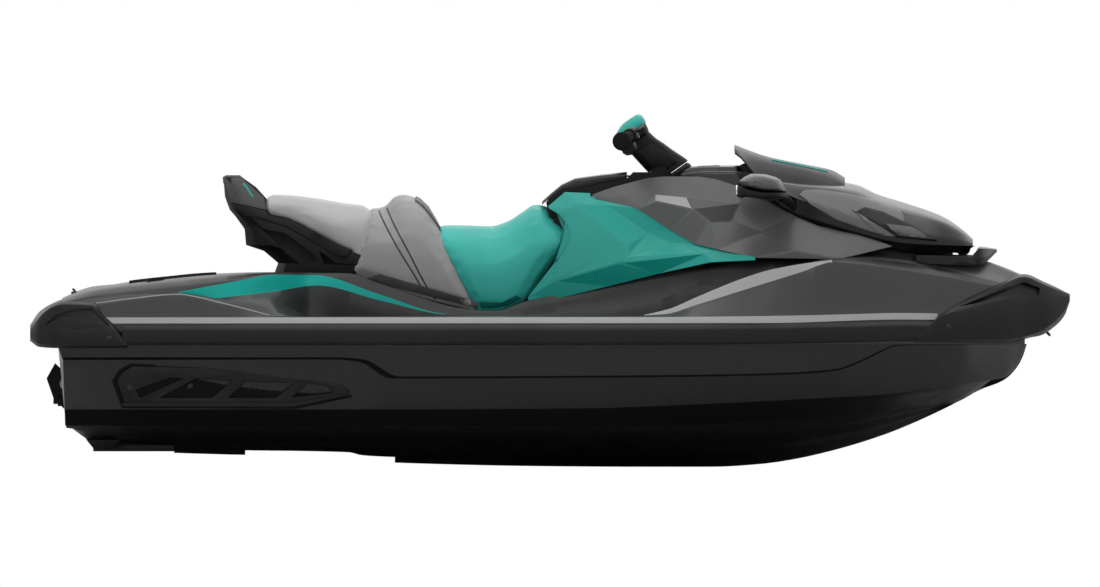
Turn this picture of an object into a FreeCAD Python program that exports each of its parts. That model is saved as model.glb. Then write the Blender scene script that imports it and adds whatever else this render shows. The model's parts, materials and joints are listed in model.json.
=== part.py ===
import FreeCAD, Part
import math
import os
import Sketcher

# Three-seat personal watercraft. X runs forward to the bow, Y to port, Z up, in millimetres.
# The origin lies on the centreline at mid-length, at the height of the waterline of the empty craft.
# Side outlines are laid off on a lofting grid: stations counted forward from the stern,
# levels counted up from the lowest point of the keel.

Vector = FreeCAD.Vector
document = FreeCAD.newDocument("personal_watercraft")
sheet = document.addObject("Spreadsheet::Sheet", "sizes")

SIZES = [
    ("hull_length", 3320), ("hull_beam", 1255), ("body_height", 1110), ("draught", 250),
    ("station_count", 104), ("level_count", 34.8),
    ("overrun", 60), ("seam", 0.6), ("soft_gap", 0.4), ("moving_gap", 6), ("pin_gap", 0.3),
    ("rail_thickness", 24), ("rail_bevel", 9), ("bumper_thickness", 26),
    ("seat_width", 400), ("seat_top_width", 250), ("seat_crown", 14), ("seat_shoulder_drop", 34),
    ("grab_rail_diameter", 30), ("grab_rail_width", 250),
    ("fairing_thickness", 18), ("hood_wall", 20), ("visor_wall", 8),
    ("lid_width", 220), ("glove_depth", 95), ("glove_wall", 9),
    ("glove_length", 150), ("lid_knuckle_diameter", 16),
    ("lid_knuckle_width", 40), ("lid_pin_diameter", 8),
    ("bin_length", 330), ("bin_width", 400), ("bin_depth", 215), ("bin_wall", 6),
    ("bin_station", 77.2),
    ("hinge_pin_diameter", 12), ("hinge_knuckle_diameter", 24),
    ("hinge_knuckle_width", 30), ("hinge_spacing", 90),
    ("engine_length", 560), ("engine_width", 330), ("engine_height", 330), ("engine_clearance", 15),
    ("engine_station", 53.5), ("engine_level", 3.4),
    ("mat_thickness", 5), ("mat_margin", 14),
    ("pump_level", 8.3), ("pump_bore", 158), ("pump_wall", 11), ("pump_flange_diameter", 214),
    ("pump_flange_thickness", 12), ("pump_length", 236), ("pump_front_station", 14.4),
    ("outlet_diameter", 92), ("outlet_wall", 6), ("stator_hub_diameter", 58), ("stator_length", 70),
    ("stator_count", 7), ("vane_thickness", 4), ("vane_twist", 24),
    ("impeller_hub_diameter", 54), ("impeller_length", 86), ("impeller_running_gap", 5),
    ("blade_count", 4), ("blade_thickness", 5), ("blade_wrap", 128),
    ("shaft_diameter", 24), ("shaft_bore", 38),
    ("carrier_thickness", 16),
    ("bay_width", 296), ("bay_top_level", 12.0), ("bay_floor_level", 2.3),
    ("tunnel_width", 150), ("tunnel_mouth_rear", 21.5), ("tunnel_mouth_front", 36.5),
    ("grate_bar_diameter", 10), ("grate_bar_count", 4), ("grate_frame", 16),
    ("ride_plate_thickness", 14), ("ride_plate_width", 270), ("ride_plate_front", 20.8),
    ("nozzle_station", 5.5), ("nozzle_length", 62), ("nozzle_inlet_diameter", 116),
    ("nozzle_outlet_diameter", 78), ("nozzle_wall", 5),
    ("pivot_ear_thickness", 9), ("pivot_ear_diameter", 24), ("pivot_pin_diameter", 10),
    ("gate_station", 3.6), ("gate_width", 214), ("gate_reach", 88), ("gate_wall", 6), ("gate_pin_diameter", 14),
    ("gate_arm_width", 34), ("turned_sides", 32),
    ("bracket_thickness", 9), ("bracket_height", 40),
    ("column_pin_diameter", 26), ("steer_station", 63.8), ("steer_level", 29.2), ("steer_rake", 35),
    ("neck_height", 150), ("neck_base_length", 122), ("neck_base_width", 90), ("neck_base_shift", 18),
    ("neck_top_length", 92), ("neck_top_width", 112), ("boot_height", 24), ("boot_flare", 16),
    ("bar_diameter", 22), ("bar_width", 780), ("bar_level", 160), ("bar_end_level", 173), ("bar_shift", 14),
    ("bar_end_shift", 58), ("bar_centre_width", 190),
    ("grip_length", 132), ("grip_diameter", 35), ("grip_flange_diameter", 56), ("grip_flange_thickness", 8),
    ("pad_length", 112), ("pad_width", 178), ("pad_height", 70),
    ("lever_length", 105), ("lever_thickness", 12), ("lever_gap", 46),
    ("switch_length", 46), ("switch_diameter", 46),
    ("mirror_width", 176), ("mirror_inner", 318), ("mirror_arm_diameter", 30),
    ("gauge_width", 150), ("gauge_height", 78), ("gauge_thickness", 12),
    ("eye_wire", 9), ("bow_ring_diameter", 44), ("tow_ring_diameter", 36), ("eye_plate_thickness", 8),
    ("eye_plate_width", 56), ("bow_eye_station", 102.0), ("bow_eye_level", 12.05), ("tow_eye_station", 4.6),
    ("anchor_diameter", 60), ("anchor_bore", 24), ("anchor_height", 9), ("anchor_depth", 30),
    ("anchor_station", 12.5), ("anchor_spacing", 620),
    ("drain_diameter", 34), ("drain_length", 14), ("drain_spacing", 420), ("drain_level", 6.6),
    ("sponson_thickness", 34), ("fin_thickness", 10), ("fin_depth", 24),
    ("drain_grip_thickness", 8), ("drain_grip_height", 20),
]

for row_number, (alias, value) in enumerate(SIZES, start=1):
    cell = "B{}".format(row_number)
    sheet.set("A{}".format(row_number), alias)
    sheet.set(cell, str(value))
    sheet.setAlias(cell, alias)
document.recompute()
size = {alias: float(sheet.get(alias)) for alias, value in SIZES}

HALF_LENGTH = size["hull_length"] / 2
HALF_BEAM = size["hull_beam"] / 2
STATION = size["hull_length"] / size["station_count"]
LEVEL = size["body_height"] / size["level_count"]
SEAM = size["seam"]


def along(station_share):
    """Place along X of a station."""
    return station_share * STATION - HALF_LENGTH


def height(level_share):
    """Place along Z of a level."""
    return level_share * LEVEL - size["draught"]


def interpolate(table, station_share, column=1):
    """Value of one column of a table of rows at a station, straight between the rows."""
    if station_share <= table[0][0]:
        return table[0][column]
    for low, high in zip(table, table[1:]):
        if station_share <= high[0]:
            part = (station_share - low[0]) / (high[0] - low[0])
            return low[column] + part * (high[column] - low[column])
    return table[-1][column]


# Half-breadth of the gunwale in plan, as shares of the half beam.
beam_shares = [
    (0, 0.80), (3.2, 0.895), (14.8, 0.95), (32, 0.99), (45, 1), (55, 0.997), (66.5, 0.967), (74, 0.915),
    (80.5, 0.838), (85, 0.755), (90, 0.635), (94.5, 0.50), (98, 0.375), (99.5, 0.305), (102, 0.20), (104, 0.08),
]


def gunwale(station_share):
    """Half-breadth of the body under the rub rail at a station."""
    return interpolate(beam_shares, station_share) * HALF_BEAM - size["rail_thickness"]


FLATNESS = 1e-7
SAME_POINT = 1e-4


def section_at(x, points):
    """Corners of a section in a plane across the craft, from (y, z) points."""
    return [Vector(x, y, z) for y, z in points]


def rib(foot, head, points):
    """Corners of a section whose plane leans from a foot to a head, each a (station, level) pair.

    The points are half-widths with their shares of the way from foot to head.
    """
    low = Vector(along(foot[0]), 0, height(foot[1]))
    high = Vector(along(head[0]), 0, height(head[1]))
    port = [low + (high - low) * share + Vector(0, y, 0) for y, share in points]
    starboard = [low + (high - low) * share - Vector(0, y, 0) for y, share in reversed(points) if y > 0]
    return port + starboard


def mirrored(half_points):
    """Both halves of a cross-section from its starboard half, which begins and ends on the centreline."""
    other = [(-y, z) for y, z in reversed(half_points) if y > 0]
    return half_points + other


def panel(corners):
    """Flat panels over four corners: one if they lie flat, otherwise two along the shorter diagonal."""
    distinct = []
    for corner in corners:
        if all(corner.distanceToPoint(other) > SAME_POINT for other in distinct):
            distinct.append(corner)
    if len(distinct) < 3:
        return []
    if len(distinct) == 3:
        return [Part.Face(Part.makePolygon(distinct + distinct[:1]))]
    first, second, third, fourth = distinct
    normal = (third - first).cross(fourth - second)
    if abs((second - first).dot(normal)) < FLATNESS * normal.Length:
        return [Part.Face(Part.makePolygon([first, second, third, fourth, first]))]
    if first.distanceToPoint(third) <= second.distanceToPoint(fourth):
        triangles = [(first, second, third), (first, third, fourth)]
    else:
        triangles = [(first, second, fourth), (second, third, fourth)]
    return [Part.Face(Part.makePolygon([a, b, c, a])) for a, b, c in triangles]


def loft(sections):
    """Solid of flat panels through closed sections, each the same number of corners in one plane."""
    faces = [Part.Face(Part.makePolygon(section + section[:1])) for section in (sections[0], sections[-1])]
    for near, far in zip(sections, sections[1:]):
        count = len(near)
        for index in range(count):
            following = (index + 1) % count
            faces += panel([near[index], near[following], far[following], far[index]])
    shell = Part.makeShell(faces)
    shell.sewShape()
    solid = Part.makeSolid(shell)
    if solid.Volume < 0:
        solid.reverse()
    return solid


def outline_prism(points, low_y, high_y):
    """Side outline of (x, z) points carried straight across from low_y to high_y."""
    corners = [Vector(x, low_y, z) for x, z in points]
    corners.append(corners[0])
    face = Part.Face(Part.makePolygon(corners))
    return face.extrude(Vector(0, high_y - low_y, 0))


def grid_points(shares):
    """Side outline in millimetres from (station, level) pairs."""
    return [(along(station_share), height(level_share)) for station_share, level_share in shares]


def both_sides(shape):
    """The shape and its mirror image across the centreline."""
    return Part.makeCompound([shape, shape.mirror(Vector(0, 0, 0), Vector(0, 1, 0))])


def box(low, high):
    """Box between two corners."""
    corner = Vector(*low)
    return Part.makeBox(high[0] - low[0], high[1] - low[1], high[2] - low[2], corner)


def place(label, shape):
    """Document object that holds a finished shape."""
    feature = document.addObject("Part::Feature", label)
    feature.Shape = shape
    feature.Placement = FreeCAD.Placement()
    feature.Label = label
    return feature


def solids_of(shape):
    """The shape as one solid, or as a compound of its solids."""
    solids = shape.Solids
    return solids[0] if len(solids) == 1 else Part.makeCompound(solids)


# Lower hull, one row a station: keel level, chine level and half-breadth, crease level and half-breadth.
HULL_TOP_SHARE = 12.2
hull_shares = [
    (3.2, 1.5, 5.75, 0.80, 9.0, 0.95),
    (14.8, 1.3, 5.75, 0.81, 9.0, 0.952),
    (32, 1.0, 5.75, 0.82, 9.0, 0.955),
    (45, 0.4, 5.8, 0.81, 9.0, 0.955),
    (55, 0.05, 5.9, 0.795, 9.05, 0.955),
    (66.5, 0, 6.3, 0.745, 9.2, 0.95),
    (74, 0.4, 6.6, 0.68, 9.4, 0.94),
    (80.5, 1.6, 6.95, 0.60, 9.7, 0.92),
    (85, 3.05, 7.2, 0.52, 9.9, 0.90),
    (90, 5.15, 7.8, 0.39, 10.4, 0.84),
    (94.5, 7.45, 8.6, 0.24, 10.75, 0.74),
    (98, 9.1, 9.7, 0.10, 11.15, 0.63),
    (99.5, 11.3, 11.5, 0.05, 11.9, 0.60),
]
strake_inner_share = 0.44
strake_outer_share = 0.52
chine_inner_share = 0.93


def hull_half_section(row):
    """Half-section of the lower hull: keel, lifting strake, chine flat, chine, crease, top."""
    station_share, keel, chine, chine_half, crease, crease_half = row
    outer = chine_half * HALF_BEAM
    bottom = height(keel)
    rise = (height(chine) - bottom) * strake_inner_share
    flat = bottom + (height(chine) - bottom) * chine_inner_share
    return [
        (0, bottom),
        (outer * strake_inner_share, bottom + rise),
        (outer * strake_outer_share, bottom + rise),
        (outer * chine_inner_share, flat),
        (outer, flat),
        (outer, height(chine)),
        (gunwale(station_share) * crease_half, height(crease)),
        (gunwale(station_share), height(HULL_TOP_SHARE)),
        (0, height(HULL_TOP_SHARE)),
    ]


def hull_envelope():
    """Lower hull before the pump bay, the intake and the engine bay are cut."""
    return loft([section_at(along(row[0]), mirrored(hull_half_section(row))) for row in hull_shares])


# Deck, one row a station: outer crest, inner crest, footwell corners, pedestal edge, centre level.
# Each pair is a share of the gunwale's half-breadth and a level.
deck_shares = [
    (3.2, (0.985, 15.0), (0.93, 15.5), (0.84, 16.1), (0.76, 16.6), (0.66, 16.9), 16.95),
    (6.5, (0.985, 15.0), (0.94, 16.1), (0.86, 17.0), (0.78, 17.7), (0.68, 18.1), 18.15),
    (14.8, (0.985, 15.0), (0.95, 17.1), (0.86, 17.8), (0.79, 18.5), (0.70, 19.0), 19.1),
    (20, (0.985, 15.0), (0.95, 16.3), (0.87, 17.4), (0.80, 18.6), (0.71, 19.3), 19.45),
    (24.5, (0.985, 15.0), (0.94, 15.2), (0.87, 16.4), (0.76, 18.6), (0.66, 19.4), 19.5),
    (28, (0.985, 15.05), (0.90, 15.1), (0.86, 13.4), (0.44, 15.0), (0.38, 19.4), 19.5),
    (31.8, (0.985, 15.05), (0.89, 15.1), (0.855, 12.9), (0.37, 12.9), (0.35, 19.4), 19.45),
    (35, (0.985, 15.05), (0.89, 15.1), (0.855, 12.9), (0.37, 12.9), (0.35, 18.4), 18.45),
    (45, (0.985, 15.1), (0.89, 15.15), (0.855, 12.9), (0.37, 12.9), (0.35, 15.7), 15.75),
    (47, (0.985, 15.1), (0.89, 15.15), (0.855, 12.9), (0.37, 12.9), (0.35, 15.75), 15.8),
    (55, (0.985, 15.1), (0.89, 15.2), (0.855, 12.9), (0.37, 12.9), (0.35, 18.0), 18.05),
    (62, (0.985, 15.1), (0.89, 15.3), (0.855, 12.9), (0.375, 12.9), (0.36, 19.6), 19.65),
    (66.5, (0.985, 15.15), (0.89, 16.9), (0.85, 12.95), (0.41, 12.95), (0.40, 20.2), 20.4),
    (71.2, (0.985, 15.2), (0.87, 18.9), (0.82, 13.6), (0.50, 13.8), (0.48, 20.6), 20.8),
    (74, (0.985, 15.3), (0.85, 19.7), (0.79, 17.0), (0.62, 17.4), (0.58, 20.6), 21.0),
    (77, (0.985, 15.35), (0.83, 20.2), (0.76, 20.3), (0.70, 20.4), (0.62, 20.7), 21.2),
    (80.5, (0.985, 15.5), (0.82, 20.7), (0.76, 20.75), (0.70, 20.8), (0.62, 20.9), 21.3),
    (85, (0.985, 15.8), (0.81, 20.2), (0.72, 20.4), (0.60, 20.7), (0.48, 21.1), 21.4),
    (90, (0.985, 15.9), (0.79, 19.4), (0.70, 19.6), (0.56, 20.1), (0.40, 20.8), 21.2),
    (94.5, (0.985, 15.8), (0.77, 18.6), (0.66, 18.8), (0.50, 19.3), (0.34, 20.2), 20.6),
    (98, (0.98, 15.6), (0.75, 17.9), (0.62, 18.1), (0.46, 18.4), (0.30, 18.9), 19.4),
    (99.5, (0.97, 15.4), (0.72, 17.5), (0.58, 17.7), (0.42, 18.0), (0.26, 18.4), 18.9),
]
DECK_SIDE_SHARE = 14.2


def deck_half_section(row):
    """Half-section of the deck from the centre of its flat underside to the centre of its top."""
    station_share = row[0]
    side = gunwale(station_share)
    points = [(0, height(HULL_TOP_SHARE)), (side, height(HULL_TOP_SHARE)), (side, height(DECK_SIDE_SHARE))]
    points += [(share * side, height(level_share)) for share, level_share in row[1:6]]
    points.append((0, height(row[6])))
    return points


def deck_envelope():
    """Deck before its bays are cut."""
    return loft([section_at(along(row[0]), mirrored(deck_half_section(row))) for row in deck_shares])


PUMP_Z = height(size["pump_level"])
PUMP_FRONT = along(size["pump_front_station"])
PUMP_REAR = PUMP_FRONT - size["pump_length"]
TRANSOM = along(hull_shares[0][0])
ENGINE_LOW = (
    along(size["engine_station"]) - size["engine_length"] / 2,
    -size["engine_width"] / 2,
    height(size["engine_level"]),
)
ENGINE_HIGH = (
    ENGINE_LOW[0] + size["engine_length"],
    -ENGINE_LOW[1],
    ENGINE_LOW[2] + size["engine_height"],
)


def x_cylinder(diameter, low_x, high_x, z=PUMP_Z, y=0):
    """Cylinder along X."""
    return Part.makeCylinder(diameter / 2, high_x - low_x, Vector(low_x, y, z), Vector(1, 0, 0))


def y_cylinder(diameter, low_y, high_y, x, z):
    """Cylinder along Y."""
    return Part.makeCylinder(diameter / 2, high_y - low_y, Vector(x, low_y, z), Vector(0, 1, 0))


def engine_bay():
    """Closed space round the engine."""
    room = size["engine_clearance"]
    low = (ENGINE_LOW[0] - room, ENGINE_LOW[1] - room, ENGINE_LOW[2] - SEAM / 2)
    high = (ENGINE_HIGH[0] + room, ENGINE_HIGH[1] + room, ENGINE_HIGH[2] + room)
    return box(low, high)


tunnel_floor_share = 2.6
tunnel_depth_share = -2
tunnel_roof_share = 0.94


def intake_tunnel():
    """Water intake: a slanted duct from the mouth under the keel up to the pump bore."""
    half = size["tunnel_width"] / 2
    radius = size["pump_bore"] / 2
    mouth_z = height(tunnel_depth_share)
    roof = PUMP_Z + radius * tunnel_roof_share
    floor = PUMP_Z - radius
    outline = [
        (PUMP_FRONT, roof),
        (along(size["tunnel_mouth_rear"]), roof),
        (along(size["tunnel_mouth_front"]), height(tunnel_floor_share)),
        (along(size["tunnel_mouth_front"]), mouth_z),
        (along(size["tunnel_mouth_rear"]), mouth_z),
        (along(size["tunnel_mouth_rear"]), height(tunnel_floor_share)),
        (PUMP_FRONT, floor),
    ]
    return outline_prism(outline, -half, half)


def pump_bay():
    """Open bay at the stern that holds the pump above the ride plate."""
    half = size["bay_width"] / 2
    low = (TRANSOM - size["overrun"], -half, height(0) - size["overrun"])
    high = (PUMP_FRONT, half, height(size["bay_top_level"]))
    return box(low, high)


def build_hull():
    """Lower hull with its pump bay, intake tunnel, shaft bore and half of the engine bay."""
    shape = hull_envelope()
    shaft_high = ENGINE_LOW[0]
    tools = [pump_bay(), intake_tunnel(), engine_bay(), x_cylinder(size["shaft_bore"], PUMP_FRONT, shaft_high)]
    for tool in tools:
        shape = shape.cut(tool)
    return place("hull", solids_of(shape))


def bin_box(margin):
    """Storage bin as a box, wider all round by the margin and open far above the deck."""
    low_x = along(size["bin_station"]) - margin
    half = size["bin_width"] / 2 + margin
    top = height(core_shares[3][4]) + size["overrun"]
    bottom = height(core_shares[3][4]) - size["bin_depth"] - margin
    return box((low_x, -half, bottom), (low_x + size["bin_length"] + 2 * margin, half, top))


def build_deck():
    """Deck with gunwales, footwells, stern platform and foredeck."""
    shape = deck_envelope()
    for tool in (engine_bay(), bin_box(size["bin_wall"] + SEAM), anchor_holes()):
        shape = shape.cut(tool)
    return place("deck", solids_of(shape))


def platform_level(station_share):
    """Level of the deck's centreline at a station."""
    return interpolate(deck_shares, station_share, 6)


ANCHOR_Z = height(platform_level(size["anchor_station"])) - size["anchor_height"]


def anchor_holes():
    """Blind sockets of the two accessory anchors on the stern platform."""
    half = size["anchor_spacing"] / 2
    depth = size["anchor_depth"] + size["anchor_height"]
    base = ANCHOR_Z + size["anchor_height"] - size["anchor_depth"] - size["anchor_height"]
    holes = []
    for side in (-1, 1):
        centre = Vector(along(size["anchor_station"]), side * half, base)
        holes.append(Part.makeCylinder(size["anchor_diameter"] / 2 + SEAM, depth + size["overrun"], centre))
    return Part.makeCompound(holes)


def build_anchors():
    """Two accessory anchor sockets let into the stern platform."""
    half = size["anchor_spacing"] / 2
    depth = size["anchor_depth"] + size["anchor_height"]
    base = ANCHOR_Z - size["anchor_depth"] + SEAM
    rings = []
    for side in (-1, 1):
        centre = Vector(along(size["anchor_station"]), side * half, base)
        body = Part.makeCylinder(size["anchor_diameter"] / 2, depth, centre)
        bore = Part.makeCylinder(size["anchor_bore"] / 2, depth, centre + Vector(0, 0, size["anchor_height"]))
        rings.append(body.cut(bore))
    return place("accessory_anchors", Part.makeCompound(rings))


def build_engine():
    """Engine as one block on the floor of its bay."""
    body = document.addObject("PartDesign::Body", "engine_block")
    body.Label = "engine_block"
    plane = [item for item in body.Origin.OriginFeatures if item.Role == "XY_Plane"][0]
    sketch = body.newObject("Sketcher::SketchObject", "engine_outline")
    sketch.AttachmentSupport = [(plane, "")]
    sketch.MapMode = "FlatFace"
    rectangle(sketch, "sizes.engine_length", "sizes.engine_width", "engine_length", "engine_width")
    pad = body.newObject("PartDesign::Pad", "engine_pad")
    pad.Profile = sketch
    pad.setExpression("Length", "sizes.engine_height")
    base = "sizes.engine_station * sizes.hull_length / sizes.station_count - sizes.hull_length / 2"
    body.setExpression("Placement.Base.x", base)
    body.setExpression(
        "Placement.Base.z", "sizes.engine_level * sizes.body_height / sizes.level_count - sizes.draught"
    )
    return body


def rectangle(sketch, width_expression, depth_expression, width_name, depth_name):
    """Rectangle centred on the sketch's origin, its two sides bound to the sheet."""
    half_width = size[width_name] / 2
    half_depth = size[depth_name] / 2
    corners = [(-half_width, -half_depth), (half_width, -half_depth), (half_width, half_depth),
               (-half_width, half_depth)]
    for start, end in zip(corners, corners[1:] + corners[:1]):
        sketch.addGeometry(Part.LineSegment(Vector(start[0], start[1], 0), Vector(end[0], end[1], 0)))
    for first, second in ((0, 1), (1, 2), (2, 3), (3, 0)):
        sketch.addConstraint(Sketcher.Constraint("Coincident", first, 2, second, 1))
    sketch.addConstraint(Sketcher.Constraint("Horizontal", 0))
    sketch.addConstraint(Sketcher.Constraint("Horizontal", 2))
    sketch.addConstraint(Sketcher.Constraint("Vertical", 1))
    sketch.addConstraint(Sketcher.Constraint("Vertical", 3))
    sketch.addConstraint(Sketcher.Constraint("Symmetric", 0, 1, 1, 2, -1, 1))
    width = sketch.addConstraint(Sketcher.Constraint("DistanceX", 0, 1, 0, 2, 2 * half_width))
    depth = sketch.addConstraint(Sketcher.Constraint("DistanceY", 1, 1, 1, 2, 2 * half_depth))
    sketch.setExpression("Constraints[{}]".format(width), width_expression)
    sketch.setExpression("Constraints[{}]".format(depth), depth_expression)


# Inner moulding between the side fairings, one row a station: half-width of the top and of the foot
# in millimetres' shares of the half beam, top level, foot level.
core_shares = [
    (61.2, 0.255, 0.30, 19.2, 27.9),
    (67.5, 0.30, 0.40, 19.8, 28.2),
    (70.7, 0.34, 0.47, 20.5, 27.4),
    (76.3, 0.42, 0.53, 20.8, 24.4),
    (81, 0.45, 0.56, 20.8, 23.3),
    (86.3, 0.44, 0.48, 20.5, 21.9),
    (92.5, 0.28, 0.32, 20.3, 21.2),
]


def core_section(row):
    """Half-section of the inner moulding."""
    station_share, top_half, foot_half, foot, top = row
    return [
        (0, height(foot)),
        (foot_half * HALF_BEAM, height(foot)),
        (top_half * HALF_BEAM, height(top)),
        (0, height(top)),
    ]


def core_envelope():
    """Inner moulding before the bin and the deck are taken from it."""
    return loft([section_at(along(row[0]), mirrored(core_section(row))) for row in core_shares])


def build_core():
    """Inner moulding that carries the dash, the fairings and the storage bin."""
    shape = core_envelope().cut(deck_envelope())
    shape = shape.cut(bin_box(size["bin_wall"] + SEAM))
    return place("inner_moulding", solids_of(shape))


# Side fairing, one row a station: foot half-width and level, waist half-width and level,
# top half-width and level. Widths are shares of the half beam.
fairing_shares = [
    (56.2, (0.245, 26.9), (0.25, 27.0), (0.24, 27.1)),
    (60.4, (0.30, 25.9), (0.31, 27.4), (0.285, 28.8)),
    (66.2, (0.42, 22.9), (0.40, 26.6), (0.34, 29.05)),
    (70.7, (0.53, 21.6), (0.50, 25.4), (0.385, 28.2)),
    (74.5, (0.575, 20.95), (0.56, 23.9), (0.445, 26.2)),
    (76.3, (0.59, 20.9), (0.585, 23.2), (0.47, 25.1)),
    (80.4, (0.605, 20.9), (0.61, 22.6), (0.505, 24.1)),
    (84.6, (0.56, 21.3), (0.565, 22.2), (0.50, 22.8)),
    (86.3, (0.52, 21.8), (0.525, 22.0), (0.49, 22.2)),
]


def fairing_section(row):
    """Section of one side fairing, a bent band of even thickness."""
    x = along(row[0])
    outer = [(share * HALF_BEAM, height(level_share)) for share, level_share in row[1:]]
    wall = size["fairing_thickness"]
    inner = [(y - wall, z) for y, z in reversed(outer)]
    return section_at(x, outer + inner)


def build_fairings():
    """Two grey side fairings, from the steering head to the front of the bonnet."""
    port = loft([fairing_section(row) for row in fairing_shares])
    port = port.cut(deck_envelope()).cut(core_envelope()).cut(console_envelope())
    biggest = max(port.Solids, key=lambda solid: solid.Volume)
    return place("side_fairings", both_sides(biggest))


# Console between the seat and the steering, one row a rib: foot, head, half-widths of foot, waist and head.
console_shares = [
    ((49.7, 16.95), (51.3, 18.6), 0.30, 0.30, 0.29),
    ((51.6, 17.4), (53.6, 21.7), 0.31, 0.305, 0.28),
    ((54.0, 17.9), (54.35, 23.5), 0.32, 0.31, 0.27),
    ((55.5, 18.3), (54.2, 25.0), 0.325, 0.31, 0.26),
    ((57.2, 18.7), (52.4, 26.45), 0.335, 0.31, 0.25),
    ((58.6, 19.0), (53.8, 27.2), 0.34, 0.315, 0.255),
    ((60.0, 19.3), (57.2, 27.3), 0.35, 0.32, 0.265),
    ((61.1, 19.5), (61.1, 26.2), 0.36, 0.33, 0.29),
]
console_waist_share = 0.6
console_wing_shares = [
    (61.1, (0.36, 19.6), (0.325, 23.6), (0.29, 25.7)),
    (66.2, (0.46, 20.6), (0.43, 21.8), (0.41, 22.8)),
    (70.9, (0.57, 20.9), (0.55, 21.2), (0.53, 21.5)),
    (72.7, (0.60, 20.9), (0.59, 20.95), (0.58, 21.0)),
]


def console_rib(row):
    """Section of the console's middle."""
    foot, head, foot_half, waist_half, head_half = row
    points = [
        (0, 0),
        (foot_half * HALF_BEAM, 0),
        (waist_half * HALF_BEAM, console_waist_share),
        (head_half * HALF_BEAM, 1),
        (0, 1),
    ]
    return rib(foot, head, points)


def wing_section(row):
    """Section of the band that runs forward from the console under a side fairing."""
    outer = [(share * HALF_BEAM, height(level_share)) for share, level_share in row[1:]]
    wall = size["fairing_thickness"]
    inner = [(y - wall, z) for y, z in reversed(outer)]
    return section_at(along(row[0]), outer + inner)


def console_envelope():
    """Console with its two forward bands, before the glove box is cut."""
    middle = loft([console_rib(row) for row in console_shares])
    wing = loft([wing_section(row) for row in console_wing_shares])
    return middle.fuse(wing).fuse(wing.mirror(Vector(0, 0, 0), Vector(0, 1, 0)))


glove_station_share = 54.6
glove_top_share = 26.2


def glove_box(margin):
    """Glove box as a box, wider all round by the margin and open above."""
    half = size["lid_width"] / 2 - size["glove_wall"] * 2 + margin
    low_x = along(glove_station_share) + size["glove_wall"] - margin
    bottom = height(glove_top_share) - size["glove_depth"] - margin
    high_x = low_x + size["glove_length"] + 2 * margin
    return box((low_x, -half, bottom), (high_x, half, height(glove_top_share) + size["overrun"] * 2))


def build_console():
    """Console shell with the pocket of the glove box."""
    shape = console_envelope().cut(deck_envelope()).cut(core_envelope())
    shape = shape.cut(glove_box(size["glove_wall"] + SEAM)).cut(driver_seat_solid(size["soft_gap"]))
    biggest = max(shape.Solids, key=lambda solid: solid.Volume)
    return place("console", biggest)


# Cushions, one row a rib from the rear: foot and head of the rib.
passenger_shares = [
    ((24.2, 25.4), (23.7, 26.9)),
    ((28.3, 23.9), (28.2, 26.9)),
    ((30.7, 22.5), (31.2, 26.4)),
    ((33.3, 21.5), (33.9, 25.75)),
]
middle_shares = [
    ((33.5, 19.3), (34.1, 25.75)),
    ((34.9, 18.4), (35.7, 26.0)),
    ((38.0, 17.6), (37.1, 27.1)),
    ((40.0, 17.1), (38.2, 27.1)),
    ((42.5, 16.4), (39.4, 26.1)),
    ((44.7, 15.8), (40.3, 24.3)),
]
driver_shares = [
    ((44.9, 15.8), (40.6, 24.2)),
    ((45.8, 15.75), (44.0, 23.9)),
    ((46.8, 15.8), (46.6, 23.9)),
    ((48.2, 16.3), (48.6, 24.6)),
    ((49.2, 16.8), (50.7, 26.1)),
    ((51.2, 19.1), (51.9, 25.7)),
    ((53.4, 22.0), (53.2, 24.2)),
]
seat_rib_shares = [(0.97, 0), (1, 0.45), (0.9, 0.8)]


def cushion(rows, clearance=0):
    """Saddle cushion over its ribs: straight sides, sloping shoulders and a crowned top."""
    half = size["seat_width"] / 2 + clearance
    top = size["seat_top_width"] / 2 + clearance
    sections = []
    for foot, head in rows:
        foot = (foot[0], foot[1] - seat_sink_share)
        points = [(0, 0)]
        points += [(half * width_share, share) for width_share, share in seat_rib_shares]
        points += [(top, seat_top_share), (0, 1)]
        sections.append(rib(foot, head, points))
    return loft(sections)


seat_top_share = 0.97
seat_sink_share = 0.35


def driver_seat_solid(clearance=0):
    """Front seat cushion."""
    return cushion(driver_shares, clearance)


def build_seats():
    """Three seat cushions, one behind the other."""
    floor = deck_envelope()
    return [
        place("passenger_seat", solids_of(cushion(passenger_shares).cut(floor).cut(tail_envelope()))),
        place("middle_seat", solids_of(cushion(middle_shares).cut(floor).cut(tail_envelope()))),
        place("driver_seat", solids_of(driver_seat_solid().cut(floor))),
    ]


rail_level_shares = (12.2, 13.8)
rail_stations_shares = (9.7, 14.8, 32, 45, 55, 66.5, 74, 80.5, 85, 88.7)


def build_rub_rails():
    """Two rub rails along the joint of hull and deck."""
    low, high = (height(share) for share in rail_level_shares)
    bevel = size["rail_bevel"]
    wires = []
    for station_share in rail_stations_shares:
        inner = gunwale(station_share)
        outer = inner + size["rail_thickness"]
        points = [(inner, low), (outer, low + bevel), (outer, high - bevel), (inner, high)]
        wires.append(section_at(along(station_share), points))
    return place("rub_rails", both_sides(loft(wires)))


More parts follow.
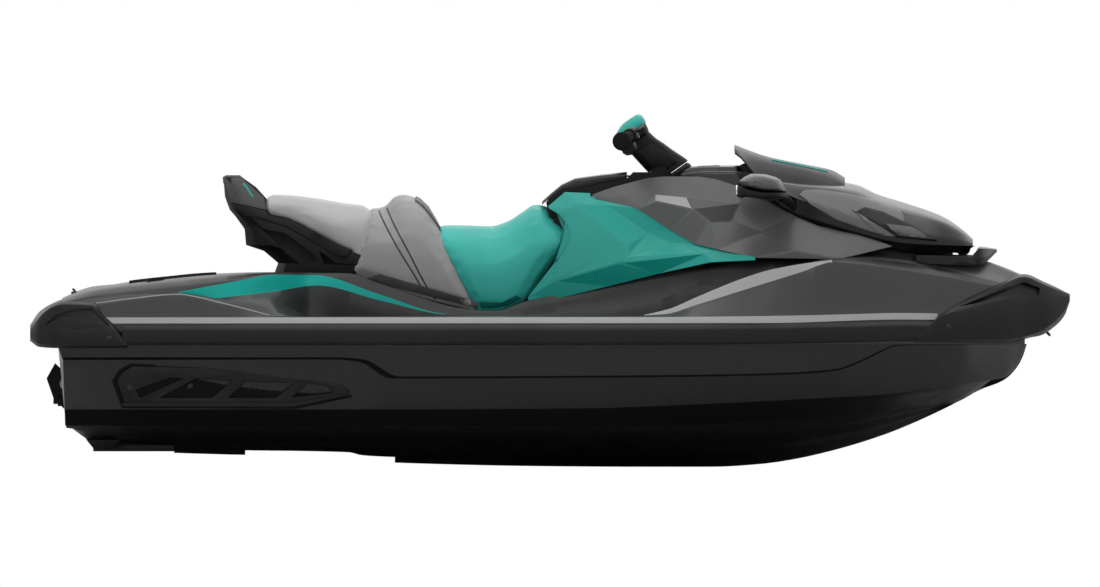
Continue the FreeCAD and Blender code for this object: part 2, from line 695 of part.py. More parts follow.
# Bow bumper, one row a station: foot level, side levels, border level on the deck.
bow_bumper_shares = [
    (88.7, 12.5, 12.8, 13.2, 13.9, 12.2),
    (90, 12.3, 12.8, 13.9, 15.2, 12.6),
    (94.5, 12.2, 12.8, 14.6, 16.7, 14.6),
    (98, 12.3, 12.9, 14.9, 17.9, 16.4),
    (99.5, 12.4, 13.0, 15.2, 18.6, 18.0),
    (102, 13.0, 13.6, 15.6, 18.2, 18.5),
    (103.4, 14.0, 14.5, 15.9, 17.5, 17.8),
    (104, 15.2, 15.6, 16.4, 17.1, 17.3),
]
bumper_crown_share = 0.72
bumper_foot_share = 0.80


def bumper_section(row):
    """Section of a bumper: foot, side, shoulder and crown."""
    station_share, foot, low, high, shoulder, crown = row
    side = gunwale(station_share) + size["rail_thickness"]
    half = [
        (0, height(foot)),
        (side * bumper_foot_share, height(foot)),
        (side, height(low)),
        (side, height(high)),
        (side * bumper_crown_share, height(shoulder)),
        (0, height(crown)),
    ]
    return section_at(along(station_share), mirrored(half))


def bow_bumper_envelope():
    """Bow bumper before the hull and the deck are taken from it."""
    return loft([bumper_section(row) for row in bow_bumper_shares])


def build_bow_bumper():
    """Black bumper round the bow."""
    shape = bow_bumper_envelope().cut(hull_envelope()).cut(deck_envelope())
    biggest = max(shape.Solids, key=lambda solid: solid.Volume)
    return place("bow_bumper", biggest)


stern_bumper_shares = [
    (0, 12.4, 12.8, 13.6, 14.2, 14.4),
    (0.9, 12.0, 12.5, 14.6, 15.6, 15.7),
    (2.3, 11.9, 12.4, 14.9, 16.2, 16.5),
    (3.4, 11.85, 12.4, 14.9, 16.35, 16.9),
    (6.5, 11.85, 12.4, 14.8, 16.4, 16.4),
    (9.7, 11.9, 12.4, 13.8, 14.1, 14.2),
]


def stern_bumper_envelope():
    """Stern bumper before the hull and the deck are taken from it."""
    return loft([bumper_section(row) for row in stern_bumper_shares])


def build_stern_bumper():
    """Black bumper across the stern and round its corners."""
    shape = stern_bumper_envelope().cut(hull_envelope()).cut(deck_envelope())
    biggest = max(shape.Solids, key=lambda solid: solid.Volume)
    return place("stern_bumper", biggest)


sponson_shares = [
    (8.5, 8.6), (10.1, 10.1), (16.8, 9.95), (23.8, 9.6), (29.4, 9.1), (31.6, 8.0), (32.2, 7.4), (31.9, 7.1),
    (26.5, 5.95), (9.4, 5.95),
]


def build_sponsons():
    """Two stabilising sponsons on the hull's sides near the stern."""
    outer = gunwale(sponson_shares[0][0]) * hull_shares[0][5] + size["sponson_thickness"] / 2
    block = outline_prism(grid_points(sponson_shares), HALF_BEAM / 2, outer)
    port = max(block.cut(hull_envelope()).Solids, key=lambda solid: solid.Volume)
    return place("sponsons", both_sides(port))


mat_station_shares = (33, 61.8)
mat_side_shares = (0.845, 0.37)


def build_footwell_mats():
    """Two ribbed mats on the floors of the footwells."""
    floor = height(deck_shares[7][3][1])
    wires = []
    for station_share in (mat_station_shares[0], 45, 55, mat_station_shares[1]):
        side = gunwale(station_share)
        outer = side * mat_side_shares[0] - size["mat_margin"]
        inner = side * mat_side_shares[1] + size["mat_margin"]
        top = floor + size["mat_thickness"]
        wires.append(section_at(along(station_share), [(inner, floor), (outer, floor), (outer, top), (inner, top)]))
    port = loft(wires)
    return place("footwell_mats", both_sides(port))


platform_mat_shares = (9.6, 14.8, 19)
platform_mat_width_share = 0.6
platform_mat_sink_share = 0.3


def build_platform_mat():
    """Mat on the stern platform."""
    wires = []
    for station_share in platform_mat_shares:
        half = gunwale(station_share) * platform_mat_width_share
        base = height(platform_level(station_share) - platform_mat_sink_share)
        top = height(platform_level(station_share)) + size["mat_thickness"]
        wires.append(section_at(along(station_share), [(-half, base), (half, base), (half, top), (-half, top)]))
    shape = loft(wires).cut(deck_envelope())
    shape = shape.cut(anchor_holes())
    return place("platform_mat", solids_of(shape))


# Tail shell, one row a level: rear edge, front edge, half-width at the front.
tail_shares = [
    ((24.4, 19.3), (31.7, 19.3), 0.31),
    ((24.8, 20.4), (32.6, 20.4), 0.315),
    ((23.4, 21.7), (33.2, 21.6), 0.32),
    ((21.6, 22.3), (30.6, 22.8), 0.315),
    ((21.5, 23.8), (28.3, 24.2), 0.30),
    ((20.0, 25.6), (25.7, 25.3), 0.27),
    ((19.4, 27.9), (23.4, 27.1), 0.235),
    ((19.3, 29.1), (21.2, 29.05), 0.20),
]
tail_rear_share = 0.72
tail_corner_share = 0.3
handle_opening_shares = ((18, 27.2), (24, 28.3))


def tail_envelope():
    """Shell behind and under the passenger seat, before its handle is opened."""
    sections = []
    for rear, front, half_share in tail_shares:
        half = half_share * HALF_BEAM
        points = [(0, 0), (half * tail_rear_share, 0), (half, tail_corner_share), (half, 1), (0, 1)]
        sections.append(rib(rear, front, points))
    return loft(sections)


def build_tail():
    """Shell behind and under the passenger seat, with the opening of the grab handle."""
    shape = tail_envelope()
    opening = size["grab_rail_width"] / 2 - size["grab_rail_diameter"]
    rear, front = handle_opening_shares
    handle = box((along(rear[0]), -opening, height(rear[1])), (along(front[0]), opening, height(front[1])))
    shape = shape.cut(handle).cut(deck_envelope())
    return place("tail_shell", solids_of(shape))


ride_plate_overhang_share = 0.2
fin_place_share = 0.6


def build_ride_plate():
    """Plate that closes the pump bay from below."""
    half = size["ride_plate_width"] / 2
    low_x = along(hull_shares[0][0] - ride_plate_overhang_share)
    high_x = PUMP_FRONT
    base = height(size["bay_floor_level"])
    shape = box((low_x, -half, base - size["ride_plate_thickness"]), (high_x, half, base))
    for side in (-1, 1):
        fin_y = side * half * fin_place_share
        fin_half = size["fin_thickness"] / 2
        fin = box((low_x, fin_y - fin_half, base - size["fin_depth"]), (high_x, fin_y + fin_half, base))
        shape = shape.fuse(fin)
    return place("ride_plate", shape.removeSplitter())


FULL_TURN = 360


def turned(profile):
    """Solid of flat panels round the pump's axis from a closed profile of (x, radius) points."""
    count = int(size["turned_sides"])
    rings = []
    for x, radius in profile:
        ring_corners = []
        for index in range(count):
            angle = math.radians(FULL_TURN * index / count)
            ring_corners.append(Vector(x, radius * math.sin(angle), PUMP_Z + radius * math.cos(angle)))
        rings.append(ring_corners)
    faces = []
    for near, far in zip(rings, rings[1:] + rings[:1]):
        for index in range(count):
            following = (index + 1) % count
            faces += panel([near[index], near[following], far[following], far[index]])
    shell = Part.makeShell(faces)
    shell.sewShape()
    solid = Part.makeSolid(shell)
    if solid.Volume < 0:
        solid.reverse()
    return solid


def pump_axis():
    """Point and direction of the pump's axis."""
    return Vector(0, 0, PUMP_Z), Vector(1, 0, 0)


def twisted_blade(root_radius, tip_radius, low_x, high_x, thickness, wrap, steps):
    """Helical blade about the pump axis between two places along X."""
    sections = []
    for step in range(steps + 1):
        share = step / steps
        angle = math.radians(wrap * share)
        radial = Vector(0, -math.sin(angle), math.cos(angle))
        across = Vector(0, math.cos(angle), math.sin(angle))
        centre = Vector(low_x + (high_x - low_x) * share, 0, PUMP_Z)
        half = across * (thickness / 2)
        root = centre + radial * root_radius
        tip = centre + radial * tip_radius
        sections.append([root - half, tip - half, tip + half, root + half])
    return loft(sections)


def around_pump(shape, count):
    """Copies of a shape in a ring about the pump axis."""
    point, axis = pump_axis()
    copies = []
    for index in range(count):
        copy = shape.copy()
        copy.rotate(point, axis, FULL_TURN * index / count)
        copies.append(copy)
    return copies


vane_step_count = 3
blade_step_count = 8
stator_reach_share = 1.5
hub_cone_share = 0.35


def build_pump():
    """Pump housing: flange, bore, converging outlet, hub and twisted stator vanes."""
    bore = size["pump_bore"] / 2
    outer = bore + size["pump_wall"]
    outlet = size["outlet_diameter"] / 2
    outlet_outer = outlet + size["outlet_wall"]
    taper_x = PUMP_REAR + size["stator_length"]
    flange_x = PUMP_FRONT - size["pump_flange_thickness"]
    profile = [
        (PUMP_REAR, outlet), (PUMP_REAR, outlet_outer), (taper_x, outer), (flange_x, outer),
        (flange_x, size["pump_flange_diameter"] / 2), (PUMP_FRONT, size["pump_flange_diameter"] / 2),
        (PUMP_FRONT, bore), (taper_x, bore),
    ]
    housing = turned(profile)
    hub = size["stator_hub_diameter"] / 2
    bearing = size["shaft_diameter"] / 2 + size["pin_gap"]
    hub_front = taper_x + size["stator_length"] / 2
    cone_x = PUMP_REAR + size["stator_length"] * hub_cone_share
    hub_points = [(cone_x, 0), (cone_x, hub * hub_cone_share), (taper_x, hub), (hub_front, hub),
                  (hub_front, bearing), (taper_x, bearing), (taper_x, 0)]
    centre = turned(hub_points)
    vane = twisted_blade(
        hub - size["vane_thickness"], bore + size["vane_thickness"], taper_x, hub_front - SEAM,
        size["vane_thickness"], size["vane_twist"], vane_step_count
    )
    shape = housing.fuse([centre] + around_pump(vane, int(size["stator_count"])))
    for side in (-1, 1):
        shape = shape.fuse(pivot_ear(side))
        shape = shape.fuse(gate_bracket(side))
    return place("pump_housing", solids_of(shape))


NOZZLE_X = along(size["nozzle_station"])
GATE_X = along(size["gate_station"])


def pivot_ear(side):
    """Ear above or below the outlet, with the pin that the steering nozzle turns on."""
    thick = size["pivot_ear_thickness"]
    radius = size["pivot_ear_diameter"] / 2
    inner = size["nozzle_inlet_diameter"] / 2 + size["nozzle_wall"] + size["moving_gap"] / 2
    low = inner if side > 0 else -inner - thick
    reach = PUMP_REAR + size["stator_length"] - NOZZLE_X
    arm = box((NOZZLE_X, -radius, PUMP_Z + low), (NOZZLE_X + reach, radius, PUMP_Z + low + thick))
    boss = Part.makeCylinder(radius, thick, Vector(NOZZLE_X, 0, PUMP_Z + low))
    pin_length = size["moving_gap"] / 2 + size["nozzle_wall"]
    pin_z = PUMP_Z + (inner - pin_length if side > 0 else -inner)
    pin = Part.makeCylinder(size["pivot_pin_diameter"] / 2, pin_length, Vector(NOZZLE_X, 0, pin_z))
    return arm.fuse(boss).fuse(pin)


def gate_bracket(side):
    """Arm beside the outlet, with the pin that the reverse gate turns on."""
    inner = size["gate_width"] / 2 + size["moving_gap"]
    thick = size["bracket_thickness"]
    half = size["bracket_height"] / 2
    low = inner if side > 0 else -inner - thick
    front = PUMP_REAR + size["stator_length"] + size["bracket_height"]
    arm = box((GATE_X, low, PUMP_Z - half), (front, low + thick, PUMP_Z + half))
    boss = y_cylinder(size["bracket_height"], low, low + thick, GATE_X, PUMP_Z)
    foot_low = size["pump_bore"] / 2 if side > 0 else -inner - thick
    foot_high = inner + thick if side > 0 else -size["pump_bore"] / 2
    foot_x = front - size["bracket_height"]
    foot = box((foot_x, foot_low, PUMP_Z - half), (front, foot_high, PUMP_Z + half))
    foot = foot.cut(x_cylinder(size["pump_bore"] + size["pump_wall"], foot_x, front))
    pin_inner = size["gate_width"] / 2 - size["gate_wall"]
    pin_low = pin_inner if side > 0 else -inner
    pin = y_cylinder(size["gate_pin_diameter"], pin_low, pin_low + inner - pin_inner, GATE_X, PUMP_Z)
    return arm.fuse(boss).fuse(foot).fuse(pin)


def build_impeller():
    """Impeller: hub and helical blades, with its shaft running to the engine."""
    radius = size["pump_bore"] / 2 - size["impeller_running_gap"]
    hub = size["impeller_hub_diameter"] / 2
    rear = PUMP_REAR + size["stator_length"] * stator_reach_share + size["impeller_running_gap"]
    front = rear + size["impeller_length"]
    bore = size["shaft_diameter"] / 2
    body = turned([(rear, bore), (rear, hub), (front, hub), (front, bore)])
    margin = size["blade_thickness"]
    blade = twisted_blade(
        hub - margin, radius, rear + margin, front - margin,
        size["blade_thickness"], size["blade_wrap"], blade_step_count
    )
    shape = body.fuse(around_pump(blade, int(size["blade_count"])))
    shape = shape.cut(x_cylinder(size["shaft_diameter"], rear - SEAM, front + SEAM))
    return place("impeller", solids_of(shape))


def build_shaft():
    """Drive shaft from the engine to the bearing in the stator's hub."""
    rear = PUMP_REAR + size["stator_length"] + SEAM
    shape = x_cylinder(size["shaft_diameter"], rear, ENGINE_LOW[0] - SEAM)
    return place("drive_shaft", shape)


def build_carrier():
    """Bearing carrier that holds the front of the shaft in the hull's shaft bore."""
    high = ENGINE_LOW[0] - size["engine_clearance"]
    low = high - size["carrier_thickness"]
    shape = x_cylinder(size["shaft_bore"] - SEAM, low, high)
    shape = shape.cut(x_cylinder(size["shaft_diameter"] + 2 * size["pin_gap"], low, high))
    return place("shaft_carrier", shape)


def build_grate():
    """Intake grate: a frame let into the mouth, with bars that run fore and aft."""
    half = size["tunnel_width"] / 2 - SEAM
    frame = size["grate_frame"]
    low_x = along(size["tunnel_mouth_rear"]) + SEAM
    high_x = along(size["tunnel_mouth_front"]) - SEAM
    low_z = height(grate_level_share)
    high_z = low_z + frame
    shape = box((low_x, -half, low_z), (high_x, half, high_z))
    shape = shape.cut(box((low_x + frame, -half + frame, low_z), (high_x - frame, half - frame, high_z)))
    count = int(size["grate_bar_count"])
    pitch = 2 * half / (count + 1)
    for index in range(count):
        y = -half + pitch * (index + 1)
        bar = x_cylinder(size["grate_bar_diameter"], low_x + frame / 2, high_x - frame / 2, low_z + frame / 2, y)
        shape = shape.fuse(bar)
    return place("intake_grate", solids_of(shape))


grate_level_share = 1.9


def build_nozzle():
    """Steering nozzle on its upright pivot pins."""
    inlet = size["nozzle_inlet_diameter"] / 2
    outlet = size["nozzle_outlet_diameter"] / 2
    wall = size["nozzle_wall"]
    front = NOZZLE_X + size["pivot_ear_diameter"] / 2
    rear = NOZZLE_X - size["nozzle_length"]
    points = [(rear, outlet), (rear, outlet + wall), (NOZZLE_X - size["pivot_ear_diameter"] / 2, inlet + wall),
              (front, inlet + wall), (front, inlet), (NOZZLE_X, inlet)]
    shape = turned(points)
    low = Vector(NOZZLE_X, 0, PUMP_Z - size["pump_flange_diameter"])
    hole = Part.makeCylinder(
        size["pivot_pin_diameter"] / 2 + size["pin_gap"], 2 * size["pump_flange_diameter"], low
    )
    return place("steering_nozzle", solids_of(shape.cut(hole)))


# Reverse gate: corners of its rear wall from the pivot, as shares of the gate's reach.
gate_inset_share = 1.5
gate_reach_shares = [(-0.40, 0.76), (-0.71, 0.20), (-0.45, -0.55), (-0.10, -0.88), (0.06, -1)]


def build_gate():
    """Reverse gate: a bent bucket wall between two cheeks that hang on the pivot pins."""
    reach = size["gate_reach"]
    wall = size["gate_wall"]
    half = size["gate_width"] / 2
    outer = [(GATE_X + x * reach, PUMP_Z + z * reach) for x, z in gate_reach_shares]
    inner_scale = (reach - gate_inset_share * wall) / reach
    inner = [(GATE_X + x * reach * inner_scale, PUMP_Z + z * reach * inner_scale)
             for x, z in reversed(gate_reach_shares)]
    bucket = outline_prism(outer + inner, -half, half)
    cheek_outline = outer + [(GATE_X + size["gate_arm_width"] / 2, PUMP_Z - size["gate_arm_width"] / 2),
                             (GATE_X + size["gate_arm_width"] / 2, PUMP_Z + size["gate_arm_width"] / 2)]
    shape = bucket
    for side in (-1, 1):
        low = half - wall if side > 0 else -half
        cheek = outline_prism(cheek_outline, low, low + wall)
        shape = shape.fuse(cheek)
    hole = y_cylinder(size["gate_pin_diameter"] + 2 * size["pin_gap"], -2 * half, 2 * half, GATE_X, PUMP_Z)
    return place("reverse_gate", solids_of(shape.cut(hole)))


STEER_POINT = Vector(along(size["steer_station"]), 0, height(size["steer_level"]))
STEER_RAKE = math.radians(size["steer_rake"])
STEER_UP = Vector(-math.sin(STEER_RAKE), 0, math.cos(STEER_RAKE))
STEER_FORWARD = Vector(math.cos(STEER_RAKE), 0, math.sin(STEER_RAKE))


def on_column(forward, side, up):
    """Point by its distances forward, to port and up along the raked steering column."""
    return STEER_POINT + STEER_FORWARD * forward + Vector(0, side, 0) + STEER_UP * up


corner_share = 0.55


def ring_section(up, length, width, forward_shift=0):
    """Eight-cornered section across the steering column."""
    half_length = length / 2
    half_width = width / 2
    shares = [(1, -corner_share), (1, corner_share), (corner_share, 1), (-corner_share, 1), (-1, corner_share),
              (-1, -corner_share), (-corner_share, -1), (corner_share, -1)]
    return [on_column(forward_shift + a * half_length, b * half_width, up) for a, b in shares]


def build_boot():
    """Fixed boot under the steering neck, with the pin that carries the neck."""
    flare = size["boot_flare"]
    length = size["neck_base_length"]
    width = size["neck_base_width"]
    shift = size["neck_base_shift"]
    depth = size["boot_height"] * 3
    boot = loft([
        ring_section(-depth, length + 2 * flare, width + 2 * flare, shift - flare),
        ring_section(-size["boot_height"], length + flare, width + flare, shift),
        ring_section(0, length - flare, width - flare, shift),
    ])
    pin = Part.makeCylinder(
        size["column_pin_diameter"] / 2, size["boot_height"] + size["neck_height"] / 2,
        on_column(0, 0, -size["boot_height"]), STEER_UP
    )
    shape = boot.fuse(pin).cut(core_envelope()).cut(dash_envelope())
    biggest = max(shape.Solids, key=lambda solid: solid.Volume)
    return place("steering_boot", biggest)


neck_waist_share = 0.5


def build_neck():
    """Steering neck that turns on the boot's pin and carries the handlebar."""
    gap = size["moving_gap"]
    top = size["neck_height"]
    shift = size["neck_base_shift"]
    sections = [
        ring_section(gap, size["neck_base_length"], size["neck_base_width"], shift),
        ring_section(top * neck_waist_share, size["neck_top_length"], size["neck_base_width"], 0),
        ring_section(top, size["neck_top_length"], size["neck_top_width"], -size["bar_shift"]),
    ]
    shape = loft(sections)
    bore = Part.makeCylinder(
        size["column_pin_diameter"] / 2 + size["pin_gap"], top / 2 + gap, STEER_POINT, STEER_UP
    )
    shape = shape.cut(bore).cut(handlebar_tube(size["bar_diameter"] / 2))
    return place("steering_neck", solids_of(shape))


def bar_route():
    """Points of the handlebar's centreline from starboard to port."""
    half = size["bar_width"] / 2
    centre = size["bar_centre_width"] / 2
    inner = (-size["bar_shift"], centre, size["bar_level"])
    bend = (-size["bar_shift"] - size["bar_diameter"] / 2, (centre + half) / 2, size["bar_end_level"])
    end = (-size["bar_end_shift"], half, size["bar_end_level"])
    port = [inner, bend, end]
    starboard = [(forward, -side, up) for forward, side, up in reversed(port)]
    return [on_column(*point) for point in starboard + port]


def swept_tube(points, radius):
    """Round tube through the given points, straight runs joined by spheres."""
    shape = None
    for start, end in zip(points, points[1:]):
        run = end - start
        piece = Part.makeCylinder(radius, run.Length, start, run)
        shape = piece if shape is None else shape.fuse(piece)
    for corner in points[1:-1]:
        shape = shape.fuse(Part.makeSphere(radius, corner))
    return shape


def handlebar_tube(radius):
    """Handlebar as one bent round bar."""
    return swept_tube(bar_route(), radius)


def build_handlebar():
    """Handlebar tube, under the ends of the grips."""
    return place("handlebar", solids_of(handlebar_tube(size["bar_diameter"] / 2)))


def bar_end_frames():
    """End point and inward direction of each handlebar end."""
    route = bar_route()
    frames = []
    for end, inner in ((route[0], route[1]), (route[-1], route[-2])):
        inward = inner - end
        inward.normalize()
        frames.append((end, inward))
    return frames


def sleeve(start, direction, length, outer, inner):
    """Round sleeve along a direction."""
    body = Part.makeCylinder(outer / 2, length, start, direction)
    bore = Part.makeCylinder(inner / 2, length, start, direction)
    return body.cut(bore)


def build_grips():
    """Two grips with flanged outer ends."""
    grips = []
    for end, inward in bar_end_frames():
        outer_end = end - inward * size["grip_flange_thickness"]
        cap = Part.makeCylinder(size["grip_flange_diameter"] / 2, size["grip_flange_thickness"], outer_end, inward)
        body = sleeve(end, inward, size["grip_length"], size["grip_diameter"], size["bar_diameter"])
        grips.append(cap.fuse(body))
    return place("grips", Part.makeCompound(grips))


def flat_bar(start, end, across, thick):
    """Square bar between two points, one pair of its sides along a given direction."""
    half = thick / 2
    way = end - start
    way.normalize()
    other = way.cross(across)
    corners = [(-half, -half), (half, -half), (half, half), (-half, half)]
    return loft([[point + across * a + other * b for a, b in corners] for point in (start, end)])


def build_switches():
    """Switch housings beside the grips, with the throttle and brake levers."""
    housings = []
    thick = size["lever_thickness"]
    for end, inward in bar_end_frames():
        start = end + inward * (size["grip_length"] + SEAM)
        body = sleeve(start, inward, size["switch_length"], size["switch_diameter"], size["bar_diameter"])
        root = start + inward * (size["switch_length"] / 2)
        ahead = root + STEER_FORWARD * size["lever_gap"]
        arm = flat_bar(root, ahead + STEER_FORWARD * (thick / 2), STEER_UP, thick)
        blade = flat_bar(ahead, ahead - inward * size["lever_length"], STEER_UP, thick)
        bore = Part.makeCylinder(size["bar_diameter"] / 2, size["switch_length"], start, inward)
        housing = body.fuse(arm).fuse(blade).cut(bore)
        housings.append(housing.cut(handlebar_tube(size["bar_diameter"] / 2)))
    return place("switches_and_levers", Part.makeCompound(housings))


# Handlebar pad, one row a section: share of its height, of its length and of its width.
pad_shares = [(0, 0.85, 0.92), (0.55, 1, 1), (1, 0.6, 0.6)]


def build_pad():
    """Padded cover over the middle of the handlebar."""
    low = size["neck_height"] + SEAM
    sections = []
    for rise, length_share, width_share in pad_shares:
        up = low + size["pad_height"] * rise
        length = size["pad_length"] * length_share
        width = size["pad_width"] * width_share
        sections.append(ring_section(up, length, width, -size["bar_shift"]))
    shape = loft(sections).cut(handlebar_tube(size["bar_diameter"] / 2))
    return place("handlebar_pad", solids_of(shape))


# Glove box lid, side outline: top from the rear forward, then the underside.
lid_shares = [
    (51.2, 26.6), (53.2, 28.3), (54.5, 28.9), (59.6, 29.54),
    (59.6, 28.9), (56.0, 27.8), (53.5, 27.75), (51.7, 26.75),
]
lid_hinge_shares = (60.5, 29.1)


def lid_hinge():
    """Place of the glove box lid's hinge pin."""
    return along(lid_hinge_shares[0]), height(lid_hinge_shares[1])


def build_glove_lid():
    """Lid of the glove box, with its hinge knuckle in the middle."""
    half = size["lid_width"] / 2
    x, z = lid_hinge()
    outer = outline_prism(grid_points(lid_shares), -half, half)
    barrel = size["lid_knuckle_diameter"]
    width = size["lid_knuckle_width"] / 2
    knuckle = y_cylinder(barrel, -width, width, x, z)
    tongue_low = (along(lid_shares[3][0]) - barrel, -width, z - barrel / 3)
    tongue = box(tongue_low, (x, width, z + barrel / 3))
    shape = outer.fuse(knuckle).fuse(tongue)
    pin = y_cylinder(size["lid_pin_diameter"] + 2 * size["pin_gap"], -width, width, x, z)
    return place("glove_box_lid", solids_of(shape.cut(pin)))


def build_glove_box():
    """Open box of the glove compartment, let into the console."""
    outer = glove_box(size["glove_wall"]).common(console_envelope())
    return place("glove_box_bin", solids_of(outer.cut(glove_box(0))))


# Bonnet, one row a station: rim half-width and level, shoulder half-width and level, centre level.
hood_shares = [
    (71.1, (0.40, 28.3), (0.40, 28.6), (0.30, 29.1), (0.17, 29.2), 29.25),
    (74, (0.455, 26.8), (0.465, 28.0), (0.36, 28.7), (0.19, 28.9), 29.0),
    (76.6, (0.49, 25.5), (0.50, 26.9), (0.40, 28.2), (0.20, 28.6), 28.8),
    (80.6, (0.525, 24.3), (0.52, 25.6), (0.40, 27.6), (0.20, 28.2), 28.5),
    (84.8, (0.515, 23.1), (0.50, 24.2), (0.36, 26.2), (0.19, 26.9), 27.2),
    (87.4, (0.475, 22.5), (0.46, 23.3), (0.32, 25.3), (0.17, 26.1), 26.45),
    (91.4, (0.36, 22.3), (0.34, 22.9), (0.24, 24.3), (0.13, 24.9), 25.1),
    (94.3, (0.20, 22.2), (0.19, 22.4), (0.13, 22.8), (0.07, 23.0), 23.1),
]


def hood_section(row, wall=0):
    """Section of the bonnet, or of its hollow where a wall is given."""
    shrink = wall
    points = [(0, height(row[1][1]) - (size["overrun"] if wall else 0))]
    rim_half = row[1][0] * HALF_BEAM - shrink
    points.append((rim_half, height(row[1][1]) - (size["overrun"] if wall else 0)))
    for share, level_share in row[2:5]:
        points.append((share * HALF_BEAM - shrink, height(level_share) - wall))
    points.append((0, height(row[5]) - wall))
    return section_at(along(row[0]), mirrored(points))


def hood_envelope():
    """Bonnet as a filled body."""
    return loft([hood_section(row) for row in hood_shares])


hood_hollow_rows_share = slice(1, 6)
hood_hinge_shares = (93.3, 21.9)


def hood_hinge():
    """Place of the bonnet's hinge pin."""
    return along(hood_hinge_shares[0]), height(hood_hinge_shares[1])


def build_hood():
    """Bonnet over the storage bin: a shell with two hinge knuckles at its front."""
    shape = hood_envelope()
    hollow = loft([hood_section(row, size["hood_wall"]) for row in hood_shares[hood_hollow_rows_share]])
    shape = shape.cut(hollow)
    x, z = hood_hinge()
    barrel = size["hinge_knuckle_diameter"]
    width = size["hinge_knuckle_width"]
    for side in (-1, 1):
        low = side * size["hinge_spacing"] / 2 - width / 2
        knuckle = y_cylinder(barrel, low, low + width, x, z)
        stem = box((x - barrel / 2, low, z), (x + barrel / 2, low + width, z + barrel))
        shape = shape.fuse(knuckle).fuse(stem)
        pin = y_cylinder(size["hinge_pin_diameter"] + 2 * size["pin_gap"], low, low + width, x, z)
        shape = shape.cut(pin)
    return place("bonnet", solids_of(shape))


def hinge_room():
    """Pocket in the foredeck that the bonnet's knuckles turn in."""
    x, z = hood_hinge()
    reach = size["hinge_knuckle_diameter"] / 2 + size["moving_gap"]
    half = size["hinge_spacing"] / 2 + size["hinge_knuckle_width"] / 2 + size["moving_gap"] * 3
    return box((x - reach * 2, -half, z - size["overrun"]), (x + reach * 2, half, z + size["overrun"]))


def build_hinge_bracket():
    """Hinge bracket under the bonnet's front: a pin held by three lugs."""
    x, z = hood_hinge()
    reach = size["hinge_knuckle_diameter"] / 2
    width = size["hinge_knuckle_width"]
    spacing = size["hinge_spacing"]
    room = reach + size["moving_gap"]
    half = spacing / 2 + width / 2 + size["moving_gap"] * 2
    shape = y_cylinder(size["hinge_pin_diameter"], -half, half, x, z)
    inner_half = spacing / 2 - width / 2 - size["moving_gap"] / 2
    lug_edges = [(-half, -half + size["moving_gap"]), (-inner_half, inner_half), (half - size["moving_gap"], half)]
    for low, high in lug_edges:
        lug = box((x - reach / 2, low, z - size["overrun"]), (x + reach / 2, high, z + reach / 2))
        shape = shape.fuse(lug)
    shape = shape.cut(deck_envelope()).cut(core_envelope())
    biggest = max(shape.Solids, key=lambda solid: solid.Volume)
    return place("bonnet_hinge", biggest)


# Windscreen visor, one row a station: centre level, knee and edge half-widths and levels.
visor_shares = [
    (70.5, 32.2, (0.24, 31.7), (0.35, 30.4)),
    (72.0, 31.6, (0.26, 31.0), (0.38, 29.3)),
    (73.5, 31.1, (0.27, 30.4), (0.39, 28.4)),
    (78.4, 30.1, (0.25, 29.5), (0.37, 27.6)),
    (80.2, 29.7, (0.23, 29.1), (0.34, 27.6)),
    (81.5, 28.9, (0.20, 28.5), (0.28, 27.7)),
]


def visor_section(row, wall=0):
    """Section of the visor, or of the space under it where a wall is given."""
    station_share, centre, knee, edge = row
    low = height(edge[1]) - (size["overrun"] if wall else 0)
    points = [
        (0, low),
        (edge[0] * HALF_BEAM - wall, low),
        (knee[0] * HALF_BEAM - wall / 2, height(knee[1]) - wall),
        (0, height(centre) - wall),
    ]
    return section_at(along(station_share), mirrored(points))


def build_visor():
    """Smoked windscreen standing on the bonnet."""
    shape = loft([visor_section(row) for row in visor_shares])
    wall = size["visor_wall"]
    inner_rows = [(visor_shares[0][0] - 1,) + visor_shares[0][1:]] + visor_shares[:5]
    hollow = loft([visor_section(row, wall) for row in inner_rows])
    shape = shape.cut(hollow).cut(hood_envelope())
    biggest = max(shape.Solids, key=lambda solid: solid.Volume)
    return place("windscreen", biggest)


# Mirror head, side outline.
mirror_shares = [
    (70.9, 28.6), (72.1, 29.35), (73.5, 29.3), (75.1, 28.7), (75.8, 27.5), (75.8, 26.85), (71.2, 26.9), (70.7, 27.3),
]
mirror_root_shares = (74.6, 27.6)
mirror_foot_shares = (76.2, 26.0)
mirror_head_shares = [(0, 0.72), (0.3, 1), (1, 0.66)]


def mirror_head():
    """Port mirror head, narrower at its outer end."""
    points = grid_points(mirror_shares)
    centre_x = sum(x for x, z in points) / len(points)
    centre_z = sum(z for x, z in points) / len(points)
    sections = []
    for reach, share in mirror_head_shares:
        y = size["mirror_inner"] + size["mirror_width"] * reach
        sections.append([Vector(centre_x + (x - centre_x) * share, y, centre_z + (z - centre_z) * share)
                         for x, z in points])
    return loft(sections)


def build_mirrors():
    """Two mirror heads on their arms."""
    head = mirror_head()
    start = Vector(along(mirror_root_shares[0]), size["mirror_inner"] + size["mirror_width"] / 4,
                   height(mirror_root_shares[1]))
    end = Vector(along(mirror_foot_shares[0]), size["mirror_inner"] - size["mirror_width"] / 4,
                 height(mirror_foot_shares[1]))
    arm = Part.makeCylinder(size["mirror_arm_diameter"] / 2, (end - start).Length, start, end - start)
    shape = head.fuse(arm).cut(hood_envelope())
    port = max(shape.Solids, key=lambda solid: solid.Volume)
    return place("mirrors", both_sides(port))


# Dash behind the windscreen, one row a station: half-width, foot level, top level.
dash_shares = [
    (66.6, 0.22, 28.0, 29.3),
    (67.2, 0.26, 28.0, 30.0),
    (69.8, 0.27, 27.5, 30.2),
]


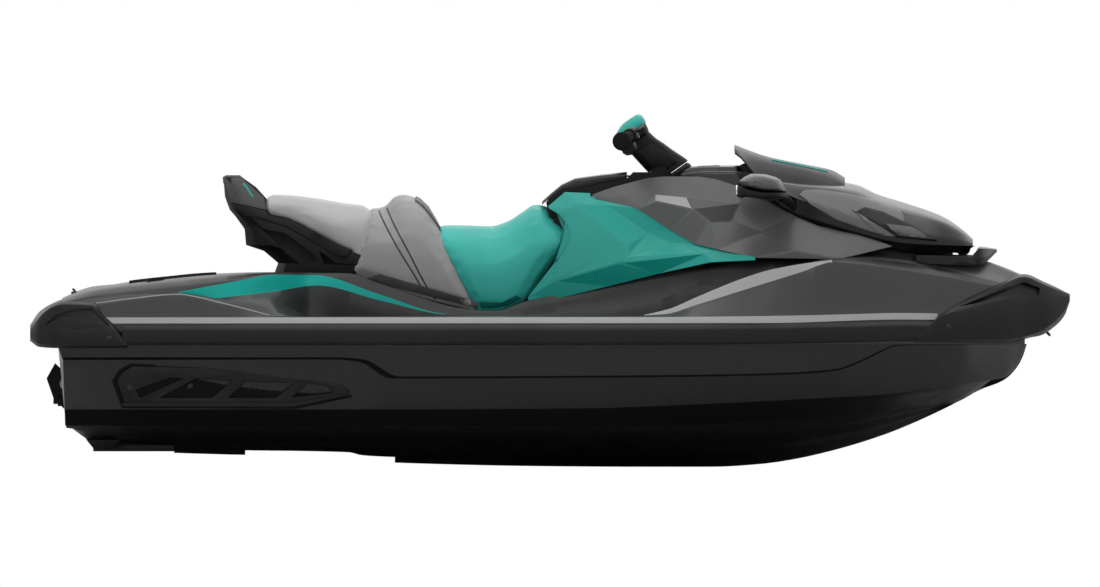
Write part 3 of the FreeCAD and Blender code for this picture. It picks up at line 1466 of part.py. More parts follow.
def dash_envelope():
    """Dash before the moulding is taken from it."""
    sections = []
    for station_share, half_share, foot, top in dash_shares:
        half = half_share * HALF_BEAM
        points = [(0, height(foot)), (half, height(foot)), (half * dash_top_share, height(top)), (0, height(top))]
        sections.append(section_at(along(station_share), mirrored(points)))
    return loft(sections)


dash_top_share = 0.9


def build_dash():
    """Upper dash between the steering neck and the windscreen."""
    return place("dash", solids_of(dash_envelope().cut(core_envelope())))


def build_gauge():
    """Display panel that stands on the dash, leaning towards the rider."""
    half = size["gauge_width"] / 2
    thick = size["gauge_thickness"]
    tall = size["gauge_height"]
    base_x = along(dash_shares[1][0]) + thick
    base_z = height(dash_shares[1][3])
    lean = tall / 2
    outline = [(base_x, base_z), (base_x + lean, base_z + tall / 3), (base_x + lean + thick, base_z + tall / 3 - thick),
               (base_x + 3 * thick, base_z)]
    shape = outline_prism(outline, -half, half).cut(dash_envelope())
    return place("gauge", solids_of(shape))


def build_bin():
    """Storage bin liner under the bonnet."""
    rim = height(core_shares[3][4])
    outer = bin_box(size["bin_wall"]).common(box(
        (-HALF_LENGTH, -HALF_BEAM, -HALF_LENGTH), (HALF_LENGTH, HALF_BEAM, bin_rim())))
    inner = bin_box(0)
    floor = height(core_shares[3][4]) - size["bin_depth"]
    low = inner.BoundBox
    hollow = box((low.XMin, low.YMin, floor), (low.XMax, low.YMax, rim + size["overrun"]))
    return place("storage_bin", solids_of(outer.cut(hollow)))


def bin_rim():
    """Height of the storage bin's rim, level with the lowest part of the moulding round it."""
    return height(core_shares[5][4])


def ring(diameter, wire, x, z):
    """Flat-sided ring in the fore and aft plane, as thick as its wall."""
    outer = y_cylinder(diameter, -wire / 2, wire / 2, x, z)
    return outer.cut(y_cylinder(diameter - 2 * wire, -wire / 2, wire / 2, x, z))


def bow_eye_centre():
    """Centre of the bow eye's hole, clear of the bumper's nose."""
    return along(size["bow_eye_station"]), height(size["bow_eye_level"])


def build_bow_eye():
    """Bow eye under the nose of the bumper."""
    x, z = bow_eye_centre()
    shape = ring(size["bow_ring_diameter"], size["eye_wire"], x, z)
    half = size["eye_wire"] / 2
    inner = size["bow_ring_diameter"] / 2 - half
    stem = box((x - size["eye_wire"], -half, z + inner), (x + size["eye_wire"], half, z + size["overrun"]))
    shape = shape.fuse(stem).cut(bow_bumper_envelope()).cut(hull_envelope())
    biggest = max(shape.Solids, key=lambda solid: solid.Volume)
    return place("bow_eye", biggest)


def build_tow_eye():
    """Towing eye on the stern platform."""
    x = along(size["tow_eye_station"])
    z = height(platform_level(size["tow_eye_station"])) + size["tow_ring_diameter"] / 2 - size["eye_wire"] / 2
    shape = ring(size["tow_ring_diameter"], size["eye_wire"], x, z)
    half = size["eye_plate_width"] / 2
    plate_top = height(platform_level(size["tow_eye_station"])) + size["eye_plate_thickness"] / 2
    plate = box((x - half / 2, -half, plate_top - size["eye_plate_thickness"]), (x + half / 2, half, plate_top))
    bore = y_cylinder(size["tow_ring_diameter"] - 2 * size["eye_wire"], -half, half, x, z)
    shape = shape.fuse(plate).cut(bore).cut(deck_envelope()).cut(stern_bumper_envelope())
    biggest = max(shape.Solids, key=lambda solid: solid.Volume)
    return place("stern_tow_eye", biggest)


# Fixed lip in front of the bonnet, one row a station: half-width, foot level, top level.
lip_shares = [
    (90.5, 0.40, 20.0, 20.95),
    (93.5, 0.33, 19.6, 20.9),
    (95.2, 0.24, 19.4, 21.0),
    (96.7, 0.05, 20.7, 21.75),
]


def build_lip():
    """Fixed lip on the foredeck in front of the bonnet."""
    sections = []
    for station_share, half_share, foot, top in lip_shares:
        half = half_share * HALF_BEAM
        points = [(0, height(foot)), (half, height(foot)), (half, height(top)), (0, height(top))]
        sections.append(section_at(along(station_share), mirrored(points)))
    shape = loft(sections).cut(deck_envelope()).cut(core_envelope()).cut(hinge_room())
    biggest = max(shape.Solids, key=lambda solid: solid.Volume)
    return place("foredeck_lip", biggest)


def build_lid_bracket():
    """Bracket on the moulding that carries the glove box lid's pin between two lugs."""
    x, z = lid_hinge()
    knuckle = size["lid_knuckle_diameter"]
    inner = size["lid_knuckle_width"] / 2 + size["moving_gap"] / 2
    outer = inner + size["moving_gap"]
    shape = y_cylinder(size["lid_pin_diameter"], -outer, outer, x, z)
    for side in (-1, 1):
        low = inner if side > 0 else -outer
        barrel = y_cylinder(knuckle, low, low + size["moving_gap"], x, z)
        lug = box((x, low, z - knuckle * 3), (x + knuckle * 3, low + size["moving_gap"], z - knuckle / 2))
        lug = lug.fuse(box((x, low, z - knuckle), (x + knuckle / 2, low + size["moving_gap"], z)))
        shape = shape.fuse(barrel).fuse(lug)
    shape = shape.cut(core_envelope()).cut(console_envelope())
    biggest = max(shape.Solids, key=lambda solid: solid.Volume)
    return place("glove_box_hinge", biggest)


def build_drains():
    """Two drain plugs in the transom."""
    plugs = []
    for side in (-1, 1):
        y = side * size["drain_spacing"] / 2
        high = along(hull_shares[0][0])
        plug = x_cylinder(size["drain_diameter"], high - size["drain_length"], high, height(size["drain_level"]), y)
        z = height(size["drain_level"])
        half = size["drain_grip_thickness"] / 2
        tall = size["drain_grip_height"] / 2
        grip = box((high - 2 * size["drain_length"], y - half, z - tall), (high - size["drain_length"], y + half, z + tall))
        plugs.append(plug.fuse(grip))
    return place("drain_plugs", Part.makeCompound(plugs))


BUILDERS = (
    build_hull, build_deck, build_engine, build_rub_rails, build_bow_bumper, build_stern_bumper, build_sponsons,
    build_ride_plate, build_grate, build_pump, build_carrier, build_shaft, build_impeller, build_nozzle, build_gate,
    build_footwell_mats, build_platform_mat, build_anchors, build_tow_eye, build_bow_eye, build_drains, build_lip,
    build_tail, build_seats, build_console, build_glove_box, build_lid_bracket, build_glove_lid, build_core,
    build_bin, build_fairings, build_dash, build_gauge, build_hinge_bracket, build_hood, build_visor, build_mirrors,
    build_boot, build_neck, build_handlebar, build_grips, build_switches, build_pad,
)


def write_parts(features):
    """Check each sub-part and write it to a file of its own."""
    os.makedirs("parts", exist_ok=True)
    for feature in features:
        if "Invalid" in feature.State or "Error" in feature.State:
            raise RuntimeError("{} did not compute".format(feature.Label))
        if feature.Shape.isNull() or not feature.Shape.isValid():
            raise RuntimeError("{} has no valid shape".format(feature.Label))
        feature.Shape.exportStep("parts/{}.step".format(feature.Label))


subparts = []
for builder in BUILDERS:
    result = builder()
    subparts += result if isinstance(result, list) else [result]
document.recompute()
write_parts(subparts)
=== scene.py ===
"""Looks of a three-seat personal watercraft, made round its packed frame."""

import json
import math

import bmesh
import bpy
import numpy as np
from bpy.props import FloatProperty, PointerProperty
from mathutils import Matrix, Vector
from mathutils.bvhtree import BVHTree
from mathutils.geometry import delaunay_2d_cdt

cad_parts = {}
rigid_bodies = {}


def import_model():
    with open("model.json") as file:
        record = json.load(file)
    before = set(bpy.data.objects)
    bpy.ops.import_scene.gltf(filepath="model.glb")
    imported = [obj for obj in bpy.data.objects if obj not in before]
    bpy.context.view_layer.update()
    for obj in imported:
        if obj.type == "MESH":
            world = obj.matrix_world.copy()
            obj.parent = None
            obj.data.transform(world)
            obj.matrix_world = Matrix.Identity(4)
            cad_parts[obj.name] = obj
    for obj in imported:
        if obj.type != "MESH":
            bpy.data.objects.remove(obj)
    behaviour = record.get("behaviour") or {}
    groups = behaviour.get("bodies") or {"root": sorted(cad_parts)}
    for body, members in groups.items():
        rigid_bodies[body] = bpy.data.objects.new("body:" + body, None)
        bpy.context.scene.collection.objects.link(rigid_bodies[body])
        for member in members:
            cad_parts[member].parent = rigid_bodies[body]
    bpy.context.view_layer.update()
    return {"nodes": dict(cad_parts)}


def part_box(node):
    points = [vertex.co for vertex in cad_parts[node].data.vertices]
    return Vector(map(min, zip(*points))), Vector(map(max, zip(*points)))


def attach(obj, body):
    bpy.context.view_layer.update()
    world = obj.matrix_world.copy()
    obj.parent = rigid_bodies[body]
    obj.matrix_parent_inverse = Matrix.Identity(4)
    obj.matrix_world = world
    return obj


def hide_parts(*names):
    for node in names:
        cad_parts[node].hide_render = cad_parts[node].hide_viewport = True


bl_info = {
    "name": "Personal watercraft",
    "version": (1, 0, 0),
    "blender": (4, 5, 0),
    "location": "3D View > Sidebar > Watercraft",
    "description": "Dresses the frame of a personal watercraft with its shells, seats and fittings",
    "category": "Object",
}

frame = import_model()

# The lofting grid: stations count forward from the stern, levels count up from the keel.
HULL_LENGTH = 3.32
STATION = HULL_LENGTH / 104
LEVEL = 1.11 / 34.8
DRAUGHT = 0.25
HALF_BEAM = 0.6275
RAIL_THICKNESS = 0.024
MERGE = 0.0004

# Rounding of edges, from trims to large mouldings.
FINE_ROUND = 0.0015
SMALL_ROUND = 0.002
EDGE_ROUND = 0.003
FULL_ROUND = 0.004
SOFT_ROUND = 0.006

# Half-breadth of the gunwale in plan, as shares of the half beam.
BEAM = [
    (0, 0.8), (3.2, 0.895), (14.8, 0.95), (32, 0.99), (45, 1), (55, 0.997), (66.5, 0.967), (74, 0.915),
    (80.5, 0.838), (85, 0.755), (90, 0.635), (94.5, 0.5), (98, 0.375), (99.5, 0.305), (102, 0.2), (104, 0.08),
]


def along(station):
    """Place along X of a station, in metres."""
    return station * STATION - HULL_LENGTH / 2


def height(level):
    """Place along Z of a level, in metres."""
    return level * LEVEL - DRAUGHT


def slopes(places, values):
    """Slopes of a smooth curve through values that never swings past them."""
    steps = np.diff(places)[:, None]
    chords = np.diff(values, axis=0) / steps
    inner = np.zeros_like(values)
    before, after = chords[:-1], chords[1:]
    same = before * after > 0
    weight = (2 * steps[1:] + steps[:-1], steps[1:] + 2 * steps[:-1])
    with np.errstate(divide="ignore", invalid="ignore"):
        mean = (weight[0] + weight[1]) / (weight[0] / before + weight[1] / after)
    inner[1:-1] = np.where(same, mean, 0)
    inner[0] = chords[0]
    inner[-1] = chords[-1]
    return inner


def curve(rows, at):
    """Values of a table's other columns at places along its first column."""
    rows = np.array(rows, float)
    places, values = rows[:, 0], rows[:, 1:]
    at = np.clip(np.atleast_1d(np.array(at, float)), places[0], places[-1])
    slope = slopes(places, values)
    index = np.clip(np.searchsorted(places, at, side="right") - 1, 0, len(places) - 2)
    span = (places[index + 1] - places[index])[:, None]
    t = ((at - places[index]) / span[:, 0])[:, None]
    return (
        (1 + 2 * t) * (1 - t) ** 2 * values[index] + t * (1 - t) ** 2 * span * slope[index]
        + t * t * (3 - 2 * t) * values[index + 1] + t * t * (t - 1) * span * slope[index + 1]
    )


def route(points, count):
    """Evenly spread points on a smooth curve through points in space."""
    points = np.array(points, float)
    lengths = np.concatenate(([0], np.cumsum(np.linalg.norm(np.diff(points, axis=0), axis=1))))
    rows = np.column_stack((lengths, points))
    return curve(rows, np.linspace(0, lengths[-1], count))


def gunwale(station):
    """Half-breadth of the body under the rub rail at stations, in metres."""
    return curve(BEAM, station)[:, 0] * HALF_BEAM - RAIL_THICKNESS


def beam_width(stations):
    """The half beam at every station."""
    return np.full(len(stations), HALF_BEAM)


def spread(*parts):
    """Stations in order from even parts, each (first, last, count)."""
    return np.unique(np.concatenate([np.linspace(*part) for part in parts]))


def columns_grid(columns, stations, widths=gunwale):
    """Grid of points, stations by columns, from tables of (station, share of the breadth, level)."""
    breadth = widths(stations)
    grid = np.zeros((len(stations), len(columns), 3))
    for index, table in enumerate(columns):
        values = curve(table, stations)
        grid[:, index, 0] = along(np.array(stations, float))
        grid[:, index, 1] = values[:, 0] * breadth
        grid[:, index, 2] = height(values[:, 1])
    return grid


def refine(grid, steps, soft=()):
    """Adds points across a grid: curved through the soft columns and straight between the rest."""
    count = grid.shape[1]
    steps = [steps] * (count - 1) if isinstance(steps, int) else list(steps)
    rows = [grid[:, :1]]
    strips = []
    for index in range(count - 1):
        start, end = grid[:, index], grid[:, index + 1]
        chord = end - start
        reach = np.linalg.norm(chord, axis=1, keepdims=True)
        lead, trail = chord, chord
        if index in soft and index > 0:
            way = end - grid[:, index - 1]
            lead = way / np.maximum(np.linalg.norm(way, axis=1, keepdims=True), 1e-9) * reach
        if index + 1 in soft and index + 2 < count:
            way = grid[:, index + 2] - start
            trail = way / np.maximum(np.linalg.norm(way, axis=1, keepdims=True), 1e-9) * reach
        for step in range(1, steps[index] + 1):
            t = step / steps[index]
            rows.append(((1 + 2 * t) * (1 - t) ** 2 * start + t * (1 - t) ** 2 * lead
                         + t * t * (3 - 2 * t) * end + t * t * (t - 1) * trail)[:, None])
            strips.append(index)
    return np.concatenate(rows, axis=1), strips


def linked(name, data):
    """Object for its data, in the scene's collection."""
    piece = bpy.data.objects.new(name, data)
    bpy.context.scene.collection.objects.link(piece)
    return piece


def new_object(name, vertices, faces):
    """Object at the origin from vertices and faces."""
    mesh = bpy.data.meshes.new(name)
    mesh.from_pydata([tuple(v) for v in vertices], [], faces)
    return linked(name, mesh)


def grid_object(name, grid, strips=None, slots=None, mirror=True, ends=True, ring=False):
    """Closed skin over a grid, mirrored across the centreline, its ends closed.

    Strips tell which column each face came from, and slots which material that column's faces take.
    """
    rows, cols = grid.shape[:2]
    vertices = grid.reshape(-1, 3)
    faces, marks = [], []
    last = cols if ring else cols - 1
    for u in range(rows - 1):
        for v in range(last):
            w = (v + 1) % cols
            faces.append((u * cols + v, u * cols + w, (u + 1) * cols + w, (u + 1) * cols + v))
            marks.append(slots.get(strips[v], 0) if slots and v < len(strips) else 0)
    if ends and ring:
        faces += [tuple(range(cols)), tuple(range((rows - 1) * cols, rows * cols))]
        marks += [0, 0]
    if mirror:
        count = len(vertices)
        vertices = np.concatenate((vertices, vertices * (1, -1, 1)))
        faces += [tuple(i + count for i in reversed(face)) for face in faces]
        marks += marks
        if ends and not ring:
            for u in (0, rows - 1):
                port = [u * cols + v for v in range(cols)]
                faces.append(tuple(port + [i + count for i in reversed(port)]))
                marks.append(0)
    piece = new_object(name, vertices, faces)
    for polygon, mark in zip(piece.data.polygons, marks):
        polygon.material_index = mark
    tidy_mesh(piece)
    return piece


def tidy_mesh(piece, merge=MERGE):
    """Merges doubles, drops slivers and turns the faces outwards."""
    work = bmesh.new()
    work.from_mesh(piece.data)
    bmesh.ops.remove_doubles(work, verts=work.verts, dist=merge)
    bmesh.ops.dissolve_degenerate(work, edges=work.edges, dist=merge / 10)
    loose = [vertex for vertex in work.verts if not vertex.link_faces]
    bmesh.ops.delete(work, geom=loose, context="VERTS")
    bmesh.ops.recalc_face_normals(work, faces=work.faces)
    work.to_mesh(piece.data)
    work.free()
    piece.data.update()


def shade(piece, angle=32):
    """Smooth shading, sharp at edges over an angle and at those already marked."""
    mesh = piece.data
    for polygon in mesh.polygons:
        polygon.use_smooth = True
    kept = [edge.index for edge in mesh.edges if edge.use_edge_sharp]
    mesh.set_sharp_from_angle(angle=math.radians(angle))
    for index in kept:
        mesh.edges[index].use_edge_sharp = True


def bake(piece):
    """Turns a piece's modifiers into plain mesh."""
    depsgraph = bpy.context.evaluated_depsgraph_get()
    mesh = bpy.data.meshes.new_from_object(piece.evaluated_get(depsgraph))
    piece.modifiers.clear()
    old = piece.data
    piece.data = mesh
    bpy.data.meshes.remove(old)
    mesh.name = piece.name
    return piece


def modify(piece, kind, **settings):
    """Puts one modifier on a piece and turns the result into plain mesh."""
    modifier = piece.modifiers.new(kind.lower(), kind)
    for name, value in settings.items():
        setattr(modifier, name, value)
    return bake(piece)


def bevel(piece, width, angle=24, segments=2):
    """Rounds the hard edges of a piece."""
    return modify(piece, "BEVEL", width=width, segments=segments, limit_method="ANGLE",
                  angle_limit=math.radians(angle), use_clamp_overlap=True)


def cut(piece, *tools):
    """Takes closed tools away from a piece and deletes them."""
    for tool in tools:
        modifier = piece.modifiers.new("cut", "BOOLEAN")
        modifier.operation = "DIFFERENCE"
        modifier.solver = "EXACT"
        modifier.object = tool
    bake(piece)
    for tool in tools:
        bpy.data.objects.remove(tool)
    return piece


def block(name, low, high):
    """Box between two corners, its faces outwards."""
    corners = [(x, y, z) for x in (low[0], high[0]) for y in (low[1], high[1]) for z in (low[2], high[2])]
    faces = [(0, 1, 3, 2), (4, 6, 7, 5), (0, 4, 5, 1), (2, 3, 7, 6), (0, 2, 6, 4), (1, 5, 7, 3)]
    return new_object(name, corners, faces)


def joined(name, pieces):
    """Several pieces as one object, each one's material index kept."""
    work = bmesh.new()
    for piece in pieces:
        work.from_mesh(piece.data)
        bpy.data.objects.remove(piece)
    mesh = bpy.data.meshes.new(name)
    work.to_mesh(mesh)
    work.free()
    return linked(name, mesh)


def mirrored_copy(piece):
    """The piece with its mirror image across the centreline, as one object."""
    work = bmesh.new()
    work.from_mesh(piece.data)
    made = bmesh.ops.duplicate(work, geom=list(work.verts) + list(work.edges) + list(work.faces))["geom"]
    faces = [item for item in made if isinstance(item, bmesh.types.BMFace)]
    for vertex in (item for item in made if isinstance(item, bmesh.types.BMVert)):
        vertex.co.y = -vertex.co.y
    bmesh.ops.reverse_faces(work, faces=faces)
    work.to_mesh(piece.data)
    work.free()
    return piece


def mark(piece, index):
    """Gives every face of a piece one material index."""
    for polygon in piece.data.polygons:
        polygon.material_index = index
    return piece


def pair(piece, index=0):
    """A piece and its mirror image under one material index."""
    return mark(mirrored_copy(piece), index)


def in_metres(outline):
    """Rows (x, z) of an outline of (station, level) pairs."""
    return np.array([(along(s), height(l)) for s, l in outline])


def upright(ring, y):
    """The (x, z) rows of a ring as points at a place across."""
    return np.column_stack((ring[:, 0], np.full(len(ring), y), ring[:, 1]))


def between(low, high, share, y):
    """Point a share of the way from one (station, level) place to another, at a place across."""
    return along(low[0] + (high[0] - low[0]) * share), y, height(low[1] + (high[1] - low[1]) * share)


def solid(name, rings):
    """Closed solid through rings of points."""
    return grid_object(name, np.array(rings), mirror=False, ring=True)


def prism(name, outline, low_y, high_y, inset=1.0):
    """Side outline of (station, level) pairs carried across from low_y to high_y, its far end drawn in."""
    ring = in_metres(outline)
    centre = ring.mean(axis=0)
    ends = ((low_y, 1), (high_y, inset))
    return solid(name, [upright(centre + (ring - centre) * share, y) for y, share in ends])


def tube(name, points, radius, sides=12, flat=1.0):
    """Round tube along points; radius may be one value or one a point, and flat squeezes it one way."""
    points = [Vector(p) for p in points]
    count = len(points)
    radii = [radius] * count if isinstance(radius, (int, float)) else list(radius)
    ways = [(points[min(i + 1, count - 1)] - points[max(i - 1, 0)]).normalized() for i in range(count)]
    side = ways[0].orthogonal().normalized()
    grid = np.zeros((count, sides, 3))
    for index, (centre, way) in enumerate(zip(points, ways)):
        side = (side - way * side.dot(way)).normalized()
        other = way.cross(side)
        for step in range(sides):
            angle = 2 * math.pi * step / sides
            out = side * math.cos(angle) + other * (flat * math.sin(angle))
            grid[index, step] = centre + out * radii[index]
    return solid(name, grid)


RAY_START = 2.0
NEAR_SIDE = 0.5


def surface_tree(piece):
    """Search tree of a piece's surface."""
    return BVHTree.FromObject(piece, bpy.context.evaluated_depsgraph_get())


def onto_side(tree, x, z):
    """Starboard surface of a piece seen from the side at a place, or the nearest to it."""
    hit = tree.ray_cast(Vector((x, -RAY_START, z)), Vector((0, 1, 0)))
    if hit[0] is None or hit[0].y > 0.05:
        hit = tree.find_nearest(Vector((x, -NEAR_SIDE, z)))
        return Vector((x, min(hit[0].y, -0.005), z))
    return hit[0]


def onto_top(tree, x, y):
    """Upper surface of a piece seen from above at a place."""
    hit = tree.ray_cast(Vector((x, y, RAY_START)), Vector((0, 0, -1)))
    return hit[0] if hit[0] is not None else Vector((x, y, tree.find_nearest(Vector((x, y, NEAR_SIDE)))[0].z))


def fill_outline(outline, spacing):
    """Triangles over a flat outline, with points inside at a spacing."""
    ring = []
    for start, end in zip(outline, outline[1:] + outline[:1]):
        start, end = Vector(start), Vector(end)
        steps = max(1, int((end - start).length / spacing))
        ring += [start + (end - start) * (step / steps) for step in range(steps)]
    xs, ys = [p.x for p in ring], [p.y for p in ring]
    inner = []
    for i, x in enumerate(np.arange(min(xs) + spacing / 2, max(xs), spacing)):
        for y in np.arange(min(ys) + spacing * (0.25 + 0.5 * (i % 2)), max(ys), spacing):
            if all(((Vector((x, y)) - p).length > spacing * 0.6) for p in ring):
                inner.append(Vector((x, y)))
    edges = [(i, (i + 1) % len(ring)) for i in range(len(ring))]
    made = delaunay_2d_cdt(ring + inner, edges, [], 1, 1e-6)
    return made[0], made[2]


def panel_on(name, base, outline, lift, depth, spacing=0.02, top=False, straight=False):
    """Closed panel that follows a base's surface inside an outline, standing proud by lift and sunk by depth.

    The outline holds (station, level) pairs from the side, or (x, y) in metres from the top.
    """
    tree = surface_tree(base)
    flat = outline if top else [(along(s), height(l)) for s, l in outline]
    points, faces = fill_outline([tuple(p) for p in flat], spacing)
    outer, inner = [], []
    for p in points:
        if top:
            hit = onto_top(tree, p.x, p.y)
        else:
            hit = onto_side(tree, p.x, p.y)
        out = Vector((0, -1, 0)) if straight else tree.find_nearest(hit)[1]
        outer.append(hit + out * lift)
        inner.append(hit - out * depth)
    count = len(points)
    triangles = [tuple(face) for face in faces]
    uses = {}
    for face in triangles:
        for a, b in zip(face, face[1:] + face[:1]):
            uses[(a, b)] = uses.get((a, b), 0) + 1
    skirt = [(b, a, a + count, b + count) for (a, b) in uses if (b, a) not in uses]
    bottom = [tuple(i + count for i in reversed(face)) for face in triangles]
    piece = new_object(name, outer + inner, triangles + bottom + skirt)
    tidy_mesh(piece, 1e-5)
    return piece


TOOL_LIFT = 0.04


def recess(piece, outline, depth, spacing=0.02):
    """Sinks an area of a piece's sides by an even depth."""
    tool = panel_on("recess_tool", piece, outline, TOOL_LIFT, depth, spacing, straight=True)
    return cut(piece, mirrored_copy(tool))


def drape(name, base, points, radius, count=40, sink=0.3):
    """Bead that follows a base's surface along points in the side view, sunk by a share of its radius."""
    tree = surface_tree(base)
    flat = [(along(s), 0, height(l)) for s, l in points]
    places = [onto_side(tree, x, z) + Vector((0, radius * sink, 0)) for x, _, z in route(flat, count)]
    return tube(name, places, radius, sides=8)


FACET_WALL = 0.006
FACET_EDGE = 0.003


def faceted(name, points, polygons):
    """Starboard panel of flat facets, thickened inwards, with its mirror image.

    Points are (station, level, half-width in metres); polygons list point numbers. Each facet is shaded
    as one surface, and a narrow chamfer parts it from the next.
    """
    work = bmesh.new()
    corners = [work.verts.new((along(s), -y, height(l))) for s, l, y in points]
    facet = work.faces.layers.int.new("facet")
    for index, polygon in enumerate(polygons):
        work.faces.new([corners[i] for i in polygon])[facet] = index
    bmesh.ops.recalc_face_normals(work, faces=work.faces)
    work.normal_update()
    if sum(face.normal.y * face.calc_area() for face in work.faces) > 0:
        bmesh.ops.reverse_faces(work, faces=work.faces)
    bmesh.ops.triangulate(work, faces=work.faces, ngon_method="BEAUTY")
    borders = [edge for edge in work.edges
               if len(edge.link_faces) == 2 and edge.link_faces[0][facet] != edge.link_faces[1][facet]]
    strips = bmesh.ops.bevel(work, geom=borders, offset=FACET_EDGE, offset_type="OFFSET", segments=1,
                             profile=0.5, affect="EDGES", clamp_overlap=True)["faces"]
    for face in strips:
        for side in face.edges:
            side.smooth = all(other in strips for other in side.link_faces)
    mesh = bpy.data.meshes.new(name)
    work.to_mesh(mesh)
    work.free()
    return mirrored_copy(modify(linked(name, mesh), "SOLIDIFY", thickness=FACET_WALL, offset=-1))


# Finishes

def colour(code):
    """Linear colour from an sRGB hex code."""
    parts = [int(code[i:i + 2], 16) / 255 for i in (1, 3, 5)]
    return tuple(p / 12.92 if p <= 0.04045 else ((p + 0.055) / 1.055) ** 2.4 for p in parts) + (1,)


def add_node(tree, kind, links=None, **settings):
    """One node with its settings and the links into its sockets."""
    made = tree.nodes.new(kind)
    for name, value in settings.items():
        if name in made.inputs:
            made.inputs[name].default_value = value
        else:
            setattr(made, name, value)
    for socket, source in (links or {}).items():
        tree.links.new(source, made.inputs[socket])
    return made


def set_inputs(made, **values):
    """Sets sockets whose names hold spaces, given with underscores."""
    for name, value in values.items():
        made.inputs[name.replace("_", " ")].default_value = value
    return made


def ramp(tree, source, stops):
    """Colour ramp with its stops, each a place and a grey value or a colour."""
    made = add_node(tree, "ShaderNodeValToRGB", {"Fac": source})
    bar = made.color_ramp
    while len(bar.elements) < len(stops):
        bar.elements.new(0.5)
    for element, (place, value) in zip(bar.elements, stops):
        element.position = place
        element.color = (value, value, value, 1) if isinstance(value, (int, float)) else value
    return made


LEAST_ROUGHNESS = 0.02
SMEAR_SCALE = 14.0
FLAKE_SCALE = 900.0


def surface(name, base, roughness, spread=0.04, grain=0.0, grain_size=0.0012, metallic=0.0, coat=0.0,
            ior=1.5, tint=0.08, mottling=0.25, sheen=0.0, flake=0.0, bump_kind="noise", specular=0.5):
    """Moulded or lacquered surface: base colour with slow mottling, roughness that varies, and a fine grain.

    Grain size and mottling are in metres; grain is the depth of the bump in metres.
    """
    material = bpy.data.materials.new(name)
    material.use_nodes = True
    tree = material.node_tree
    tree.nodes.clear()
    out = add_node(tree, "ShaderNodeOutputMaterial")
    shader = add_node(tree, "ShaderNodeBsdfPrincipled", {})
    set_inputs(shader, Metallic=metallic, IOR=ior, Coat_Weight=coat, Coat_Roughness=0.05, Sheen_Weight=sheen,
               Specular_IOR_Level=specular)
    tree.links.new(shader.outputs[0], out.inputs["Surface"])
    place = add_node(tree, "ShaderNodeTexCoord").outputs["Object"]
    slow = add_node(tree, "ShaderNodeTexNoise", {"Vector": place}, Scale=1 / mottling, Detail=3.0)
    dark = tuple(c * (1 - tint) for c in colour(base)[:3]) + (1,)
    light = tuple(min(c * (1 + tint), 1) for c in colour(base)[:3]) + (1,)
    shades = ramp(tree, slow.outputs["Fac"], [(0.35, dark), (0.65, light)])
    paint = shades.outputs["Color"]
    if flake:
        fleck = add_node(tree, "ShaderNodeTexVoronoi", {"Vector": place}, Scale=FLAKE_SCALE)
        spark = ramp(tree, fleck.outputs["Distance"], [(0.0, 1 + flake), (0.5, 1.0)])
        mix = add_node(tree, "ShaderNodeMix", data_type="RGBA", blend_type="MULTIPLY")
        mix.inputs["Factor"].default_value = 1.0
        tree.links.new(paint, mix.inputs[6])
        tree.links.new(spark.outputs["Color"], mix.inputs[7])
        paint = mix.outputs[2]
    tree.links.new(paint, shader.inputs["Base Color"])
    smear = add_node(tree, "ShaderNodeTexNoise", {"Vector": place}, Scale=SMEAR_SCALE, Detail=5.0)
    gloss = add_node(tree, "ShaderNodeMapRange", {"Value": smear.outputs["Fac"]})
    set_inputs(gloss, From_Min=0.3, From_Max=0.7, To_Min=max(roughness - spread, LEAST_ROUGHNESS),
               To_Max=roughness + spread)
    tree.links.new(gloss.outputs["Result"], shader.inputs["Roughness"])
    if grain:
        if bump_kind == "noise":
            fine = add_node(tree, "ShaderNodeTexNoise", {"Vector": place}, Scale=1 / grain_size, Detail=2.0)
            relief = fine.outputs["Fac"]
        else:
            fine = add_node(tree, "ShaderNodeTexVoronoi", {"Vector": place}, Scale=1 / grain_size,
                            feature="DISTANCE_TO_EDGE")
            relief = ramp(tree, fine.outputs["Distance"], [(0.0, 0.0), (0.12, 1.0)]).outputs["Color"]
        bump = add_node(tree, "ShaderNodeBump", {"Height": relief}, Strength=0.6, Distance=grain)
        tree.links.new(bump.outputs["Normal"], shader.inputs["Normal"])
    return material


FINISHES = {}


def finish(name):
    """A finish by its name, made when it is first asked for."""
    if name not in FINISHES:
        title, code, roughness, settings = FINISH_TABLE[name]
        FINISHES[name] = surface(title, code, roughness, **settings)
    return FINISHES[name]


# Leather-printed marine vinyl, whatever its colour.
VINYL = dict(grain=0.0003, grain_size=0.0021, tint=0.05, sheen=0.05, bump_kind="cells")

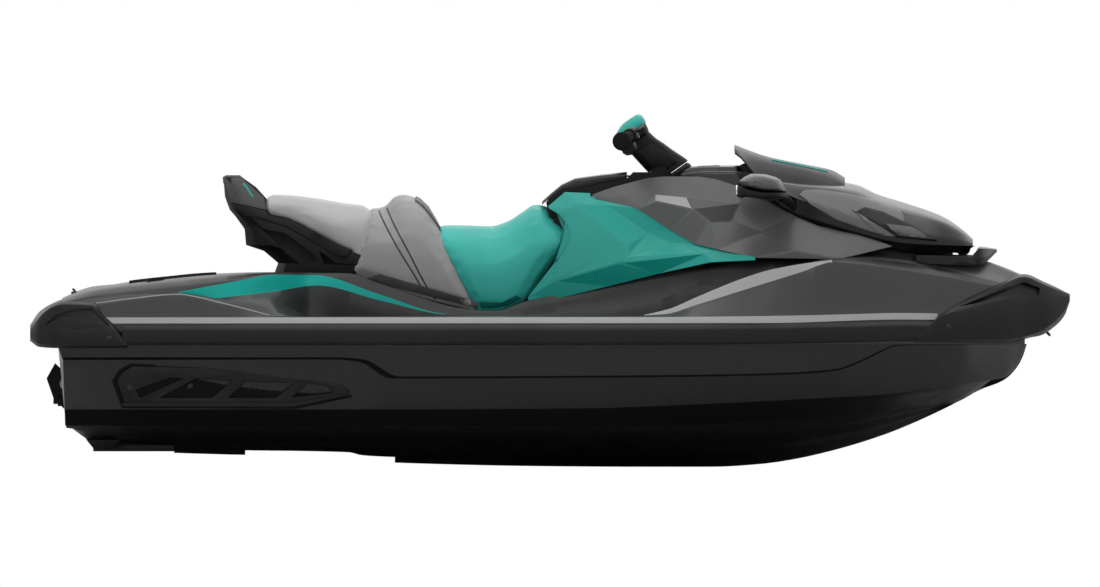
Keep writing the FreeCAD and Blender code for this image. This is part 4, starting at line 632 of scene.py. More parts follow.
# Each finish: its material's name, colour, roughness and the other settings of surface().
FINISH_TABLE = {
    # Black gelcoat moulded against a polished tool: a deep, even gloss that softens lights a little.
    "hull": ("black gelcoat", "#161719", 0.26, dict(spread=0.05, tint=0.06, mottling=0.6, specular=0.34)),
    # Flat black gelcoat of the planing surfaces, darker and duller than the sides: partly painted shade.
    "bottom": ("bottom gelcoat", "#050506", 0.42, dict(spread=0.06, tint=0.08, mottling=0.5, specular=0.08)),
    # Dark grey lacquered deck moulding, semi-gloss.
    "deck": ("dark deck lacquer", "#222324", 0.44, dict(spread=0.05, coat=0.15, tint=0.05, mottling=0.5,
        flake=0.15, specular=0.4)),
    # Grey metallic lacquer over moulded fairings: fine flakes under a clear coat.
    "grey": ("grey metallic lacquer", "#595B5A", 0.34, dict(spread=0.04, metallic=0.12, tint=0.04,
        mottling=0.6, flake=0.2, specular=0.35)),
    # Teal lacquer under a clear coat.
    "teal": ("teal lacquer", "#16A397", 0.3, dict(spread=0.04, tint=0.05, mottling=0.5, flake=0.1,
        specular=0.35)),
    # Printed teal film of the side stripe.
    "film": ("teal film", "#04A69B", 0.36, dict(spread=0.03, tint=0.03, mottling=0.4, specular=0.2)),
    # Black polypropylene with the fine grain of a spark-eroded mould.
    "plastic": ("grained black polypropylene", "#0D0D0E", 0.5, dict(spread=0.06, grain=0.00025,
        grain_size=0.0016, tint=0.1, mottling=0.3, specular=0.2)),
    # Polished black ABS.
    "gloss": ("polished black ABS", "#09090A", 0.2, dict(spread=0.04, tint=0.05, mottling=0.4,
        specular=0.25)),
    # Satin thermoplastic rubber of the bumpers and the rub rail.
    "rubber": ("satin bumper rubber", "#151516", 0.42, dict(spread=0.06, grain=0.00015, grain_size=0.0012,
        tint=0.08, mottling=0.35, specular=0.22)),
    # Closed-cell foam mat with a brushed face.
    "mat": ("foam mat", "#0E0E0F", 0.75, dict(spread=0.06, grain=0.0004, grain_size=0.0025, tint=0.15,
        mottling=0.12, specular=0.15)),
    # Silver-grey marine vinyl with a leather print, slightly shiny.
    "silver": ("silver marine vinyl", "#B2B2B2", 0.42, dict(VINYL, spread=0.07, metallic=0.1, mottling=0.22,
        specular=0.4)),
    # Charcoal marine vinyl of the bolster insets.
    "charcoal": ("charcoal marine vinyl", "#5A5A5B", 0.46, dict(VINYL, spread=0.06, mottling=0.2,
        specular=0.35)),
    # Teal marine vinyl with a leather print.
    "teal_vinyl": ("teal marine vinyl", "#2FB6AB", 0.42, dict(VINYL, spread=0.07, mottling=0.22,
        specular=0.4)),
    # Welt of the seat seams.
    "welt": ("seam welt vinyl", "#2C2D2E", 0.5, dict(grain=0.0002, grain_size=0.0012)),
    # Sand-cast and sealed aluminium alloy of the pump.
    "alloy": ("cast aluminium", "#A9ABAD", 0.42, dict(spread=0.08, metallic=1.0, grain=0.0003,
        grain_size=0.0018, tint=0.06, mottling=0.08, ior=1.5)),
    # Polished stainless steel.
    "steel": ("stainless steel", "#B9BBBD", 0.2, dict(spread=0.06, metallic=1.0, tint=0.03, mottling=0.06)),
    # Dark smoked acrylic of the windscreen, close to opaque.
    "acrylic": ("smoked acrylic", "#0F1011", 0.28, dict(spread=0.03, tint=0.04, mottling=0.3, ior=1.49,
        specular=0.15)),
    # Grey reflector insert.
    "lens": ("grey insert", "#3C3E3F", 0.2, dict(spread=0.04, metallic=0.5, tint=0.03, mottling=0.2,
        specular=0.4)),
    # Dark display glass.
    "display": ("display glass", "#0B0D10", 0.08, dict(spread=0.02, coat=0.3, tint=0.02, mottling=0.3)),
    # Silvered mirror glass.
    "mirror": ("silvered glass", "#E4E7E8", 0.03, dict(spread=0.01, metallic=1.0, tint=0.01, mottling=0.3)),
    # Pale studio floor paper.
    "floor": ("studio paper", "#E9E9E9", 0.85, dict(spread=0.05, tint=0.01, mottling=1.2)),
    # Grey marine vinyl with a leather print.
    "grey_vinyl": ("grey marine vinyl", "#999999", 0.44, dict(VINYL, spread=0.06, metallic=0.08,
        mottling=0.22, specular=0.4)),
    # Darker teal marine vinyl of the lower edge.
    "deep_teal": ("deep teal marine vinyl", "#0A756C", 0.46, dict(VINYL, spread=0.06, mottling=0.2,
        specular=0.3)),
    # Dark grey metallic lacquer of the tail; on a fairing facet the same grey is painted shade.
    "dark_grey": ("dark grey metallic lacquer", "#464745", 0.34, dict(spread=0.04, metallic=0.1, tint=0.04,
        mottling=0.5, flake=0.2, specular=0.3)),
    # Blackened stainless steel of the bolts.
    "dark_steel": ("blackened steel", "#262728", 0.36, dict(spread=0.05, metallic=0.5, tint=0.04,
        mottling=0.05, specular=0.3)),
    # Light grey painted highlight along the gunwale's ledge and the footwell's lip.
    "ledge": ("light ledge moulding", "#9C9C9C", 0.36, dict(spread=0.05, tint=0.05, mottling=0.5,
        specular=0.35)),
}


def dress(piece, finishes, body, nodes=(), angle=32):
    """Gives a piece its finishes, shades it, and ties it to its body and the nodes it stands for."""
    while len(piece.data.materials) < len(finishes):
        piece.data.materials.append(None)
    for index, name in enumerate(finishes):
        piece.data.materials[index] = finish(name)
    shade(piece, angle)
    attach(piece, body)
    if nodes:
        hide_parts(*nodes)
    return piece


# Hull

# The transom in side view: (level, station).
STERN_PROFILE = [
    (0, 6.4), (1.6, 6.4), (2.4, 6.0), (3.6, 5.2), (3.9, 3.5), (6.1, 3.45), (6.3, 4.2), (9.3, 3.9),
    (11.8, 2.8), (12.3, 2.7),
]
STERN_REACH = 9.0

# The keel line: (station, level).
KEEL = [
    (3.2, 1.6), (6.5, 1.62), (10.9, 1.5), (19.7, 1.23), (31.9, 0.97), (33.2, 0.62), (36.9, 0.4), (52.3, 0.05),
    (60.9, 0), (68.2, 0), (73.3, 0.3), (76.3, 0.74), (80.9, 1.8), (85.65, 3.3), (88.6, 4.5), (91.8, 6.0),
    (95, 7.7), (97.5, 8.75), (98.8, 10.1), (99.4, 11.3), (99.7, 12.3),
]

# Chines and side steps: (station, share of the half breadth, level).
CHINE_LOW = [
    (3.2, 0.78, 4.15), (32, 0.79, 4.15), (55, 0.77, 4.1), (66.5, 0.7, 4.2), (74, 0.61, 4.65),
    (80.5, 0.48, 5.05), (85, 0.35, 5.5), (89.5, 0.14, 6.15), (91.8, 0.012, 6.25), (95, 0.01, 7.8),
    (99.7, 0.008, 12.28),
]
CHINE_TOP = [
    (3.2, 0.835, 5.75), (32, 0.845, 5.75), (55, 0.83, 5.85), (66.5, 0.785, 6.25), (74, 0.72, 6.6),
    (80.5, 0.635, 6.95), (85, 0.555, 7.2), (90, 0.42, 7.85), (94.5, 0.25, 8.5), (97.5, 0.09, 8.95),
    (98.8, 0.03, 10.3), (99.7, 0.012, 12.29),
]
STEP_LOW = [
    (3.2, 0.958, 10.7), (30.6, 0.968, 10.75), (32.9, 0.966, 10.5), (36.1, 0.957, 8.85), (60, 0.955, 8.95),
    (75, 0.935, 9.2), (80.5, 0.92, 9.6), (82.9, 0.925, 10.4), (85.2, 0.955, 11.5), (86.6, 0.975, 12.1),
    (90, 0.965, 12.2), (95, 0.93, 12.22), (98, 0.85, 12.24), (99.7, 0.5, 12.26),
]
STEP_HIGH = [
    (3.2, 0.985, 10.95), (30.6, 0.985, 10.95), (33.4, 0.984, 10.75), (36.9, 0.972, 9.05), (60, 0.97, 9.15),
    (75, 0.953, 9.4), (80.5, 0.938, 9.8), (82.9, 0.945, 10.6), (85.2, 0.972, 11.7), (86.6, 0.985, 12.2),
    (90, 0.972, 12.25), (95, 0.935, 12.26), (98, 0.86, 12.27), (99.7, 0.52, 12.28),
]
HULL_TOP = 12.3
STERN_END = 3.2
BOW_END = 99.7
TUNNEL_HALF = 0.075
BAY_HALF = 0.148
BAY_TOP = 12.0
SHAFT_BORE = 0.019


def keel_column(share, lift=0.0):
    """Table of a line on the bottom at a share of the way from the keel to the low chine."""
    rows = []
    for station, level in KEEL:
        half, chine = curve(CHINE_LOW, station)[0]
        rows.append((station, half * share, level + (chine - level) * (share + lift)))
    return rows


# Lines on the bottom: (share of the way to the low chine, lift).
STRAKES = ((0, 0), (0.4, 0.0), (0.45, -0.035), (0.72, 0.0), (0.77, -0.035))
SIDE_TOP = [(3.2, 1, HULL_TOP - 0.05), (99.7, 1, HULL_TOP - 0.01)]
TOP_MIDDLE = [(3.2, 0, HULL_TOP), (99.7, 0, HULL_TOP)]
PINCH_LENGTH = 6.0


def hull_grid(stations):
    """Hull sections from the keel up the side and back to the centreline, in metres."""
    bottom = [keel_column(share, lift) for share, lift in STRAKES]
    wide = columns_grid(bottom + [CHINE_LOW, CHINE_TOP], stations, beam_width)
    narrow = columns_grid([STEP_LOW, STEP_HIGH, SIDE_TOP, TOP_MIDDLE], stations)
    narrow[:, :, 1] *= (np.clip((BOW_END - np.array(stations)) / PINCH_LENGTH, 0.02, 1) ** 0.5)[:, None]
    return np.concatenate((wide, narrow), axis=1)


def shape_stern(grid):
    """Leans the transom as its profile says, fading out forward."""
    levels = (grid[:, :, 2] + DRAUGHT) / LEVEL
    stations = (grid[:, :, 0] + HULL_LENGTH / 2) / STATION
    want = np.interp(levels, *zip(*STERN_PROFILE))
    fade = np.clip(1 - (stations - STERN_END) / STERN_REACH, 0, 1)
    grid[:, :, 0] += (want - STERN_END) * STATION * fade
    return grid


def pump_room():
    """Tools that open the pump bay, the intake and the shaft bore."""
    pump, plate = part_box("pump_housing"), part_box("ride_plate")
    grate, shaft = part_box("intake_grate"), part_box("drive_shaft")
    bay = block("bay", (pump[0].x - 0.2, -BAY_HALF, plate[0].z - 0.2), (pump[1].x, BAY_HALF, height(BAY_TOP)))
    axis_z = (shaft[0].z + shaft[1].z) / 2
    rear, floor, below = pump[1].x - 0.001, grate[1].z, height(-2)
    outline = [(rear, axis_z + TUNNEL_HALF), (grate[0].x, axis_z + TUNNEL_HALF), (grate[1].x, floor),
               (grate[1].x, below), (grate[0].x, below), (grate[0].x, floor), (rear, axis_z - TUNNEL_HALF)]
    tunnel = solid("tunnel", [[(x, y, z) for x, z in outline] for y in (-TUNNEL_HALF, TUNNEL_HALF)])
    bore = tube("bore", [(pump[1].x, 0, axis_z), (shaft[1].x + 0.02, 0, axis_z)], SHAFT_BORE, sides=20)
    return bay, tunnel, bore


HULL_STATIONS = spread((3.2, 30, 30), (30.6, 37.5, 16), (39, 79, 30), (80, 94, 26), (94.5, 99.7, 16))
HULL_STEPS = (3, 1, 3, 1, 3, 3, 6, 1, 4, 1)
# Downward strips: the bottom, the chine flats and the side step's underside, darkened as painted shade.
SHADED_UNDERSIDE_STRIPS = (0, 1, 2, 3, 4, 5, 7)


def build_hull():
    """Lower hull with strakes, chines, the stepped side and the open pump bay."""
    grid, strips = refine(shape_stern(hull_grid(HULL_STATIONS)), HULL_STEPS)
    shell = grid_object("hull_shell", grid, strips, dict.fromkeys(SHADED_UNDERSIDE_STRIPS, 1))
    bevel(shell, EDGE_ROUND, angle=14)
    cut(shell, *pump_room())
    dress(shell, ("hull", "bottom"), "craft", ("hull",))


# Deck

# Columns from under the rail over the gunwale and footwell to the centreline, each of rows
# (station, share of the half breadth, level).
DECK_COLUMNS = [
    [(3.2, 0, 12.27), (99.5, 0, 12.27)],
    [(3.2, 1, 12.27), (99.5, 1, 12.27)],
    [(3.2, 1, 14.35), (74, 1, 14.4), (87, 1, 14.75), (99.5, 1, 14.6)],
    [(3.2, 0.975, 14.95), (62, 0.975, 15.0), (74, 0.972, 15.1), (81, 0.97, 15.25), (87, 0.968, 15.4),
     (91, 0.96, 15.35), (99.5, 0.95, 15.3)],
    [(3.2, 0.95, 15.75), (6.4, 0.955, 16.1), (14.8, 0.955, 17.15), (18.9, 0.957, 16.3), (23.9, 0.955, 15.1),
     (28, 0.9, 15.05), (45, 0.89, 15.1), (60, 0.89, 15.12), (63.5, 0.885, 15.3), (66.9, 0.875, 16.3),
     (71.2, 0.86, 17.65), (77, 0.84, 19.45), (80.4, 0.83, 20.5), (81.9, 0.82, 20.4), (89.2, 0.8, 19.4),
     (96, 0.76, 18.15), (99.5, 0.74, 17.4)],
    [(3.2, 0.93, 15.9), (6.4, 0.94, 16.4), (14.8, 0.945, 17.3), (18.9, 0.94, 16.7), (23.9, 0.93, 15.6),
     (28, 0.885, 14.9), (45, 0.875, 15.0), (60, 0.875, 15.1), (63.5, 0.865, 15.7), (66.9, 0.845, 17.1),
     (71.2, 0.82, 18.85), (74.3, 0.81, 19.8), (80.4, 0.8, 20.75), (81.9, 0.77, 20.9), (89.2, 0.71, 20.2),
     (96, 0.66, 18.7), (99.5, 0.62, 17.8)],
    [(3.2, 0.91, 16.0), (6.4, 0.92, 16.7), (14.8, 0.935, 17.35), (18.9, 0.93, 16.8), (23.9, 0.91, 16.0),
     (26, 0.88, 14.7), (28, 0.865, 13.4), (31.8, 0.855, 12.9), (62, 0.855, 12.9), (66.5, 0.85, 12.95),
     (71.2, 0.82, 13.6), (74, 0.79, 17.0), (77, 0.76, 20.0), (80.5, 0.755, 20.9), (85, 0.68, 21.0),
     (90, 0.62, 20.5), (96, 0.56, 19.1), (99.5, 0.5, 18.1)],
    [(3.2, 0.89, 16.1), (6.4, 0.905, 16.9), (14.8, 0.925, 17.4), (18.9, 0.92, 16.85), (23.9, 0.86, 16.6),
     (26, 0.62, 15.9), (28, 0.44, 15.0), (31.8, 0.37, 12.9), (55, 0.37, 12.9), (62, 0.375, 12.9),
     (66.5, 0.41, 12.95), (71.2, 0.5, 13.8), (74, 0.62, 17.4), (77, 0.7, 20.2), (80.5, 0.7, 21.0),
     (85, 0.6, 21.4), (90, 0.53, 20.9), (96, 0.46, 19.5), (99.5, 0.42, 18.35)],
    [(3.2, 0.88, 16.2), (8.1, 0.9, 17.0), (14.6, 0.92, 17.45), (15.9, 0.915, 16.97), (18, 0.912, 16.85),
     (21, 0.88, 17.15), (24.4, 0.7, 17.55), (28.7, 0.41, 18.15), (35, 0.372, 16.65), (41.6, 0.366, 15.24),
     (47, 0.362, 15.0), (55, 0.36, 15.6), (62, 0.37, 16.5), (66.5, 0.405, 18), (71.2, 0.49, 18.5),
     (74, 0.6, 19.2), (77, 0.66, 20.5), (80.5, 0.66, 21.1), (85, 0.55, 21.6), (90, 0.48, 21.1),
     (96, 0.38, 19.9), (99.5, 0.36, 18.6)],
    [(3.2, 0.875, 16.3), (8.1, 0.895, 17.1), (14.6, 0.917, 17.52), (18, 0.9, 18.1), (21, 0.86, 18.65),
     (24.4, 0.68, 19.22), (28.4, 0.387, 19.2), (35, 0.365, 17.25), (41.6, 0.364, 15.3), (47, 0.36, 15.08),
     (55, 0.358, 15.7), (62, 0.368, 16.6), (66.5, 0.403, 18.1), (71.2, 0.488, 18.6), (74, 0.598, 19.3),
     (77, 0.655, 20.55), (80.5, 0.655, 21.15), (85, 0.545, 21.65), (90, 0.47, 21.15), (96, 0.37, 19.95),
     (99.5, 0.35, 18.65)],
    [(3.2, 0.865, 16.45), (6.5, 0.88, 17.15), (9.5, 0.89, 17.5), (14.65, 0.905, 18.07), (18.9, 0.885, 18.55),
     (21, 0.85, 18.85), (24.4, 0.66, 19.35), (28.4, 0.38, 19.4), (31.8, 0.352, 19.35), (34.9, 0.35, 18.35),
     (44.7, 0.35, 15.65), (46.8, 0.35, 15.6), (49.1, 0.35, 16.4), (54.7, 0.35, 17.6), (62.4, 0.36, 19.5),
     (67.5, 0.41, 20.4), (71.2, 0.48, 20.6), (74, 0.58, 20.6), (77, 0.62, 20.75), (80.5, 0.62, 21.2),
     (85, 0.5, 21.8), (86.6, 0.48, 21.95), (90, 0.42, 21.3), (95.4, 0.3, 20.55), (98, 0.28, 19.6),
     (99.5, 0.26, 18.9)],
    [(3.2, 0.75, 16.75), (6.5, 0.77, 17.7), (9.5, 0.78, 18.1), (14.65, 0.79, 18.7), (18.9, 0.78, 19.1),
     (24.4, 0.56, 19.45), (28.4, 0.34, 19.47), (31.8, 0.33, 19.4), (34.9, 0.33, 18.4), (44.7, 0.33, 15.7),
     (46.8, 0.33, 15.65), (49.1, 0.33, 16.45), (54.7, 0.33, 17.65), (62.4, 0.34, 19.55), (67.5, 0.38, 20.45),
     (71.2, 0.44, 20.7), (77, 0.5, 20.9), (80.5, 0.5, 21.3), (85, 0.4, 21.9), (86.6, 0.4, 22.0),
     (90, 0.34, 21.35), (95.4, 0.2, 20.6), (98, 0.18, 19.7), (99.5, 0.18, 19.0)],
    [(3.2, 0, 16.9), (5.3, 0, 17.8), (6.5, 0, 18.1), (8.1, 0, 18.25), (10.5, 0, 18.6), (14.2, 0, 19.0),
     (17.4, 0, 19.3), (24.4, 0, 19.5), (31.8, 0, 19.45), (34.9, 0, 18.45), (44.7, 0, 15.7), (46.8, 0, 15.7),
     (49.1, 0, 16.5), (54.7, 0, 17.7), (62.4, 0, 19.6), (67.5, 0, 20.5), (71.2, 0, 20.8), (80.5, 0, 21.35),
     (85, 0, 21.95), (86.6, 0, 22.05), (90, 0, 21.4), (95.4, 0, 20.65), (98, 0, 19.75), (99.5, 0, 19.1)],
]

# Strips of the deck that take another finish, and the stations between which they do.
STRIPE_STRIP = 8
STRIPE_ENDS = (14.65, 41.6)
# The ledge strip and the lip strip take a light grey painted highlight.
LEDGE_STRIP = 2
LEDGE_ENDS = (7.0, 91.0)
LIP_STRIP = 4
LIP_ENDS = (61.5, 80.4)
FOREDECK_STRIP = 5
FOREDECK_ENDS = (81.9, 99.6)
CREASE = [(6.6, 16.35), (10, 16.8), (14.8, 17.25), (16.8, 16.95), (18.9, 16.45), (21.5, 15.8), (23.9, 15.15)]
SOCKET_RADIUS = 0.0306
DECK_STATIONS = spread((3.2, 24, 42), (24.4, 32, 20), (33, 60, 36), (61, 82, 48), (82.5, 99.5, 36))
DECK_STEPS = (1, 1, 1, 4, 2, 2, 4, 3, 3, 2, 2, 3)
SEAM = 0.0006
BIN_TOOL_TOP = 0.7


def anchor_sockets(radius):
    """Upright tools at the two accessory anchors."""
    low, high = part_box("accessory_anchors")
    x, y = (low.x + high.x) / 2, high.y - (high.x - low.x) / 2
    return [tube("socket", [(x, side, low.z), (x, side, high.z + 0.1)], radius, sides=32) for side in (-y, y)]


def build_deck():
    """Deck moulding: gunwales, haunches with their stripe, footwells, platform and foredeck."""
    grid, strips = refine(columns_grid(DECK_COLUMNS, DECK_STATIONS), DECK_STEPS, soft=(10, 11))
    slots = dict.fromkeys(range(FOREDECK_STRIP, len(DECK_COLUMNS)), 4)
    slots.update({STRIPE_STRIP: 1, LEDGE_STRIP: 2, LIP_STRIP: 3})
    shell = grid_object("deck_moulding", grid, strips, slots)
    for polygon in shell.data.polygons:
        station = (polygon.center.x + HULL_LENGTH / 2) / STATION
        found = polygon.material_index
        ends = (None, STRIPE_ENDS, LEDGE_ENDS, LIP_ENDS, FOREDECK_ENDS)[found]
        if found and not ends[0] < station < ends[1]:
            polygon.material_index = 3 if found == 1 and station > FOREDECK_ENDS[0] else 0
        elif found > 2:
            polygon.material_index = found - 1
    bevel(shell, 0.0035, angle=20)
    low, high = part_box("storage_bin")
    margin = Vector((SEAM, SEAM, 0))
    pocket = block("pocket", low - margin, Vector((high.x, high.y, BIN_TOOL_TOP)) + margin)
    cut(shell, pocket, *anchor_sockets(SOCKET_RADIUS))
    # The crease bead takes the light grey painted highlight.
    piece = joined("deck_shell", [shell, pair(drape("crease", shell, CREASE, 0.0026, sink=0.5), 2)])
    dress(piece, ("deck", "film", "ledge", "grey"), "craft", ("deck",))


# Rails and bumpers

RAIL_LIFT = [(3, 0), (62, 0), (81, 0.2), (87, 0.35), (93, 0.3)]

# Section of the rail: (metres out from the gunwale, level).
RAIL_SECTION = [
    (-0.004, 14.25), (0.008, 14.22), (0.021, 13.85), (0.024, 13.7), (0.024, 12.55), (0.019, 12.3),
    (0.004, 12.22), (-0.004, 12.22),
]


def build_rails():
    """Rub rails: a ledge that catches the light over a flat black face."""
    stations = spread((9.2, 90.3, 90))
    breadth, rise = gunwale(stations), curve(RAIL_LIFT, stations)[:, 0]
    grid = np.zeros((len(stations), len(RAIL_SECTION), 3))
    for index, (out, level) in enumerate(RAIL_SECTION):
        grid[:, index] = np.column_stack((along(stations), breadth + out, height(level + rise)))
    rail = mirrored_copy(solid("rub_rail_pair", grid))
    bevel(rail, SMALL_ROUND, angle=20)
    dress(rail, ("rubber",), "craft", ("rub_rails",))


def rail_width(station):
    """Half-breadth over the rub rails at stations, in metres."""
    return gunwale(station) + RAIL_THICKNESS


SCALLOP_MESH = 0.012

# Columns of (station, share of the half breadth, level), from the underside up to the middle.
STERN_BUMPER = [
    [(0, 0, 12.6), (0.9, 0, 12.0), (2.7, 0, 11.88), (9.7, 0, 11.9)],
    [(0, 0.8, 12.6), (0.9, 0.93, 12.0), (2.7, 0.965, 11.88), (9.7, 0.97, 11.9)],
    [(0, 0.93, 12.9), (0.9, 0.985, 12.35), (2.7, 1, 12.2), (9.7, 1, 12.15)],
    [(0, 0.95, 13.6), (0.9, 1, 14.0), (2.7, 1, 14.1), (6.5, 1, 14.1), (8.1, 1, 13.8), (9.7, 0.99, 12.5)],
    [(0, 0.92, 13.9), (0.9, 0.985, 14.9), (1.3, 0.985, 15.35), (2.3, 0.985, 16.0), (3.4, 0.98, 16.25),
     (6.4, 0.975, 16.1), (7.3, 0.98, 14.95), (8.1, 0.985, 14.2), (9.7, 0.98, 12.65)],
    [(0, 0.8, 14.0), (0.9, 0.9, 15.1), (2.3, 0.93, 16.2), (3.4, 0.93, 16.5), (6.4, 0.93, 16.4),
     (7.3, 0.95, 15.2), (8.1, 0.96, 14.5), (9.7, 0.965, 12.8)],
    [(0, 0, 14.2), (0.9, 0, 15.5), (2.3, 0, 16.4), (3.4, 0, 16.8), (6.4, 0, 16.9), (7.3, 0, 15.6),
     (9.7, 0, 13)],
]
STERN_SCALLOP = [
    (1.5, 14.25), (2.8, 15.3), (4.3, 15.75), (6.2, 15.85), (7.3, 14.8), (8.0, 14.1), (4.5, 13.75),
]
STERN_FIN = [(1.3, 14.2), (3.3, 15.0), (5.2, 14.95), (8.1, 14.12), (5.2, 13.7), (3.3, 13.75)]


def build_stern_bumper():
    """Black bumper across the stern, scalloped at its sides with a lens-shaped fin in each scallop."""
    grid = columns_grid(STERN_BUMPER, spread((0, 1.2, 8), (1.5, 9.7, 28)), rail_width)
    shell = grid_object("stern_bumper_shell", refine(grid, (2, 2, 2, 3, 2, 4), soft=(2, 3))[0])
    fin = panel_on("fin", shell, STERN_FIN, -0.002, 0.02, SCALLOP_MESH)
    recess(shell, STERN_SCALLOP, 0.009, SCALLOP_MESH)
    bevel(shell, FULL_ROUND, angle=24)
    bevel(fin, SMALL_ROUND, angle=30)
    piece = joined("stern_bumper_skin", [shell, mirrored_copy(fin)])
    dress(piece, ("rubber",), "craft", ("stern_bumper",))


# Columns of (station, share of the half breadth, level), from the underside up to the middle.
BOW_BUMPER = [
    [(88.7, 0, 12.3), (90, 0, 12.3), (98, 0, 12.3), (99.9, 0, 12.9), (101.1, 0, 13.15), (102.3, 0, 13.9),
     (103.5, 0, 15.2), (104, 0, 16.6)],
    [(88.7, 0.97, 12.5), (90, 0.96, 12.45), (98, 0.9, 12.4), (99.9, 0.85, 12.95), (101.1, 0.8, 13.2),
     (102.3, 0.75, 13.95), (103.5, 0.7, 15.3), (104, 0.6, 16.65)],
    [(88.7, 1, 12.65), (90, 1, 12.7), (98, 1, 12.8), (101.1, 1, 13.6), (102.3, 1, 14.4), (103.5, 1, 15.7),
     (104, 1, 16.75)],
    [(88.7, 1, 13.1), (90, 1, 14.0), (91, 1, 15.0), (94.5, 1, 15.6), (98, 1, 16.2), (101.1, 1, 16.6),
     (103.5, 1, 16.9), (104, 1, 17.0)],
    [(88.7, 0.97, 13.3), (90.4, 0.965, 14.6), (91, 0.955, 15.2), (94, 0.9, 16.7), (96.9, 0.84, 18.05),
     (99.4, 0.78, 19.0), (101.5, 0.8, 18.2), (104, 0.8, 17.2)],
    [(88.7, 0.9, 13.4), (90.4, 0.88, 14.8), (94, 0.8, 17.0), (96.9, 0.7, 18.3), (99.4, 0.6, 19.2),
     (101.5, 0.55, 18.4), (104, 0.5, 17.3)],
    [(88.7, 0, 13.5), (96.9, 0, 18.4), (99.4, 0, 19.3), (101.5, 0, 18.5), (104, 0, 17.3)],
]
BOW_SCALLOP = [
    (92.8, 16.0), (96.5, 16.75), (100.9, 17.2), (101.0, 17.9), (99.4, 18.5), (97.2, 17.7), (94.6, 16.7),
]


def build_bow_bumper():
    """Black bumper round the bow, with a scallop in each side."""
    grid = columns_grid(BOW_BUMPER, spread((88.7, 99, 36), (99.2, 104, 24)), rail_width)
    shell = grid_object("bow_bumper_shell", refine(grid, (2, 1, 3, 4, 1, 4), soft=(2, 3))[0])
    recess(shell, BOW_SCALLOP, 0.015, SCALLOP_MESH)
    bevel(shell, FULL_ROUND, angle=24)
    dress(shell, ("rubber",), "craft", ("bow_bumper",))


# Side outlines of (station, level).
SPONSON = [
    (8.5, 8.6), (9.1, 9.5), (10.1, 10.1), (16.8, 9.95), (23.8, 9.6), (29.4, 9.15), (31.6, 8.0), (32.2, 7.4),
    (31.9, 7.1), (26.5, 5.95), (16.9, 6.0), (9.4, 6.0),
]
SPONSON_SLOTS = [
    [(11.0, 6.9), (10.6, 7.7), (14.0, 8.9), (15.2, 8.8)],
    [(13.0, 6.9), (16.6, 8.8), (20.2, 8.6), (18.2, 6.9)],
    [(19.8, 6.9), (21.6, 8.5), (26.4, 8.4), (24.6, 6.9)],
    [(26.2, 6.95), (27.8, 8.35), (29.6, 8.1), (30.3, 7.4)],
]
# A black plate behind each sponson, larger than it, paints the shadow round its edge.
SPONSON_SHADOW = [
    (8.2, 8.6), (8.9, 9.7), (10.0, 10.3), (16.8, 10.15), (23.8, 9.8), (29.5, 9.35), (31.9, 8.1), (32.5, 7.4),
    (32.1, 6.95), (26.6, 5.8), (16.9, 5.85), (9.2, 5.85),
]
SPONSON_BLADE = [(9.2, 6.0), (26.4, 5.95), (31.4, 7.05), (31.6, 7.3), (26.3, 6.4), (9.2, 6.4)]
SPONSON_IN = -0.5
SPONSON_OUT = 0.556
SLOT_SIDES = (-0.6, -0.535)
SLOT_SHADE_FLOOR = -0.5445


def build_sponsons():
    """Sponsons on the hull's sides, with slots between their ribs and a blade along the foot."""
    body = prism("sponson", SPONSON, SPONSON_IN, -SPONSON_OUT, inset=0.985)
    cut(body, *[prism("slot", outline, *SLOT_SIDES) for outline in SPONSON_SLOTS])
    bevel(body, EDGE_ROUND, angle=30)
    # Black plates on the slots' floors paint the shade inside the slots.
    dark = [prism("floor", outline, SPONSON_IN, SLOT_SHADE_FLOOR) for outline in SPONSON_SLOTS]
    dark.append(prism("shadow", SPONSON_SHADOW, SPONSON_IN, -0.544))
    blade = bevel(prism("blade", SPONSON_BLADE, -0.52, -SPONSON_OUT - 0.005), SMALL_ROUND)
    piece = joined("sponson_pair", [mirrored_copy(body), mirrored_copy(blade), pair(joined("dark", dark), 1)])
    dress(piece, ("plastic", "bottom"), "craft", ("sponsons",))


# Seats

SEAT_HALF = 0.200
RIB_STEPS = 5
WELT_RADIUS = 0.0028

# Half section of a cushion: (share of its half-width, share of its height).
SEAT_SECTION = [
    (0.93, 0), (0.985, 0.1), (1, 0.25), (1, 0.45), (0.975, 0.62), (0.91, 0.78), (0.8, 0.89), (0.64, 0.955),
    (0.36, 0.988), (0, 1),
]

# Ribs of the cushions: (station, level) of the foot and of the crown.
PASSENGER_RIBS = [
    ((23.9, 25.2), (23.5, 27.1)), ((26.0, 24.6), (26.0, 27.0)), ((28.4, 23.3), (28.8, 26.65)),
    ((30.7, 21.9), (31.4, 26.2)), ((32.4, 20.9), (33.9, 25.85)), ((32.1, 20.1), (34.55, 24.9)),
    ((31.7, 19.3), (34.95, 23.4)),
]
MIDDLE_RIBS = [
    ((31.9, 19.0), (34.1, 25.75)), ((34.9, 18.0), (34.8, 25.72)), ((37.0, 17.25), (35.6, 25.95)),
    ((38.8, 16.8), (36.6, 26.95)), ((40.4, 16.4), (37.4, 27.2)), ((41.9, 16.05), (38.3, 27.1)),
    ((43.4, 15.7), (39.2, 26.3)), ((44.8, 15.35), (40.4, 24.35)),
]
DRIVER_RIBS = [
    ((44.7, 15.35), (40.2, 24.0)), ((45.9, 15.3), (43.0, 24.0)), ((46.9, 15.35), (45.9, 23.9)),
    ((47.7, 15.6), (47.7, 24.35)), ((48.5, 16.0), (49.4, 25.4)), ((49.4, 16.5), (50.9, 26.3)),
    ((51.0, 19.0), (52.3, 25.3)), ((52.7, 21.4), (53.7, 23.9)),
]


